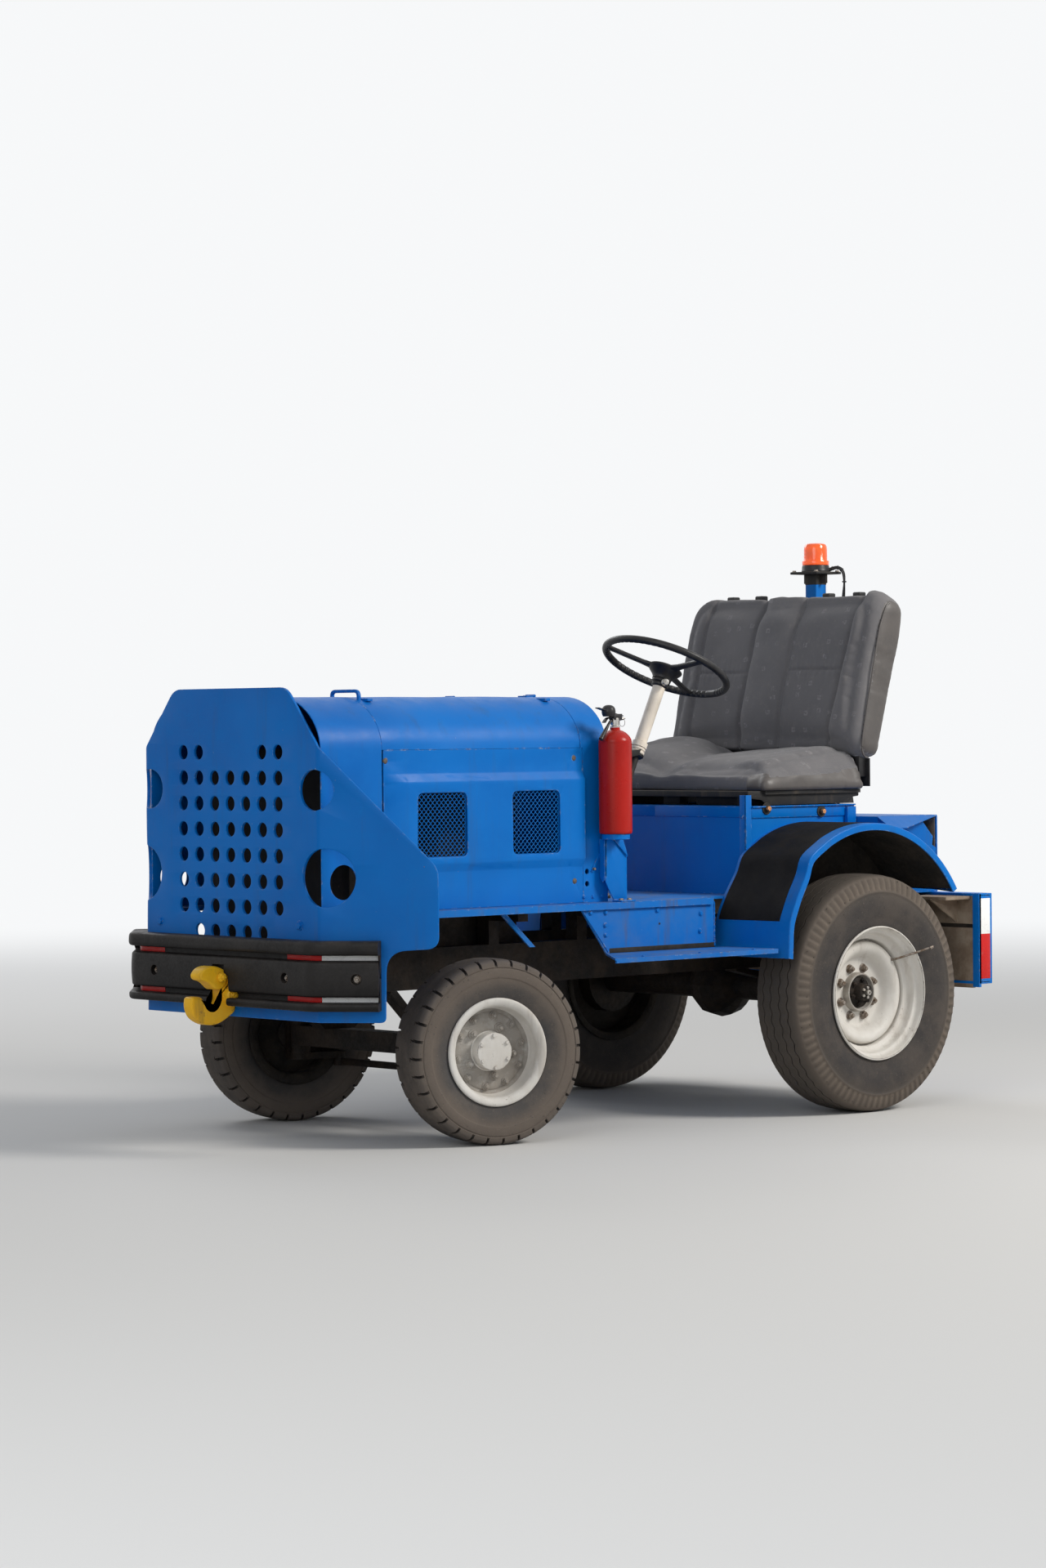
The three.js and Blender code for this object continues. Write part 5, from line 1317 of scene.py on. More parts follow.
rearShell = archShell(look["cowlRear"], look["lidRear"] - 0.0008, look["foot"], 0.006, 10, 0.0008, 5.0)
rearCowl = makePiece("rear_cowl_shell", [(rearShell, bluePaint)], ["rear_cowl"])
doorway = block(
    (look["panelRear"] - 0.0004, -0.45, 0.6), (look["lidRear"] + 0.05, 0.45, look["waist"] - 0.0002), 0.0
)
holes = [rod((x, -0.45, z), (x, 0.45, z), radius, 0.0005) for x, z, radius in look["rearHoles"]]
drill(rearCowl, together(doorway, *holes))
print("hood made")


# ---- wheels ----
def wheelTyre(look, centre, axis):
    # Rows of (place along the axle, radius) mirrored about the middle, carried round at angles that
    # bunch at the tread's edges; the pattern's depth is taken off along each row's own outward way.
    half, inner = np.array(look["rows"]), np.array(look["inside"])
    rows = np.vstack([half[::-1], half[1:] * [-1, 1], inner * [-1, 1], inner[::-1]])
    steps, count = np.array(look["steps"]), look["periods"]
    angle = ((np.arange(count)[:, None] + steps).ravel() / count * 2 * math.pi)[:, None]
    phase = np.tile(steps, count)[:, None]
    y, radius = rows[None, :, 0], rows[None, :, 1]
    outside = np.broadcast_to(np.arange(len(rows)) < 2 * len(half) - 1, (len(angle), len(rows)))
    angle, y, depth = look["pattern"](angle + 0 * y, phase, y + 0 * angle, radius)
    depth = depth * outside
    outward = unit(np.gradient(rows, axis=0)[:, ::-1] * [-1, 1])
    outward *= np.sign(outward[len(half) - 1, 1])
    y = y - depth * outward[:, 0]
    reach = np.clip((radius - look["bead"]) / (look["radius"] - look["bead"]), 0, 1)
    radius = radius - depth * outward[:, 1]
    marks = {"reach": np.broadcast_to(reach, depth.shape), "groove": np.clip(depth / look["deep"], 0, 1)}
    return grid(aroundAxis(radius, angle, y), True, True, marks).moved(centre, basis(axis))


def band(value, low, high):
    return ((value > low) & (value < high)).astype(float)


def frontPattern(angle, phase, y, radius):
    # Slanted notches cut into each shoulder, with a narrower slot that steps sideways at their inner end.
    away = np.abs(y)
    wide = band(phase, 0.05, 0.21) * band(away, 0.052, 1) * np.clip((radius - 0.246) / 0.01, 0, 1)
    slot = band(phase, 0.12, 0.21) * band(away, 0.0375, 0.0545)
    tail = band(phase, 0.12, 0.33) * band(away, 0.0375, 0.0425)
    depth = 0.0085 * np.maximum(wide, np.maximum(slot, tail) * 0.75)
    shift = np.where(y > 0, 0.0, math.pi / 32)
    slant = 0.45 * np.clip(away - 0.04, 0, 0.03)
    return angle + shift + slant * np.clip((radius - 0.2) / 0.05, 0, 1), y, depth


def rearPattern(angle, phase, y, radius):
    # Zigzag grooves run round the tread; the shoulders carry shallow scallops.
    away = np.abs(y)
    zig = np.abs((angle * 48 / (2 * math.pi)) % 1 * 2 - 1) * 2 - 1
    shift = 0.0034 * np.sin(zig * math.pi / 2) * np.clip((0.072 - away) / 0.01, 0, 1)
    groove = band(away, 0.0164, 0.0196) + band(away, 0.0484, 0.0516)
    zone = np.clip((radius - 0.318) / 0.006, 0, 1) * (away > 0.05)
    zone = zone * np.clip((0.3625 - radius) / 0.006, 0, 1)
    saw = (angle * 84 / (2 * math.pi)) % 1
    scallop = np.clip(np.minimum(saw / 0.65, (1 - saw) / 0.35), 0, 1)
    return angle, y + shift, 0.0065 * groove + 0.003 * zone * scallop


def sideRows(knots, steps):
    return smoothPath(knots, steps).tolist()


# Each tyre's rows run from the middle of the tread to the bead: place along the axle, radius.
frontRows = [
    (0, 0.2695), (0.018, 0.26945), (0.034, 0.2691), (0.037, 0.269), (0.038, 0.269), (0.042, 0.2688),
    (0.043, 0.2687), (0.048, 0.2684), (0.0515, 0.2682), (0.0525, 0.2681), (0.054, 0.268), (0.055, 0.2679),
]
frontRows += sideRows([(0.061, 0.267), (0.07, 0.2635), (0.076, 0.2585), (0.0785, 0.25)], 4)
frontRows += [(0.079, 0.247), (0.077, 0.2455), (0.0768, 0.2435)]
frontRows += sideRows([(0.0785, 0.242), (0.0797, 0.23), (0.079, 0.2175)], 4)
frontRows += [(0.0782, 0.2155), (0.0772, 0.2145)]
frontRows += sideRows(
    [(0.0768, 0.213), (0.0735, 0.195), (0.067, 0.176), (0.06, 0.161), (0.056, 0.153), (0.052, 0.15)], 3
)
rearRows = [
    (0, 0.371), (0.01, 0.371), (0.016, 0.3709), (0.0167, 0.3709), (0.0193, 0.3708), (0.02, 0.3708),
    (0.033, 0.3703), (0.048, 0.3695), (0.0487, 0.3694), (0.0513, 0.3692), (0.052, 0.3691), (0.062, 0.368),
]
rearRows += sideRows(
    [(0.072, 0.366), (0.082, 0.362), (0.0885, 0.356), (0.0935, 0.345), (0.097, 0.333), (0.099, 0.322)], 3
)
rearRows += [(0.1, 0.3185), (0.1012, 0.316), (0.1008, 0.3135)]
rearRows += sideRows(
    [
        (0.0995, 0.311), (0.1018, 0.292), (0.101, 0.27), (0.0975, 0.248), (0.0925, 0.231), (0.09, 0.218),
        (0.087, 0.205)
    ],
    3
)
frontTyreLook = {
    "radius": 0.2695, "bead": 0.15, "deep": 0.0085, "periods": 32, "pattern": frontPattern,
    "rows": frontRows, "inside": [(0.05, 0.1485)],
    "steps": [0, 0.045, 0.055, 0.115, 0.125, 0.205, 0.215, 0.325, 0.335, 0.45, 0.58, 0.72, 0.86],
}
rearTyreLook = {
    "radius": 0.371, "bead": 0.205, "deep": 0.0065, "periods": 24, "pattern": rearPattern, "rows": rearRows,
    "inside": [(0.085, 0.2035)], "steps": np.arange(21) / 21,
}
frontRimLook = {
    "soiled": (0.125, 0.059),  # outer and inner radius of the ring painted darker, for dirt and painted shade
    # (radius, place along the axle); the first and last points are in the bore
    "face": [
        (0.1445, -0.045), (0.138, 0), (0.1445, 0.03), (0.1465, 0.05), (0.1535, 0.056), (0.157, 0.06),
        (0.1575, 0.064), (0.155, 0.0672), (0.149, 0.068), (0.142, 0.066), (0.136, 0.062), (0.1322, 0.056),
        (0.131, 0.048), (0.129, 0.028), (0.124, 0.012), (0.118, 0.0065), (0.113, 0.0055), (0.11, 0.0075),
        (0.09, 0.0085), (0.064, 0.007), (0.06, 0.0055), (0.0565, 0.0065), (0.055, 0.01), (0.055, 0.04),
        (0.0538, 0.0428), (0.051, 0.044), (0.03, 0.0447), (0, 0.045),
    ],
    "back": [
        (0, 0.04), (0.0226, 0.04), (0.0226, -0.038), (0.046, -0.038), (0.046, -0.018), (0.1215, -0.012),
        (0.1245, -0.06), (0.13, -0.068), (0.143, -0.073), (0.152, -0.073), (0.157, -0.069), (0.156, -0.065),
        (0.1465, -0.06),
    ],
    "nuts": [
        # count, ring radius, height, first angle, head (radius, height, washer, stud)
        (10, 0.103, 0.0085, 11, (0.0088, 0.0085, 0.0125, 0.005)),
        (5, 0.0735, 0.0085, 65, (0.0105, 0.013, 0.014, 0.006)),
        (6, 0.047, 0.0447, 33, (0.0062, 0.005, 0.0, 0.0)),
    ],
}
rearRimLook = {
    "soiled": (0.063, 0.049),
    "face": [
        (0.203, -0.086), (0.203, 0.086), (0.206, 0.0885), (0.2086, 0.0915), (0.2094, 0.095),
        (0.2076, 0.098), (0.2045, 0.0975), (0.2018, 0.0935), (0.2004, 0.086), (0.1988, 0.077),
        (0.1946, 0.072), (0.1895, 0.07), (0.187, 0.065), (0.185, 0.052), (0.18, 0.044), (0.171, 0.04),
        (0.168, 0.035), (0.1668, 0.02), (0.1652, 0.013), (0.163, 0.013), (0.1615, 0.018), (0.1608, 0.027),
        (0.158, 0.0345), (0.151, 0.039), (0.14, 0.0385), (0.129, 0.032), (0.119, 0.02), (0.112, 0.007),
        (0.106, -0.001), (0.098, -0.0045), (0.08, -0.005), (0.065, -0.0045), (0.062, -0.002),
        (0.0605, 0.01), (0.0595, 0.017), (0.057, 0.019), (0.054, 0.0175), (0.0525, 0.008), (0.049, 0.003),
        (0, 0.002),
    ],
    "back": [
        (0, -0.0358), (0.12, -0.0358), (0.178, -0.022), (0.184, -0.088), (0.19, -0.094), (0.2, -0.096),
        (0.2072, -0.097), (0.209, -0.093), (0.206, -0.089),
    ],
    "nuts": [(8, 0.0785, -0.005, 22, (0.011, 0.013, 0.015, 0.0065))],
}


def rimShapes(look, centre, axis):
    # The smoothed face from rim to axle, cut at the radii where its finish changes, and then the back.
    face = np.vstack([smoothPath(look["face"][:-1], 3), look["face"][-1:]])
    deepest = int(np.argmax(face[:, 0] < look["soiled"][0]))
    cuts = [0, deepest, int(np.argmax(face[:, 0] < look["soiled"][1])), len(face) - 1]
    rings = [face[a : b + 1] for a, b in zip(cuts[:-1], cuts[1:])]
    rings.append(np.vstack([look["back"], face[:1]]))
    return [turned(ring, 96, centre, axis) for ring in rings]


def rimNuts(look, centre, axis):
    rings = []
    for count, radius, height, first, (head, tall, washer, stud) in look["nuts"]:
        angle = math.radians(first) + np.arange(count) * 2 * math.pi / count
        head = boltHead(head, tall, washer, stud)
        rings.append(scatter(head, aroundAxis(radius, angle, height), (0, 0, 1), angle * 1.7))
    return [ring.moved(centre, basis(axis)) for ring in rings]


def halfShaft(centre, axis):
    # The dark bolted boss in the middle of a rear wheel.
    boss = [
        (0.049, 0.002), (0.048, 0.008), (0.044, 0.011), (0.03, 0.0125), (0.0275, 0.016), (0.0265, 0.033),
        (0.0235, 0.0375), (0, 0.0385)
    ]
    angle = np.arange(6) * math.pi / 3 + 0.3
    bolts = scatter(
        boltHead(0.0078, 0.008, 0.0, 0.0035), aroundAxis(0.0385, angle, 0.0125), (0, 0, 1), angle
    )
    dark = together(turned(boss, 40), bolts).moved(centre, basis(axis))
    angle = np.arange(5) * 2 * math.pi / 5
    small = scatter(boltHead(0.005, 0.005), aroundAxis(0.0155, angle, 0.038))
    stud = turned(
        [
            (0, 0.038), (0.0085, 0.038), (0.0085, 0.052), (0.007, 0.054), (0.0035, 0.054), (0.003, 0.05),
            (0, 0.05)
        ],
        20
    )
    return dark, together(small, stud).moved(centre, basis(axis))


def valveStem(centre, axis):
    knots = [
        (0.15, 40, 0.034), (0.157, 39.5, 0.052), (0.18, 37.5, 0.076), (0.215, 35, 0.104), (0.252, 33, 0.128)
    ]
    path = [(r * math.cos(math.radians(a)), r * math.sin(math.radians(a)), h) for r, a, h in knots]
    stem = tube(smoothPath(path, 6), 0.0036, 10)
    cap = tube(
        np.array(path[-1]) + np.array([[-0.01, -0.0045, -0.003], [0.0005, 0.0002, 0.0001]]), 0.005, 10
    )
    return together(stem, cap).moved(centre, basis(axis))


def pips(look, centre, axis, seed, count):
    # Small rubber pips left on the sidewall.
    random = np.random.default_rng(seed)
    angle = random.uniform(0, 2 * math.pi, count)
    rows = np.array(look["rows"])
    radius = random.choice([0.34, 0.55, 0.72, 0.9], count) + random.uniform(-0.03, 0.03, count)
    radius = look["bead"] + radius * (look["radius"] - look["bead"])
    side = np.interp(radius, rows[::-1, 1], rows[::-1, 0])
    pip = turned([(0.0012, -0.0015), (0.001, 0.0012), (0, 0.0014)], 6)
    return scatter(pip, aroundAxis(radius, angle, side)).moved(centre, basis(axis))


def dressWheel(end, side):
    word = "left" if side > 0 else "right"
    spin = joints[f"{end}_spin_{word}"]
    centre, axis = np.array(spin["pos_m"]), np.array(spin["axis"]) * side
    front = end == "front"
    fitted = (
        frontTyreLook, frontRimLook, frontTyreRubber
    ) if front else (rearTyreLook, rearRimLook, rearTyreRubber)
    tyreLook, rimLook, rubber = fitted
    body = f"{end}_wheel_{word}"
    tyre = wheelTyre(tyreLook, centre, axis)
    parts = [(tyre, rubber), (pips(tyreLook, centre, axis, 5 + side, 60), rubber)]
    makePiece(f"{end}_tyre_tread_{word}", parts, [f"{end}_tyre_{word}"], body, 50)
    nuts = rimNuts(rimLook, centre, axis)
    lip, ring, cap, back = rimShapes(rimLook, centre, axis)
    # the rim's back and bore are near black: painted shade
    disc = [(lip, whitePaint), (ring, dirtyShadedWhite), (cap, whitePaint), (back, dirtAndShadeDark)]
    if front:
        parts = [*disc, (nuts[0], dirtyShadedWhite), (nuts[1], dirtyShadedWhite), (nuts[2], whitePaint)]
    else:
        dark, bright = halfShaft(centre, axis)
        parts = [
            *disc, (together(*nuts), boltSteel), (dark, castIron), (bright, zincSteel),
            (valveStem(centre, axis), boltSteel)
        ]
    makePiece(f"{end}_rim_disc_{word}", parts, [f"{end}_rim_{word}"], body)


for end in ("front", "rear"):
    for side in (1, -1):
        dressWheel(end, side)
print("wheels made")


# ---- seat ----
seatLook = {
    "half": 0.4285, "backHalf": 0.444,
    # side view of the backrest, from the rear axle: x, z
    "backFront": [
        (-0.238, 1.099), (-0.205, 1.112), (-0.199, 1.15), (-0.216, 1.235), (-0.243, 1.35), (-0.277, 1.49),
        (-0.308, 1.598), (-0.324, 1.634), (-0.345, 1.644)
    ],
    "backRear": [
        (-0.382, 1.639), (-0.407, 1.598), (-0.4, 1.5), (-0.362, 1.37), (-0.317, 1.215), (-0.284, 1.108),
        (-0.262, 1.096)
    ],
    "seamZ": 1.385,
    # how far each zone of the backrest stands proud, and how square its crown is
    "proud": (0.004, 0.0, 0.017, 0.001, 0.02), "power": (3.0, 6.0, 3.0, 6.0, 3.5), "voxel": 0.0084,
    "frames": 20,
    # share of the cloth's pull inward that the padding takes up
    "held": 0.88, "backCap": 0.022, "cushionCap": 0.024, "backFill": 0.7, "cushionFill": 0.4,
}


def backZones(z):
    # Where the backrest's upright seams cross each height: bolster and panel of the far seat, the
    # parting, bolster, panel and outer bolster of the near seat.
    t = np.clip((z - 1.12) / 0.5, 0, 1)
    half = seatLook["backHalf"]
    low = (-half, -0.338, -0.12, 0.06, 0.288, half)
    high = (-half, -0.33, -0.094, 0.086, 0.345, half)
    return [a + (b - a) * t for a, b in zip(low, high)]


def zoneHeights(y, z):
    # How far the cover stands proud at each point; it falls back at the seams.
    zones = backZones(z)
    height = np.zeros_like(y)
    for a, b, proud, power in zip(zones[:-1], zones[1:], seatLook["proud"], seatLook["power"]):
        crown = 1 - np.abs(2 * np.clip((y - a) / (b - a), 0, 1) - 1) ** power
        height = np.where((y >= a) & (y < b), (proud + 0.006) * crown, height)
    return height


def backrestShape():
    # Rings of the side view, from one end of the bench to the other; the ends draw in.
    front = smoothPath(seatLook["backFront"], 7)
    rear = smoothPath(seatLook["backRear"], 5)
    side = np.vstack([front, rear])
    middle = side.mean(0)
    half = seatLook["backHalf"]
    inset = np.array([0, 0.004, 0.01, 0.02, 0.032])
    stations = np.concatenate(
        [-half + inset, np.linspace(-half + 0.045, half - 0.045, 150), half - inset[::-1]]
    )
    ends = np.interp(
        np.abs(stations), [half - 0.032, half - 0.02, half - 0.01, half - 0.004, half],
        [0, 0.0015, 0.005, 0.0095, 0.015]
    )
    ahead = np.gradient(side, axis=0)
    outward = unit(np.stack([ahead[:, 1], -ahead[:, 0]], -1))
    outward *= np.sign(np.sum(outward * (side - middle), 1))[:, None]
    y = np.broadcast_to(stations[:, None], (len(stations), len(side)))
    z = np.broadcast_to(side[:, 1], y.shape)
    height = zoneHeights(y, z) * (np.arange(len(side)) < len(front))
    height = height * np.interp(side[:, 1], [1.1, 1.16, 1.6, 1.645], [0.3, 1, 1, 0.45])
    # the cover's top corners drop away at the ends
    drop = np.where(y > 0, 0.03, 0.052) * np.clip((np.abs(y) - (half - 0.105)) / 0.105, 0, 1) ** 2.2
    drop = drop * np.clip((z - 1.52) / 0.12, 0, 1)
    offset = height - 0.01 - ends[:, None]
    points = np.empty((*y.shape, 3))
    points[..., 0] = side[:, 0] + outward[:, 0] * offset + rearAxleX
    points[..., 1] = y
    points[..., 2] = z + outward[:, 1] * offset - drop
    return loft(points)


def cushionTop(x, y):
    # Height of the cushion's upper face: crowned, sagging at the parting, swelling at the far seat.
    back = np.clip((rearAxleX + 0.222 - x) / 0.45, 0, 1)
    z = 1.058 + 0.048 * np.sin(back * math.pi * 0.62)
    z = z + 0.046 * np.exp(-(((y + 0.29) / 0.15) ** 2)) * np.clip(back * 1.6, 0.35, 1)
    z = z + 0.016 * np.clip(back - 0.5, 0, 0.5) * 2 * np.clip((y - 0.05) / 0.15, 0, 1)
    z = z - 0.026 * np.exp(-(((y + 0.085) / 0.055) ** 2)) * (0.55 + 0.45 * back)
    z = z - 0.012 * np.exp(-(((y - 0.1) / 0.16) ** 2)) * (1 - back)
    return z


def cushionShape():
    half = seatLook["half"] - 0.001
    front, rear = rearAxleX + 0.22, rearAxleX - 0.227
    u = np.linspace(0, 1, 60)
    v = np.linspace(0, 1, 110)
    x = front + (rear - front) * u[None, :]
    y = -half + 2 * half * v[:, None]
    # distance from the nearest rim, each rim with its own weight
    edge = np.minimum(u[None, :] * (front - rear), (1 - u[None, :]) * (front - rear) * 2.5)
    edge = np.minimum(edge, np.minimum(v[:, None], 1 - v[:, None]) * 2 * half * 1.2)
    crown = 1 - (1 - np.clip(edge / 0.075, 0, 1)) ** 2.6
    lift = 0.012 * np.clip((x - (rearAxleX + 0.12)) / 0.1, 0, 1) * np.clip(1 - np.abs(y + 0.13) / 0.3, 0, 1)
    low = 1.0035 + lift
    top = low + 0.026 + (cushionTop(x, y) - low - 0.026) * crown
    x, y = np.broadcast_arrays(x, y)
    upper = np.stack([x, y, top], -1)
    lower = np.stack([x, y, np.broadcast_to(low, x.shape)], -1)
    rim = lambda sheet: np.concatenate([sheet[0, :], sheet[1:, -1], sheet[-1, -2::-1], sheet[-2:0:-1, 0]])
    wall = np.stack([rim(lower), rim(upper)])
    middle = wall.mean(0) + (wall.mean(0) - [rearAxleX, 0, 1.03]) * [0.016, 0.01, 0]
    sides = grid(np.stack([wall[0], middle, wall[1]]), wrapColumns=True)
    return together(grid(upper), grid(lower), sides)


def stuffed(name, shape, cap):
    piece = makePiece(name, [(shape, clothGrey)], sharp=None)
    remesh = piece.modifiers.new("remesh", "REMESH")
    remesh.mode, remesh.voxel_size = "VOXEL", seatLook["voxel"]
    applied(piece)
    start, normals = (numbers(piece.data.vertices, key, 3) for key in ("co", "normal"))
    cloth = piece.modifiers.new("cloth", "CLOTH")
    cloth.settings.use_pressure = True
    cloth.settings.uniform_pressure_force = 8
    cloth.settings.effector_weights.gravity = 0
    cloth.settings.quality = 5
    cloth.point_cache.frame_start, cloth.point_cache.frame_end = 1, seatLook["frames"]
    for step in range(1, seatLook["frames"] + 1):
        bpy.context.scene.frame_set(step)
    applied(piece)
    bpy.context.scene.frame_set(1)
    moved = numbers(piece.data.vertices, "co", 3) - start
    inward = np.minimum(np.sum(moved * normals, 1), 0)
    moved -= normals * inward[:, None] * seatLook["held"]
    length = np.linalg.norm(moved, axis=1, keepdims=True)
    points = start + moved * np.minimum(1, cap / np.maximum(length, 1e-9))
    piece.data.vertices.foreach_set("co", points.ravel())
    print(name, "swelled", round(float(length.max()), 4))
    smooth = piece.modifiers.new("smooth", "SUBSURF")
    smooth.levels = smooth.render_levels = 1
    applied(piece)
    return piece


def sewn(piece, points, vinylFaces, cloth):
    # Puts the sewn shape on the piece, gives the marked faces vinyl and the cloth its own coordinates.
    mesh = piece.data
    mesh.vertices.foreach_set("co", points.ravel())
    mesh.materials.clear()
    mesh.materials.append(clothGrey)
    mesh.materials.append(vinylGrey)
    mesh.polygons.foreach_set("material_index", vinylFaces.astype(int))
    mesh.polygons.foreach_set("use_smooth", np.ones(len(mesh.polygons), bool))
    mesh.attributes.new("cloth", "FLOAT_VECTOR", "POINT").data.foreach_set("vector", cloth.ravel())
    mesh.update()


def crease(distance, width):
    return np.exp(-((distance / width) ** 2))


def makeBackrest():
    piece = stuffed("seat_backrest_cover", backrestShape(), seatLook["backCap"])
    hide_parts("seat_backrest")
    mesh = piece.data
    points, normals = (numbers(mesh.vertices, key, 3) for key in ("co", "normal"))
    y, z = points[:, 1], points[:, 2]
    frontFace = np.clip(normals[:, 0] * 1.6, 0, 1)
    depth = 0
    zones = backZones(z)
    for place, deep in zip(zones[1:-1], (0.007, 0.013, 0.006, 0.014)):
        depth = depth + deep * crease(y - place, 0.0055 + deep / 4)
    panels = band(y, zones[1] + 0.004, zones[2] - 0.004) + band(y, zones[3] + 0.004, zones[4] - 0.004)
    depth = depth + panels * 0.0055 * crease(z - seatLook["seamZ"] - 0.004 * np.sin(y * 9), 0.0055)
    pucker = crease(z - seatLook["seamZ"], 0.035) * 0.0008 * np.sin(y * 260 + 2 * np.sin(y * 40)) * panels
    sag = 0.002 * np.sin(z * 21 + y * 9) * np.sin(y * 17 + 1) + 0.0012 * np.sin(z * 47 - y * 31)
    points = points - normals * ((depth + pucker + sag * 0.6) * frontFace)[:, None]
    top = np.clip((z - 1.6) / 0.03, 0, 1) * 0.0025 * (1 - frontFace)
    points[:, 2] -= top * (1 + np.sin(y * 33 + 1.5 * np.sin(y * 14)))
    middles = numbers(mesh.polygons, "center", 3)
    slope = np.interp(middles[:, 2], [1.1, 1.15, 1.5, 1.61], [-0.215, -0.194, -0.27, -0.308]) + rearAxleX
    vinyl = (np.abs(middles[:, 1]) > seatLook["backHalf"] - 0.0135) & (middles[:, 0] < slope + 0.012)
    rearFace = np.interp(middles[:, 2], [1.1, 1.6, 1.65], [-0.262, -0.378, -0.352]) + rearAxleX
    vinyl |= middles[:, 0] < rearFace
    cloth = np.stack([points[:, 1], points[:, 2], 0 * y], -1)
    sewn(piece, points, vinyl, cloth)
    # piping along the front edge of each vinyl side
    y = seatLook["backHalf"] - 0.0085
    route = smoothPath(seatLook["backFront"], 6)[2:]
    route = np.column_stack(
        [route[:, 0] + rearAxleX - 0.0065, np.full(len(route), y), route[:, 1] - 0.0015]
    )
    route[:, 2] -= np.interp(route[:, 2], [1.52, 1.64], [0, 0.041])
    far = route * [1, -1, 1] - [0.015, 0, 0.006]  # the far bolster stands less proud
    piping = together(tube(route[:-4], 0.003, 8), tube(far[:-4], 0.003, 8))
    makePiece("backrest_piping", [(piping, vinylGrey)])
    x0, x1 = rearAxleX - 0.378, rearAxleX - 0.346
    ys = (-0.29, -0.16, 0.147, 0.282)
    caps = [block((x0, y - 0.016, 1.619), (x1, y + 0.016, 1.6375), 0.005, 4) for y in ys]
    makePiece("backrest_caps", [(together(*caps), blackPlastic)])


def makeCushion():
    piece = stuffed("seat_cushion_cover", cushionShape(), seatLook["cushionCap"])
    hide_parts("seat_cushion")
    mesh = piece.data
    points, normals = (numbers(mesh.vertices, key, 3) for key in ("co", "normal"))
    x, y = points.T[:2]
    up = np.clip(normals[:, 2] * 1.5, 0, 1)
    folds = 0.0032 * np.sin(y * 24 + 9 * x + 1.2 * np.sin(x * 26)) * np.clip((0.16 - y) / 0.2, 0, 1)
    folds = folds + 0.0016 * np.sin(x * 38 - y * 13) * np.clip((0.2 - y) / 0.3, 0, 1)
    folds = folds + 0.0012 * np.sin(x * 61 + y * 44 + 2 * np.sin(y * 20))
    points = points + normals * (folds * (0.35 + 0.65 * up))[:, None]
    points[:, 2] = np.maximum(points[:, 2], 1.0033)
    middles = numbers(mesh.polygons, "center", 3)
    corner = (middles[:, 1] > 0.328) & (middles[:, 0] > rearAxleX + 0.19)
    leftSide = middles[:, 1] > seatLook["half"] - 0.016
    vinyl = (corner | leftSide) & (middles[:, 2] < cushionTop(middles[:, 0], middles[:, 1]) - 0.006)
    cloth = np.stack([points[:, 1], points[:, 0] - points[:, 2], 0 * y], -1)
    sewn(piece, points, vinyl, cloth)


makeBackrest()
makeCushion()
print("seat made")


# ---- rear fenders, rear body and rear plate ----
fenderLook = {
    "centre": (rearAxleX + 0.032, 0.4445), "radius": 0.457, "inside": 0.4003, "outer": 0.702, "lip": 0.022,
    "sheet": 0.005, "arc": (7.6, 148.0),
    # the skirt in front of the arc: along and up from the centre, as shares of the radius
    "skirt": [
        (0.869, 0.115), (0.864, 0.205), (0.86, 0.297), (0.84, 0.391), (0.772, 0.524), (0.676, 0.669),
        (0.6157, 0.788), (0.454, 0.891)
    ],
    # how far the skirt's inner and outer edges stand forward
    "skew": (0.004, -0.014),
    # black patch: from, to, inner and outer y
    "grip": (23.0, 99.0, 0.412, 0.658),
}


skirtPath = smoothPath(np.column_stack([fenderLook["skirt"], np.zeros(8)]), 8)[:, :2]
skirtTurn = np.degrees(np.arctan2(skirtPath[:, 1], skirtPath[:, 0]))
skirtShare = np.linalg.norm(skirtPath, axis=1)


def arcPlace(radius, degrees, y=None):
    # On the arc; below its front end on the skirt, which stands a little askew.
    look = fenderLook
    angle = np.radians(degrees)
    share = np.interp(degrees, skirtTurn, skirtShare, right=1.0)
    x, z = look["centre"]
    x = x + radius * share * np.cos(angle)
    if y is not None:
        across = np.clip((y - look["inside"]) / (look["outer"] - look["inside"]), 0, 1)
        low = np.clip((52 - degrees) / 24, 0, 1)
        x = x + low * (look["skew"][0] + across * (look["skew"][1] - look["skew"][0]))
    return x, z + radius * share * np.sin(angle)


def arcSweep(loop, start, end, steps=72):
    # A (y, radius) loop carried round the fender's centre.
    angle = np.linspace(start, end, steps)[:, None]
    x, z = arcPlace(loop[None, :, 1], angle, loop[None, :, 0])
    return loft(np.stack([x, np.broadcast_to(loop[None, :, 0], x.shape), z], -1))


def fenderShape():
    look = fenderLook
    radius, sheet, outer, inside = (look[key] for key in ("radius", "sheet", "outer", "inside"))
    edge, low = outer - sheet, radius - look["lip"]
    points = np.array(
        [
            (inside, radius - sheet, 0), (edge, radius - sheet, 0.003), (edge, low, 0.001),
            (outer, low, 0.001), (outer, radius, 0.005), (inside, radius, 0)
        ]
    )
    loop = softened(points[:, :2], np.maximum(points[:, 2], 0.0002), 3)
    whole = arcSweep(loop, *look["arc"])
    angle = np.linspace(look["arc"][0], look["arc"][1], 60)
    x, z = arcPlace(radius - 0.0005, angle, inside)
    wall = sideways(np.stack([x, z], -1), inside, inside + sheet, 0.0005, 1)
    return together(whole, wall)


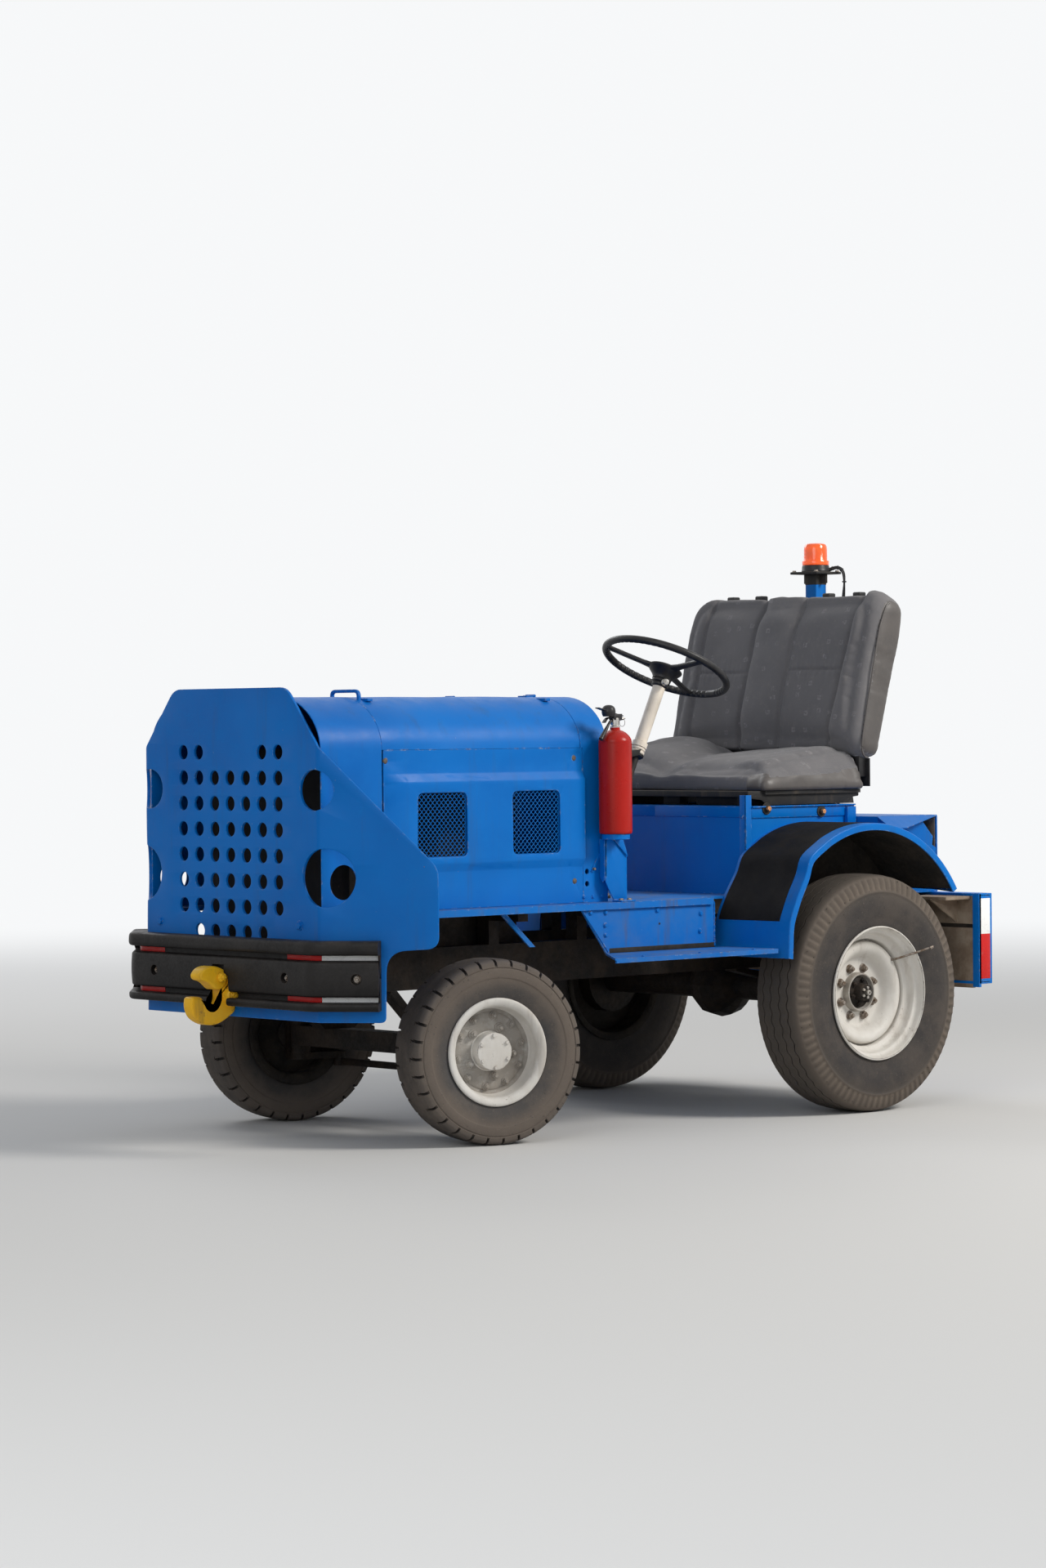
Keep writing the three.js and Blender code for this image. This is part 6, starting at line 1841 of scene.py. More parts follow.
def undersideShape():
    # A near-black lining on the fender's underside and along its inner edge.
    look = fenderLook
    inner, outer, radius = look["inside"] + 0.0055, look["outer"] - 0.0055, look["radius"] - look["sheet"]
    loop = np.array(
        [
            (inner, radius - 0.002), (outer, radius - 0.002), (outer, radius + 0.0005),
            (inner, radius + 0.0005)
        ]
    )
    start, end = look["arc"]
    darkArc = arcSweep(loop, start + 0.3, end - 0.3, 60)
    angle = np.linspace(start + 0.6, end - 0.6, 60)
    x, z = arcPlace(radius - 0.0012, angle, inner)
    return together(darkArc, sideways(np.stack([x, z], -1), inner - 0.001, inner + 0.0015, 0.0004, 1))


def gripShape():
    start, end, inner, outer = fenderLook["grip"]
    radius = fenderLook["radius"]
    loop = np.array(
        [
            (inner, radius - 0.0005), (outer, radius - 0.0005), (outer, radius + 0.0012),
            (inner, radius + 0.0012)
        ]
    )
    return arcSweep(loop, start, end, 40)


def weldSeam(path, width, seed):
    # A hand-laid weld: a thin bead whose width comes and goes.
    path = np.array(path, float)
    steps = max(12, int(np.linalg.norm(path[-1] - path[0]) / 0.004))
    t = np.linspace(0, 1, steps)
    line = np.stack([np.interp(t, np.linspace(0, 1, len(path)), path[:, k]) for k in range(3)], -1)
    size = 1 + 0.25 * np.sin(np.arange(steps) * 1.9 + seed) + 0.15 * np.sin(np.arange(steps) * 0.63 * seed)
    return tube(line, width / 2, 6, (0.3, 0.2, 1), scale=size)


bodyLook = {
    "front": rearAxleX - 0.2033, "rear": rearAxleX - 0.488, "half": 0.5, "low": 0.6663, "high": 0.915,
    "sheet": 0.005,
}


def rearBodyShape():
    # A trough open at both ends: bent sheet with a lip, its sides cut round the fenders.
    look = bodyLook
    front, rear, low, high, sheet = (look[key] for key in ("front", "rear", "low", "high", "sheet"))
    outline = softened([(rear, low), (front, low), (front, high), (rear, high)], 0.006, 3)
    inner = softened(
        [
            (rear + sheet, low + sheet), (front - sheet, low + sheet), (front - sheet, high - sheet),
            (rear + sheet, high - sheet)
        ],
        0.003, 3
    )
    stations = np.array([-1, -0.994, 0.994, 1]) * look["half"]
    rings = lambda loop: np.stack(
        [np.column_stack([loop[:, 0], np.full(len(loop), y), loop[:, 1]]) for y in stations]
    )
    outside, inside = rings(outline), rings(inner)
    ends = [grid(np.stack([outside[k], inside[k]]), wrapColumns=True) for k in (0, -1)]
    return together(grid(outside, wrapColumns=True), grid(inside, wrapColumns=True), *ends)


def bodyEnd():
    # The end plate, hollowed along the fender's arc and cut away at its upper rear corner, and a
    # slanting sheet down to the fender.
    look = bodyLook
    front, rear, low, high = (look[key] for key in ("front", "rear", "low", "high"))
    x, z = arcPlace(fenderLook["radius"] + 0.0006, np.linspace(121.0, 150.9, 14))
    corners = [
        (rear, low + 0.001), (rear, 0.806), (rear + 0.024, 0.818), (rear + 0.02, 0.845),
        (rear + 0.069, 0.895), (rear + 0.107, high - 0.001), (front, high - 0.001)
    ]
    outline = np.vstack([corners, np.stack([x, z], -1)])
    plate = sideways(outline, 0.495, 0.4985)
    top = np.array(
        [(front, 0.499, high), (rear + 0.001, 0.499, high), (-1.055, 0.56, 0.879), (front, 0.56, 0.879)]
    )
    return together(plate, loft(np.stack([top, top - [0, 0, 0.003]])))


def bodyLining():
    # The bare, rusty inside that shows through the cut corner.
    look = bodyLook
    return block(
        (look["rear"] + 0.0055, 0.44, look["low"] + 0.006),
        (look["rear"] + 0.0075, 0.4945, look["high"] - 0.006), 0.0004
    )


fenderParts = [(fenderShape(), bluePaint), (gripShape(), antiSlip), (undersideShape(), dirtAndShadeDark)]
makePair("rear_fender_sheet", fenderParts, "rear_fender")
rearBody = makePiece(
    "rear_body_sheet", [(rearBodyShape(), bluePaint), (bothSides(bodyLining()), rustySheet)],
    ["rear_body"]
)
x, z = fenderLook["centre"]
drill(rearBody, bothSides(rod((x, -0.9, z), (x, -0.3995, z), fenderLook["radius"] + 0.0003, 0.0, 96)))
makePiece("rear_body_ends", [(bothSides(bodyEnd()), bluePaint)])

plateBack = {
    "rear": rearAxleX - 0.52, "thick": 0.062, "half": 0.702, "low": 0.377, "high": 0.666,
    "ledge": rearAxleX - 0.34,
}


def rearPlateParts():
    # A deep frame of plate: back sheet with turned-in edges, ribs across its open front, a ledge and gussets.
    look = plateBack
    rear, thick, half, low, high = (look[key] for key in ("rear", "thick", "half", "low", "high"))
    front = rear + thick
    sheet = 0.009
    edges = [
        (-half, low, half, low + sheet), (-half, high - sheet, half, high),
        (half - sheet, low + 0.004, half, high - 0.004), (-half, low + 0.004, -half + sheet, high - 0.004),
    ]
    parts = [block((rear, -half, low), (rear + 0.012, half, high), 0.002)]
    parts += [block((rear + 0.01, y0, z0), (front, y1, z1), 0.0015) for y0, z0, y1, z1 in edges]
    for side in (-1, 1):
        parts.append(
            block(
                (front - 0.01, side * (half - 0.027), low - 0.01), (front + 0.001, side * half, high),
                0.0012
            )
        )
    # rusty inner sheets, parted by a groove that holds a near-black strip of painted shade, under a ledge of
    # the same bare steel
    edge = half - 0.027
    inner = [
        block((front - 0.012, -edge, 0.568), (front - 0.001, edge, high - 0.0085), 0.001),
        block((front - 0.012, -edge, low - 0.013), (front - 0.001, edge, 0.5555), 0.001),
        block(
            (front - 0.002, -half + 0.02, high - 0.019), (look["ledge"], half - 0.035, high - 0.009), 0.0015
        ),
    ]
    for y in (-0.608, 0.6):
        outline = np.array(
            [
                (front - 0.002, high - 0.095), (look["ledge"] + 0.01, high - 0.016),
                (front - 0.002, high - 0.012)
            ]
        )
        inner.append(sideways(softened(outline, 0.002, 2), y, y + 0.008, 0.001))
    inner.append(
        weldSeam([(front, -half + 0.07, high - 0.0195), (front, half - 0.07, high - 0.0195)], 0.005, 2)
    )
    # the groove's near-black strip: painted shade
    return parts, inner, block((front - 0.012, -edge, 0.555), (front - 0.0055, edge, 0.5685), 0.0)


plateParts, innerParts, plateGrooveShade = rearPlateParts()
tape = []
x = plateBack["rear"]
for low, high, colour in ((0.537, 0.65, whiteTape), (0.394, 0.537, redTape)):
    tape.append((block((x + 0.01, 0.7015, low), (x + 0.0535, 0.7027, high), 0.0004), colour))
for k in range(14):
    y0, y1 = -0.7 + k * 0.1, -0.7 + (k + 1) * 0.1
    strip = block((x - 0.0009, y0 + 0.001, 0.6), (x + 0.0004, y1 - 0.001, 0.648), 0.0003)
    tape.append((strip, redTape if k % 2 else whiteTape))
makePiece(
    "rear_plate_frame",
    [
        (together(*plateParts), bluePaint), (together(*innerParts), rustySheet), (plateGrooveShade, dirtAndShadeDark),
        *tape
    ],
    ["rear_plate"],
)


def hitchShape():
    look = plateBack
    x, z = look["rear"], (look["high"] + look["low"]) / 2 - 0.04
    reach = 0.096
    parts = [block((x - 0.016, -0.07, z - 0.062), (x - 0.0003, 0.07, z + 0.062), 0.003)]
    for k in (0, 1):
        low = z - 0.045 + k * 0.068
        corners = [(x - 0.001, -0.05), (x - 0.001, 0.05), (x - reach, 0.034), (x - reach, -0.034)]
        outline = softened(corners, [0.002, 0.002, 0.026, 0.026], 6)
        parts.append(prism(outline, low, low + 0.022, 0.003, 3))
    pin = rod((x - 0.062, 0, z - 0.0615), (x - 0.062, 0, z + 0.0735), 0.015, 0.003, 28)
    cap = rod((x - 0.062, 0, z + 0.046), (x - 0.062, 0, z + 0.056), 0.022, 0.002, 28)
    bolts = scatter(
        boltHead(0.0105, 0.008, 0.014, 0.005),
        [(x - 0.016, y, z + dz) for y in (-0.054, 0.054) for dz in (-0.044, 0.044)], (-1, 0, 0),
    )
    return parts, [pin, cap], bolts


jaws, pins, hitchBolts = hitchShape()
makePiece(
    "rear_hitch_jaws", [(together(*jaws), castIron), (together(*pins), zincSteel), (hitchBolts, boltSteel)],
    ["rear_hitch"],
)
print("rear made")


# ---- beacon and its loom ----
beaconLook = {"x": rearAxleX - 0.455, "post": 0.05, "table": 0.12, "tableZ": 1.706, "thick": 0.008}


def beaconPieces():
    look = beaconLook
    x, z = look["x"], look["tableZ"]
    half, table, top = look["post"] / 2, look["table"] / 2, look["tableZ"] + look["thick"]
    post = block((x - half, -half, 0.9153), (x + half, half, z + 0.001), 0.005, 4)
    plate = block((x - table, -table, z), (x + table, table, top), 0.0022, 3)
    collar = block(
        (x - half - 0.0008, -half - 0.0008, z - 0.036), (x + half + 0.0008, half + 0.0008, z + 0.001),
        0.004, 4
    )
    foot = block(
        (x - half - 0.024, -half - 0.024, 0.9153), (x + half + 0.024, half + 0.024, 0.9213), 0.0015
    )
    ears = [
        block(
            (x - 0.004, side * half, z - 0.03), (x + 0.004, side * (table - 0.01), z + 0.001), 0.001
        ) for side in (1, -1)
    ]
    four = lambda away, z: [(x + a * away, b * away, z) for a in (-1, 1) for b in (-1, 1)]
    bolts = scatter(boltHead(0.0065, 0.005, 0.0085), four(0.05, top))
    postBolts = scatter(boltHead(0.0075, 0.006, 0.01), four(0.038, 0.9213))
    makePiece(
        "beacon_post_bar",
        [
            (together(post, foot), bluePaint), (together(plate, collar, *ears), blackPaint),
            (bolts, boltSteel), (postBolts, boltSteel)
        ],
        ["beacon_post"],
    )
    base = top + 0.0003
    profile = [
        (0, 0), (0.0465, 0), (0.047, 0.003), (0.0455, 0.006), (0.045, 0.017), (0.044, 0.02), (0.043, 0.022),
        (0, 0.022)
    ]
    gland = tube([(x - 0.018, 0.033, base + 0.0062), (x - 0.0245, 0.0425, base + 0.0065)], 0.0072, 14)
    makePiece(
        "beacon_base_cup", [(turned(profile, 64, (x, 0, base)), blackPlastic), (gland, blackPlastic)],
        ["beacon_base"]
    )
    dome = [
        (0, 0.0001), (0.044, 0.0001), (0.0445, 0.0015), (0.0445, 0.012), (0.0438, 0.0138), (0.0398, 0.0142),
        (0.039, 0.016), (0.0384, 0.052), (0.0372, 0.061), (0.0335, 0.0685), (0.027, 0.0715),
        (0.018, 0.0722), (0, 0.0724)
    ]
    shell = turned(dome, 72, (x, 0, base + 0.0223))
    bowl = [
        (0, 0.006), (0.01, 0.006), (0.01, 0.016), (0.024, 0.02), (0.03, 0.034), (0.031, 0.05),
        (0.0295, 0.05), (0.022, 0.024), (0.006, 0.021), (0.0045, 0.045), (0, 0.047)
    ]
    inside = turned(bowl, 40, (x, 0, base + 0.0223))
    makePiece(
        "beacon_dome_lens", [(shell, amberPlastic), (inside, reflectorMetal)],
        ["beacon_dome"]
    )


loomLook = {
    # behind the beacon's centre, to its left, above the start (metres)
    "route": [
        (-0.024, 0.0416, 0), (-0.031, 0.053, 0.005), (-0.038, 0.065, 0.006), (-0.044, 0.075, 0.0),
        (-0.048, 0.081, -0.014), (-0.049, 0.083, -0.034), (-0.048, 0.083, -0.062), (-0.042, 0.081, -0.14),
        (-0.03, 0.079, -0.3), (-0.016, 0.079, -0.56), (-0.014, 0.082, -0.8056),
    ],
    "strand": 0.0034, "apart": 0.003, "twist": 11.0, "tape": (0.07, 0.19, 0.3, 0.52, 0.74),
}


def loomPath():
    start = (beaconLook["x"], 0, beaconLook["tableZ"] + beaconLook["thick"] + 0.007)
    return smoothPath(np.array(loomLook["route"]) + start, 14)


def loomShape():
    # Two strands wound loosely round each other along the loom's route, with tape round them.
    path = loomPath()
    length = np.concatenate([[0], np.cumsum(np.linalg.norm(np.diff(path, axis=0), axis=1))])
    ahead, side = unit(np.gradient(path, axis=0)), (0.9, 0.3, 0.1)
    across = unit(np.cross(ahead, side))
    rise = np.cross(across, ahead)
    strands = []
    for turn in (0, math.pi):
        angle = length[:, None] * loomLook["twist"] * 2 + turn
        wound = path + loomLook["apart"] * (np.cos(angle) * across + np.sin(angle) * rise)
        strands.append(tube(wound, loomLook["strand"], 10, side))
    starts = [int(share * len(path)) for share in loomLook["tape"]]
    wraps = [tube(path[k : k + 4], 0.0072, 12, side) for k in starts]
    return together(*strands), together(*wraps), float(length[-1])


beaconPieces()
loom, wraps, loomLength = loomShape()
loomPiece = makePiece(
    "beacon_loom", [(loom, blackPlastic), (wraps, blackPlastic)], ["beacon_cable"]
)
print("beacon made")


# ---- steering column and wheel ----
steerPlace, steerUp = (np.array(joints["steering_spin"][key]) for key in ("pos_m", "axis"))
steerAhead = np.array([steerUp[2], 0, -steerUp[0]])
steerTurn = np.stack([steerAhead, [0, 1, 0], steerUp], -1)  # local: x forward-up, y left, z along the column
steerLook = {"ring": 0.197, "grip": 0.012, "spokes": (80, 200, 320), "notches": 62}


def steeringWheelShape():
    look = steerLook
    ring, grip = look["ring"], look["grip"]
    section = circle(grip, 20) * [1, 0.96] + [ring, 0]

    def notches(angle, profile):
        inward = np.clip((ring - profile[None, :, 0]) / grip, 0, 1)
        wave = 0.5 - 0.5 * np.cos(angle * look["notches"])
        spoke = 1
        for place in look["spokes"]:
            away = np.abs((angle - math.radians(place) + math.pi) % (2 * math.pi) - math.pi)
            spoke = spoke * np.clip((away - 0.1) / 0.05, 0, 1)
        return 0.0042 * inward**0.7 * wave**1.5 * spoke

    rim = turned(section, look["notches"] * 8, closed=True, wobble=notches)
    rim = rim.moved((0, 0, 0), np.array([[0, -1, 0], [1, 0, 0], [0, 0, 1]]) @ basis((0, 0, 1)).T)
    spokes = []
    for place in look["spokes"]:
        angle = math.radians(place)
        away = aroundAxis(1, angle, 0)
        t = np.array([0, 0.12, 0.3, 0.6, 0.85, 1.0])
        path = away * (0.026 + t[:, None] * (ring - 0.028)) + np.stack(
            [0 * t, 0 * t, -0.011 + 0.0105 * t**1.3], -1
        )
        wide = np.interp(t, [0, 0.12, 0.3, 0.85, 1], [1.75, 1.45, 1.0, 0.82, 1.15])
        tall = np.interp(t, [0, 0.3, 1], [1.25, 1.0, 1.0])
        spokes.append(sweep(path, rounded(0.0235, 0.012, 0.0055, 4), scale=np.stack([wide, tall], -1)))
        spokes.append(sweep(path + [0, 0, 0.0052], rounded(0.0085, 0.006, 0.0028, 3)))
    hub = smoothPath(
        [
            (0.012, -0.001), (0.042, -0.0025), (0.054, -0.007), (0.0545, -0.012), (0.047, -0.021),
            (0.037, -0.031), (0.031, -0.04), (0.03, -0.047)
        ],
        5
    )
    hub = np.vstack([[(0, -0.001)], hub, [(0, -0.0475)]])
    cap = [(0, 0.0055), (0.016, 0.0047), (0.021, 0.002), (0.0225, -0.0025), (0, -0.0035)]
    screws = scatter(screwHead(0.0032), aroundAxis(0.036, np.array([0.4, 2.5, 4.6]), -0.002))
    body = together(rim, *spokes, turned(hub, 48), turned(cap, 40))
    return body.moved(steerPlace, steerTurn), screws.moved(steerPlace, steerTurn)


wheelBody, wheelScrews = steeringWheelShape()
makePiece(
    "steering_wheel_grip", [(wheelBody, blackPlastic), (wheelScrews, boltSteel)],
    ["steering_wheel"], "steering_wheel",
)


def columnPieces():
    below = lambda profile: turned([(r, -d) for r, d in profile], 40).moved(steerPlace, steerTurn)
    jacket = [
        (0, 0.07), (0.0185, 0.07), (0.02, 0.072), (0.02, 0.279), (0.0232, 0.2815), (0.0232, 0.2875),
        (0.0205, 0.2895), (0.0232, 0.2915), (0.0232, 0.2985), (0.02, 0.302), (0, 0.302)
    ]
    collar = [
        (0, 0.0484), (0.028, 0.0484), (0.0292, 0.051), (0.0285, 0.056), (0.024, 0.059), (0.0262, 0.062),
        (0.0255, 0.068), (0.021, 0.072), (0, 0.0725)
    ]
    cup = [(0, 0.3015), (0.024, 0.3015), (0.0235, 0.308), (0.018, 0.313), (0, 0.313)]
    length = (steerPlace[2] - 0.6803 - 0.014) / steerUp[2]
    shaft = [
        (0, 0.312), (0.012, 0.312), (0.012, 0.38), (0.016, 0.382), (0.016, 0.42), (0.012, 0.422),
        (0.012, length - 0.03), (0.016, length - 0.028), (0.016, length), (0, length)
    ]
    foot = steerPlace - steerUp * length
    plate = block((foot[0] - 0.05, 0.155, 0.6804), (foot[0] + 0.05, 0.245, 0.6904), 0.002)
    boot = turned(
        smoothPath(
            [(0.04, 0.0), (0.034, 0.01), (0.03, 0.018), (0.024, 0.026), (0.02, 0.03), (0.017, 0.045)], 4
        ),
        32, (foot[0], 0.2, 0.69), steerUp
    )
    bolts = scatter(
        boltHead(0.0075, 0.006, 0.01),
        [(foot[0] + a * 0.04, 0.2 + b * 0.036, 0.6904) for a in (-1, 1) for b in (-1, 1)]
    )
    knob = turned(
        [(0, 0), (0.008, 0), (0.008, 0.01), (0.0115, 0.013), (0.012, 0.02), (0.009, 0.026), (0, 0.0275)],
        24, steerPlace - steerUp * 0.056 + [0.01, 0.022, 0], (0.35, 0.93, 0.1)
    )
    jacketFoot = steerPlace - steerUp * 0.302
    (x, _, z), wall = jacketFoot, hoodLook["cowlRear"] - 0.0003
    arm = [(wall, 1.074), (x + 0.01, z - 0.004), (x - 0.004, z + 0.016), (wall, 1.108)]
    bracket = sideways(softened(arm, 0.004, 2), 0.178, 0.222, 0.002)
    clamp = turned(
        [(0.0202, -0.262), (0.0245, -0.262), (0.0245, -0.279), (0.0202, -0.279)], 40, closed=True
    ).moved(steerPlace, steerTurn)
    makePiece(
        "steering_column_jacket",
        [
            (below(jacket), creamPaint), (together(below(collar), below(cup), boot), blackPlastic),
            (together(below(shaft), plate), blackPaint), (bolts, boltSteel), (knob, zincSteel),
            (bracket, blackPaint), (clamp, creamPaint)
        ],
        ["steering_column"],
    )


columnPieces()


# ---- extinguisher ----
bottle = {"x": noseX - 1.11, "y": 0.455, "foot": 0.885, "radius": 0.05}


def extinguisherPieces():
    x, y, foot = bottle["x"], bottle["y"], bottle["foot"]
    at = lambda dx, dy, dz: np.array([x + dx, y + dy, foot + dz])
    cylinder = [
        (0, 0.004), (0.042, 0.0002), (0.047, 0.001), (0.0495, 0.005), (0.05, 0.01), (0.05, 0.27),
        (0.0497, 0.274), (0.05, 0.2765), (0.0495, 0.28), (0.048, 0.285), (0.043, 0.2935), (0.034, 0.303),
        (0.024, 0.309), (0.0175, 0.311), (0.015, 0.313), (0.015, 0.3198), (0, 0.3199)
    ]
    makePiece(
        "extinguisher_cylinder", [(turned(cylinder, 72, at(0, 0, 0)), redPaint)],
        ["extinguisher_bottle"]
    )
    z = 0.3203
    neck = [
        (0, z), (0.0148, z), (0.015, z + 0.003), (0.0128, z + 0.005), (0.0128, z + 0.026),
        (0.0105, z + 0.029), (0.0105, z + 0.036), (0, z + 0.037)
    ]
    metal = [
        turned(neck, 32, at(0, 0, 0)),
        rod(at(-0.008, 0, z + 0.022), at(-0.036, 0, z + 0.026), 0.0042, 0.001, 12),
        rod(at(-0.036, 0, z + 0.026), at(-0.042, 0, z + 0.027), 0.0028, 0.001, 12)
    ]
    lever = sweep(
        smoothPath(
            [
                at(-0.026, 0, z + 0.034), at(-0.01, 0, z + 0.037), at(0.03, 0, z + 0.047),
                at(0.072, 0, z + 0.058)
            ],
            5
        ),
        rounded(0.02, 0.003, 0.0012, 2)
    )
    lower = sweep(
        smoothPath(
            [
                at(-0.012, 0, z + 0.026), at(0.012, 0, z + 0.03), at(0.034, 0, z + 0.026),
                at(0.046, 0, z + 0.014)
            ],
            5
        ),
        rounded(0.016, 0.003, 0.0012, 2)
    )
    cheeks = [
        block(
            at(-0.02, s * 0.0105 - 0.001, z + 0.022), at(0.014, s * 0.0105 + 0.001, z + 0.04), 0.0008
        ) for s in (-1, 1)
    ]
    dial = turned(
        smoothPath(
            [
                (0.017, 0.0), (0.02, 0.008), (0.021, 0.016), (0.0185, 0.026), (0.012, 0.0325),
                (0.004, 0.0348)
            ],
            5
        ),
        40, at(0.026, 0, z + 0.032)
    )
    horn = smoothPath(
        [
            at(0.006, 0, z + 0.024), at(0.022, 0.002, z + 0.016), at(0.044, 0.006, z - 0.008),
            at(0.068, 0.01, z - 0.036)
        ],
        6
    )
    pipe = tube(
        horn, 0.005, 14, (0, 1, 0),
        scale=np.interp(np.linspace(0, 1, len(horn)), [0, 0.5, 0.62, 1], [0.9, 0.85, 1.1, 1.45])
    )
    ring = tube(
        [
            at(
                -0.03, 0.012 * math.cos(a), z + 0.014 + 0.012 * math.sin(a)
            ) for a in np.linspace(0, 2 * math.pi, 25)[:-1]
        ],
        0.0008, 6, (1, 0, 0), closed=True
    )
    makePiece(
        "extinguisher_head",
        [
            (together(*metal), zincSteel), (together(lever, lower, dial, pipe, *cheeks), blackPlastic),
            (ring, boltSteel)
        ],
        ["extinguisher_valve"],
    )
    cup = [
        (0, -0.0163), (0.041, -0.0163), (0.0425, -0.015), (0.0425, -0.0003), (0.0405, -0.0003),
        (0.04, -0.004), (0, -0.004)
    ]
    deck = 0.6803 - foot
    flange = np.array(
        [
            (x - 0.07, 0.6803), (x - 0.018, 0.6803), (x + 0.018, 0.7403), (x + 0.018, foot - 0.0153),
            (x - 0.052, foot - 0.0153), (x - 0.07, foot - 0.05)
        ]
    )
    sheet = sideways(
        softened(flange, [0.002, 0.002, 0.004, 0.003, 0.012, 0.012], 3), y - 0.03, y - 0.0262, 0.0008
    )
    tongue = np.array(
        [
            (-0.054, deck + 0.075), (-0.04, deck + 0.058), (-0.0262, deck + 0.075), (-0.0262, -0.0153),
            (-0.054, -0.0153)
        ]
    )
    front = lengthways(softened(tongue, 0.002, 2) + [y, foot], x + 0.0142, x + 0.018, 0.0008)
    base = block((x - 0.07, y - 0.029, 0.6803), (x - 0.01, y + 0.012, 0.685), 0.001)
    webs = [
        sideways(
            softened(
                np.array([(x - 0.05, foot - 0.016), (x - 0.01, foot - 0.016), (x - 0.07, foot - 0.072)]),
                0.002, 2
            ),
            y - 0.024, y - 0.0205, 0.0006
        )
    ]
    welds = [
        weldSeam([(x + 0.018, y - 0.03, 0.745), (x + 0.018, y - 0.03, foot - 0.018)], 0.006, 3),
        weldSeam([(x - 0.068, y - 0.031, 0.6815), (x - 0.02, y - 0.031, 0.6815)], 0.005, 5)
    ]
    bolts = scatter(
        boltHead(0.007, 0.0055, 0.0095), [(x - 0.058, y - 0.004, 0.685), (x - 0.024, y - 0.004, 0.685)]
    )
    makePiece(
        "extinguisher_bracket",
        [
            (together(turned(cup, 56, at(0, 0, 0)), sheet, front, base, *webs, *welds), bluePaint),
            (bolts, boltSteel)
        ],
        ["extinguisher_stand"],
    )


extinguisherPieces()
print("driver's controls made")


# ---- bulkhead, pedals, step fasteners, seat box trim ----
def bulkheadParts():
    # The cowl's closed rear wall with a small plate of dials, a key switch and two pull knobs.
    x = hoodLook["cowlRear"]
    wall = lengthways(archLoop(0.0015, 0.6815), x + 0.0006, x + 0.0056, 0.0008)
    plate = block((x - 0.003, -0.19, 1.13), (x + 0.001, 0.06, 1.236), 0.0015)
    facing = lambda profile, count, y, z: turned(profile, count, (x - 0.003, y, z), (-1, 0, 0))
    rings, glass = [], []
    for y, z, r in ((-0.138, 1.184, 0.03), (-0.062, 1.184, 0.03), (0.008, 1.192, 0.02)):
        rim = [
            (0, 0), (r, 0), (r + 0.002, 0.002), (r, 0.006), (r - 0.003, 0.007), (r - 0.0035, 0.0045),
            (0, 0.0045)
        ]
        rings.append(facing(rim, 40, y, z))
        glass.append(
            facing([(0, 0.0044), (r - 0.0036, 0.0044), (r - 0.004, 0.0052), (0, 0.0056)], 40, y, z)
        )
    knob = [
        (0, 0), (0.004, 0), (0.004, 0.01), (0.0095, 0.013), (0.0095, 0.019), (0.005, 0.021), (0, 0.0212)
    ]
    knobs = [facing(knob, 20, y, 1.15) for y in (-0.01, 0.03)]
    key = facing([(0, 0), (0.011, 0), (0.011, 0.004), (0.008, 0.007), (0, 0.0072)], 24, -0.06, 1.142)
    return wall, plate, together(*rings, key), together(*glass), together(*knobs)


bulkhead, dialPlate, dialRings, dialGlass, knobs = bulkheadParts()
makePiece("cowl_bulkhead", [(bulkhead, bluePaint)])
makePiece(
    "dial_plate",
    [(dialPlate, blackPaint), (dialRings, zincSteel), (together(dialGlass, knobs), blackPlastic)],
)

pedalLook = {
    "back": noseX - 1.1303, "hang": 0.915, "places": (0.04, 0.115, 0.285),
    # side views from the hanger: the arm, the pad
    "arm": [
        (-0.108, -0.131), (-0.122, -0.125), (-0.07, -0.052), (-0.02, 0.011), (-0.012, -0.007),
        (-0.06, -0.066)
    ],
    "pad": [(-0.13, -0.089), (-0.14, -0.095), (-0.106, -0.151), (-0.096, -0.145)],
}


def pedalParts():
    look = pedalLook
    start = np.array([look["back"], look["hang"]])
    arm, pad = np.array(look["arm"]) + start, np.array(look["pad"]) + start
    bar = [block((look["back"] - 0.014, 0.02, 0.905), (look["back"], 0.31, 0.93), 0.003)]
    pads, ribs, bosses = [], [], []
    along = unit(pad[2] - pad[1])
    for y in look["places"]:
        bar.append(sideways(softened(arm, 0.004, 3), y - 0.008, y + 0.008, 0.0025))
        bosses.append(
            rod(
                (start[0] - 0.016, y - 0.014, 0.9165), (start[0] - 0.016, y + 0.014, 0.9165), 0.013, 0.0015,
                24
            )
        )
        pads.append(sideways(softened(pad, 0.003, 3), y - 0.028, y + 0.028, 0.003))
        for k in range(6):
            place = pad[1] + along * (0.008 + 0.0098 * k)
            ribs.append(
                rod((place[0], y - 0.024, place[1]), (place[0], y + 0.024, place[1]), 0.0022, 0.0006, 8)
            )
    return together(*bar), together(*bosses), together(*pads, *ribs)


pedalArms, pedalBosses, pedalPads = pedalParts()
makePiece(
    "pedal_arms", [(pedalArms, blackPaint), (pedalBosses, castIron), (pedalPads, blackPlastic)],
    ["pedals"],
)

stepLook = {
    "riser": 0.46,
    # bolts on the riser: x, z
    "bolts": [
        (0.235, 0.652), (0.173, 0.651), (-0.042, 0.65), (0.175, 0.6135), (0.173, 0.584), (-0.227, 0.6334),
        (-0.224, 0.58)
    ],
    # the riser's hole (x, z) and the gap at its foot (x from, x to, z from, z to), both filled with painted
    # shade
    "hole": (-0.052, 0.609), "gap": (-0.286, 0.158, 0.5285, 0.543),
    "treadBolts": [(0.215, 0.664), (-0.02, 0.664), (-0.25, 0.664)], "cowlBolts": [0.203, 0.166, 0.128],
}


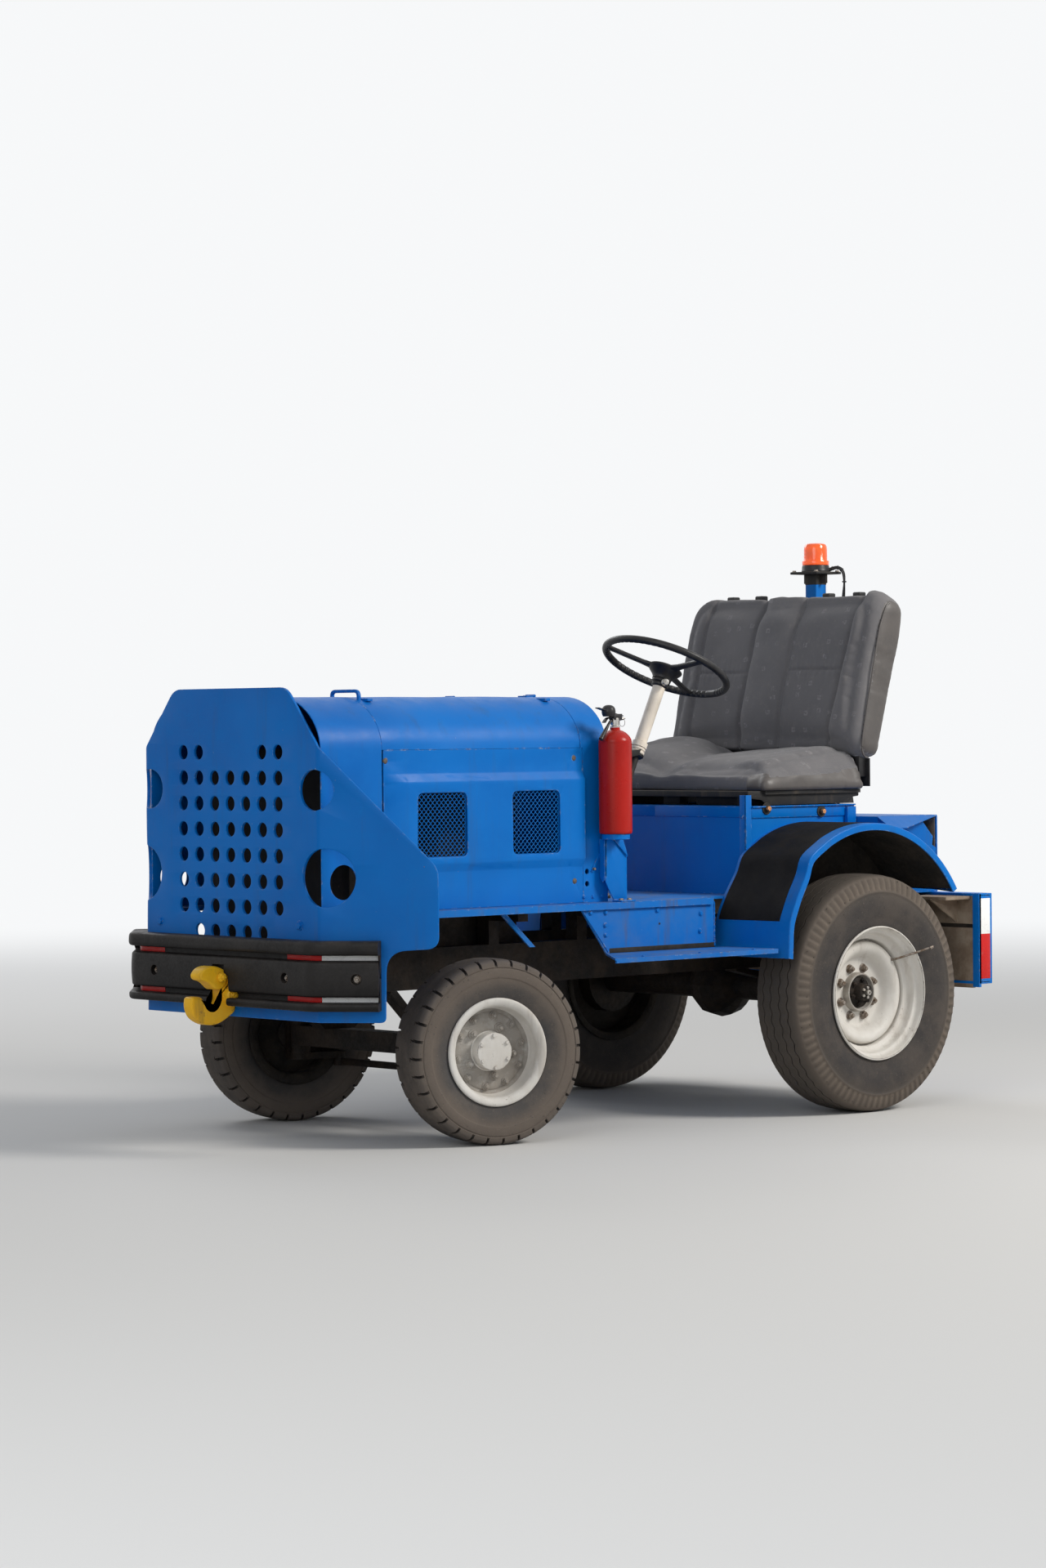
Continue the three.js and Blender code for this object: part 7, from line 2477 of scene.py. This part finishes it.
def stepParts():
    look = stepLook
    y = look["riser"]
    bolts = [
        scatter(
            boltHead(0.0062, 0.0045, 0.0085), [(x, y + 0.0008, z) for x, z in look["bolts"]], (0, 1, 0),
            np.arange(7) * 0.9
        )
    ]
    bolts.append(
        scatter(
            boltHead(0.0045, 0.0035), [(x, across, 0.5283) for x, across in look["treadBolts"]], (0, 0, 1),
            0.5
        )
    )
    bolts.append(
        scatter(
            boltHead(0.005, 0.004, 0.007), [(x, hoodLook["half"], 0.697) for x in look["cowlBolts"]],
            (0, 1, 0), 0.3
        )
    )
    (x0, x1, z0, z1), (x, z) = look["gap"], look["hole"]
    # near-black strip in the gap at the riser's foot and a near-black disc in its hole: painted shade
    dark = [
        block((x0, y, z0), (x1, y + 0.0012, z1), 0.0004),
        rod((x, y, z), (x, y + 0.0008, z), 0.0035, 0.0002, 16)
    ]
    strap = sideways(
        softened(np.array([(0.176, 0.772), (0.166, 0.768), (0.132, 0.822), (0.142, 0.827)]), 0.004, 3),
        0.3975, 0.401, 0.0008
    )
    stud = rod((0.166, 0.397, 0.78), (0.166, 0.409, 0.78), 0.0042, 0.0008, 14)
    welds = [
        weldSeam([(x1 + 0.004, y + 0.0005, 0.531), (0.276, y + 0.0005, 0.668)], 0.005, 4),
        weldSeam([(-0.2865, y + 0.0005, 0.532), (-0.2865, y + 0.0005, 0.668)], 0.005, 6)
    ]
    return together(*bolts), together(*dark), together(strap, *welds), stud


stepBolts, stepShade, stepBlue, stepStud = stepParts()
makePiece(
    "step_fasteners",
    [
        (bothSides(together(stepBolts, stepBlue)), bluePaint), (bothSides(stepShade), dirtAndShadeDark),
        (bothSides(stepStud), boltSteel)
    ],
)

boxLook = {"front": rearAxleX + 0.292, "rear": rearAxleX - 0.203, "half": 0.4, "high": 0.955}


def boxTrim():
    # Angle iron along the seat box's top and corners, with two large bolts each side.
    look = boxLook
    front, rear, half, high = (look[key] for key in ("front", "rear", "half", "high"))
    blue = [
        block((rear + 0.003, half, high - 0.037), (front - 0.024, half + 0.0045, high), 0.001),
        block((rear + 0.003, half, high - 0.0045), (front - 0.024, half + 0.011, high + 0.0002), 0.001),
        block((front - 0.024, half, 0.7), (front + 0.0035, half + 0.0038, 0.99), 0.001),
        block((front, half - 0.022, 0.7), (front + 0.0035, half + 0.0038, 0.99), 0.001),
        block((front, -0.0005, high - 0.034), (front + 0.003, half - 0.022, high), 0.001),
        block(
            (rear + 0.006, half + 0.001, high - 0.062), (rear + 0.046, half + 0.015, high - 0.008), 0.0015
        ),
    ]
    places = [(-0.576, half + 0.0045, 0.947), (-0.824, half + 0.0045, 0.934)]
    washers = scatter(
        turned([(0, 0), (0.0185, 0), (0.019, 0.001), (0.0185, 0.0034), (0, 0.0034)], 28), places, (0, 1, 0)
    )
    spacers = scatter(turned([(0, 0), (0.0105, 0), (0.0105, 0.009), (0, 0.009)], 20), places, (0, 1, 0))
    copper = scatter(
        boltHead(0.0085, 0.006), [(x, y + 0.01, z) for x, y, z in places], (0, 1, 0), [0.3, 0.8]
    )
    corner = boltHead(0.006, 0.0045, 0.0085)
    small = scatter(
        corner, [(front + 0.0035, half - 0.012, 0.715), (front + 0.0035, half - 0.012, 0.925)], (1, 0, 0)
    )
    return together(*blue), together(washers, spacers), copper, small


blueTrim, blackTrim, copperBolts, smallBolts = boxTrim()
makePiece(
    "seat_box_trim",
    [
        (bothSides(blueTrim), bluePaint), (bothSides(blackTrim), blackPaint),
        (bothSides(copperBolts), copperSteel), (bothSides(smallBolts), bluePaint),
    ],
)


def seatTray():
    # The black tray under the cushion: stepped side plates, a front bar, and a flap behind the cushion.
    side = np.array(
        [
            (-0.5, 1.0022), (-1.004, 1.0022), (-1.004, 0.98), (-0.965, 0.976), (-0.905, 0.9575),
            (-0.585, 0.9575), (-0.56, 0.974), (-0.5, 0.98)
        ]
    )
    plates = [sideways(softened(side, 0.004, 2), y, y + 0.004, 0.0008) for y in (0.396, -0.4)]
    bars = [
        block((-0.53, -0.398, 0.984), (-0.505, 0.398, 1.0022), 0.002),
        block((-1.0, -0.398, 0.984), (-0.975, 0.398, 1.0022), 0.002),
        block((-0.64, 0.07, 0.9555), (-0.6, 0.27, 0.995), 0.002),
        block((-0.64, -0.08, 0.9555), (-0.6, -0.006, 0.995), 0.002),
    ]
    flap = [
        block((-1.034, -0.412, 1.01), (-1.0285, 0.424, 1.1), 0.0015),
        block((-1.03, -0.41, 1.04), (-0.996, 0.41, 1.118), 0.004)
    ]
    return together(*plates, *bars), together(*flap)


trayPlates, trayFlap = seatTray()
makePiece("seat_tray", [(trayPlates, blackPaint), (trayFlap, blackPlastic)])
print("fasteners and trim made")


# ---- end ----
print("all pieces made")
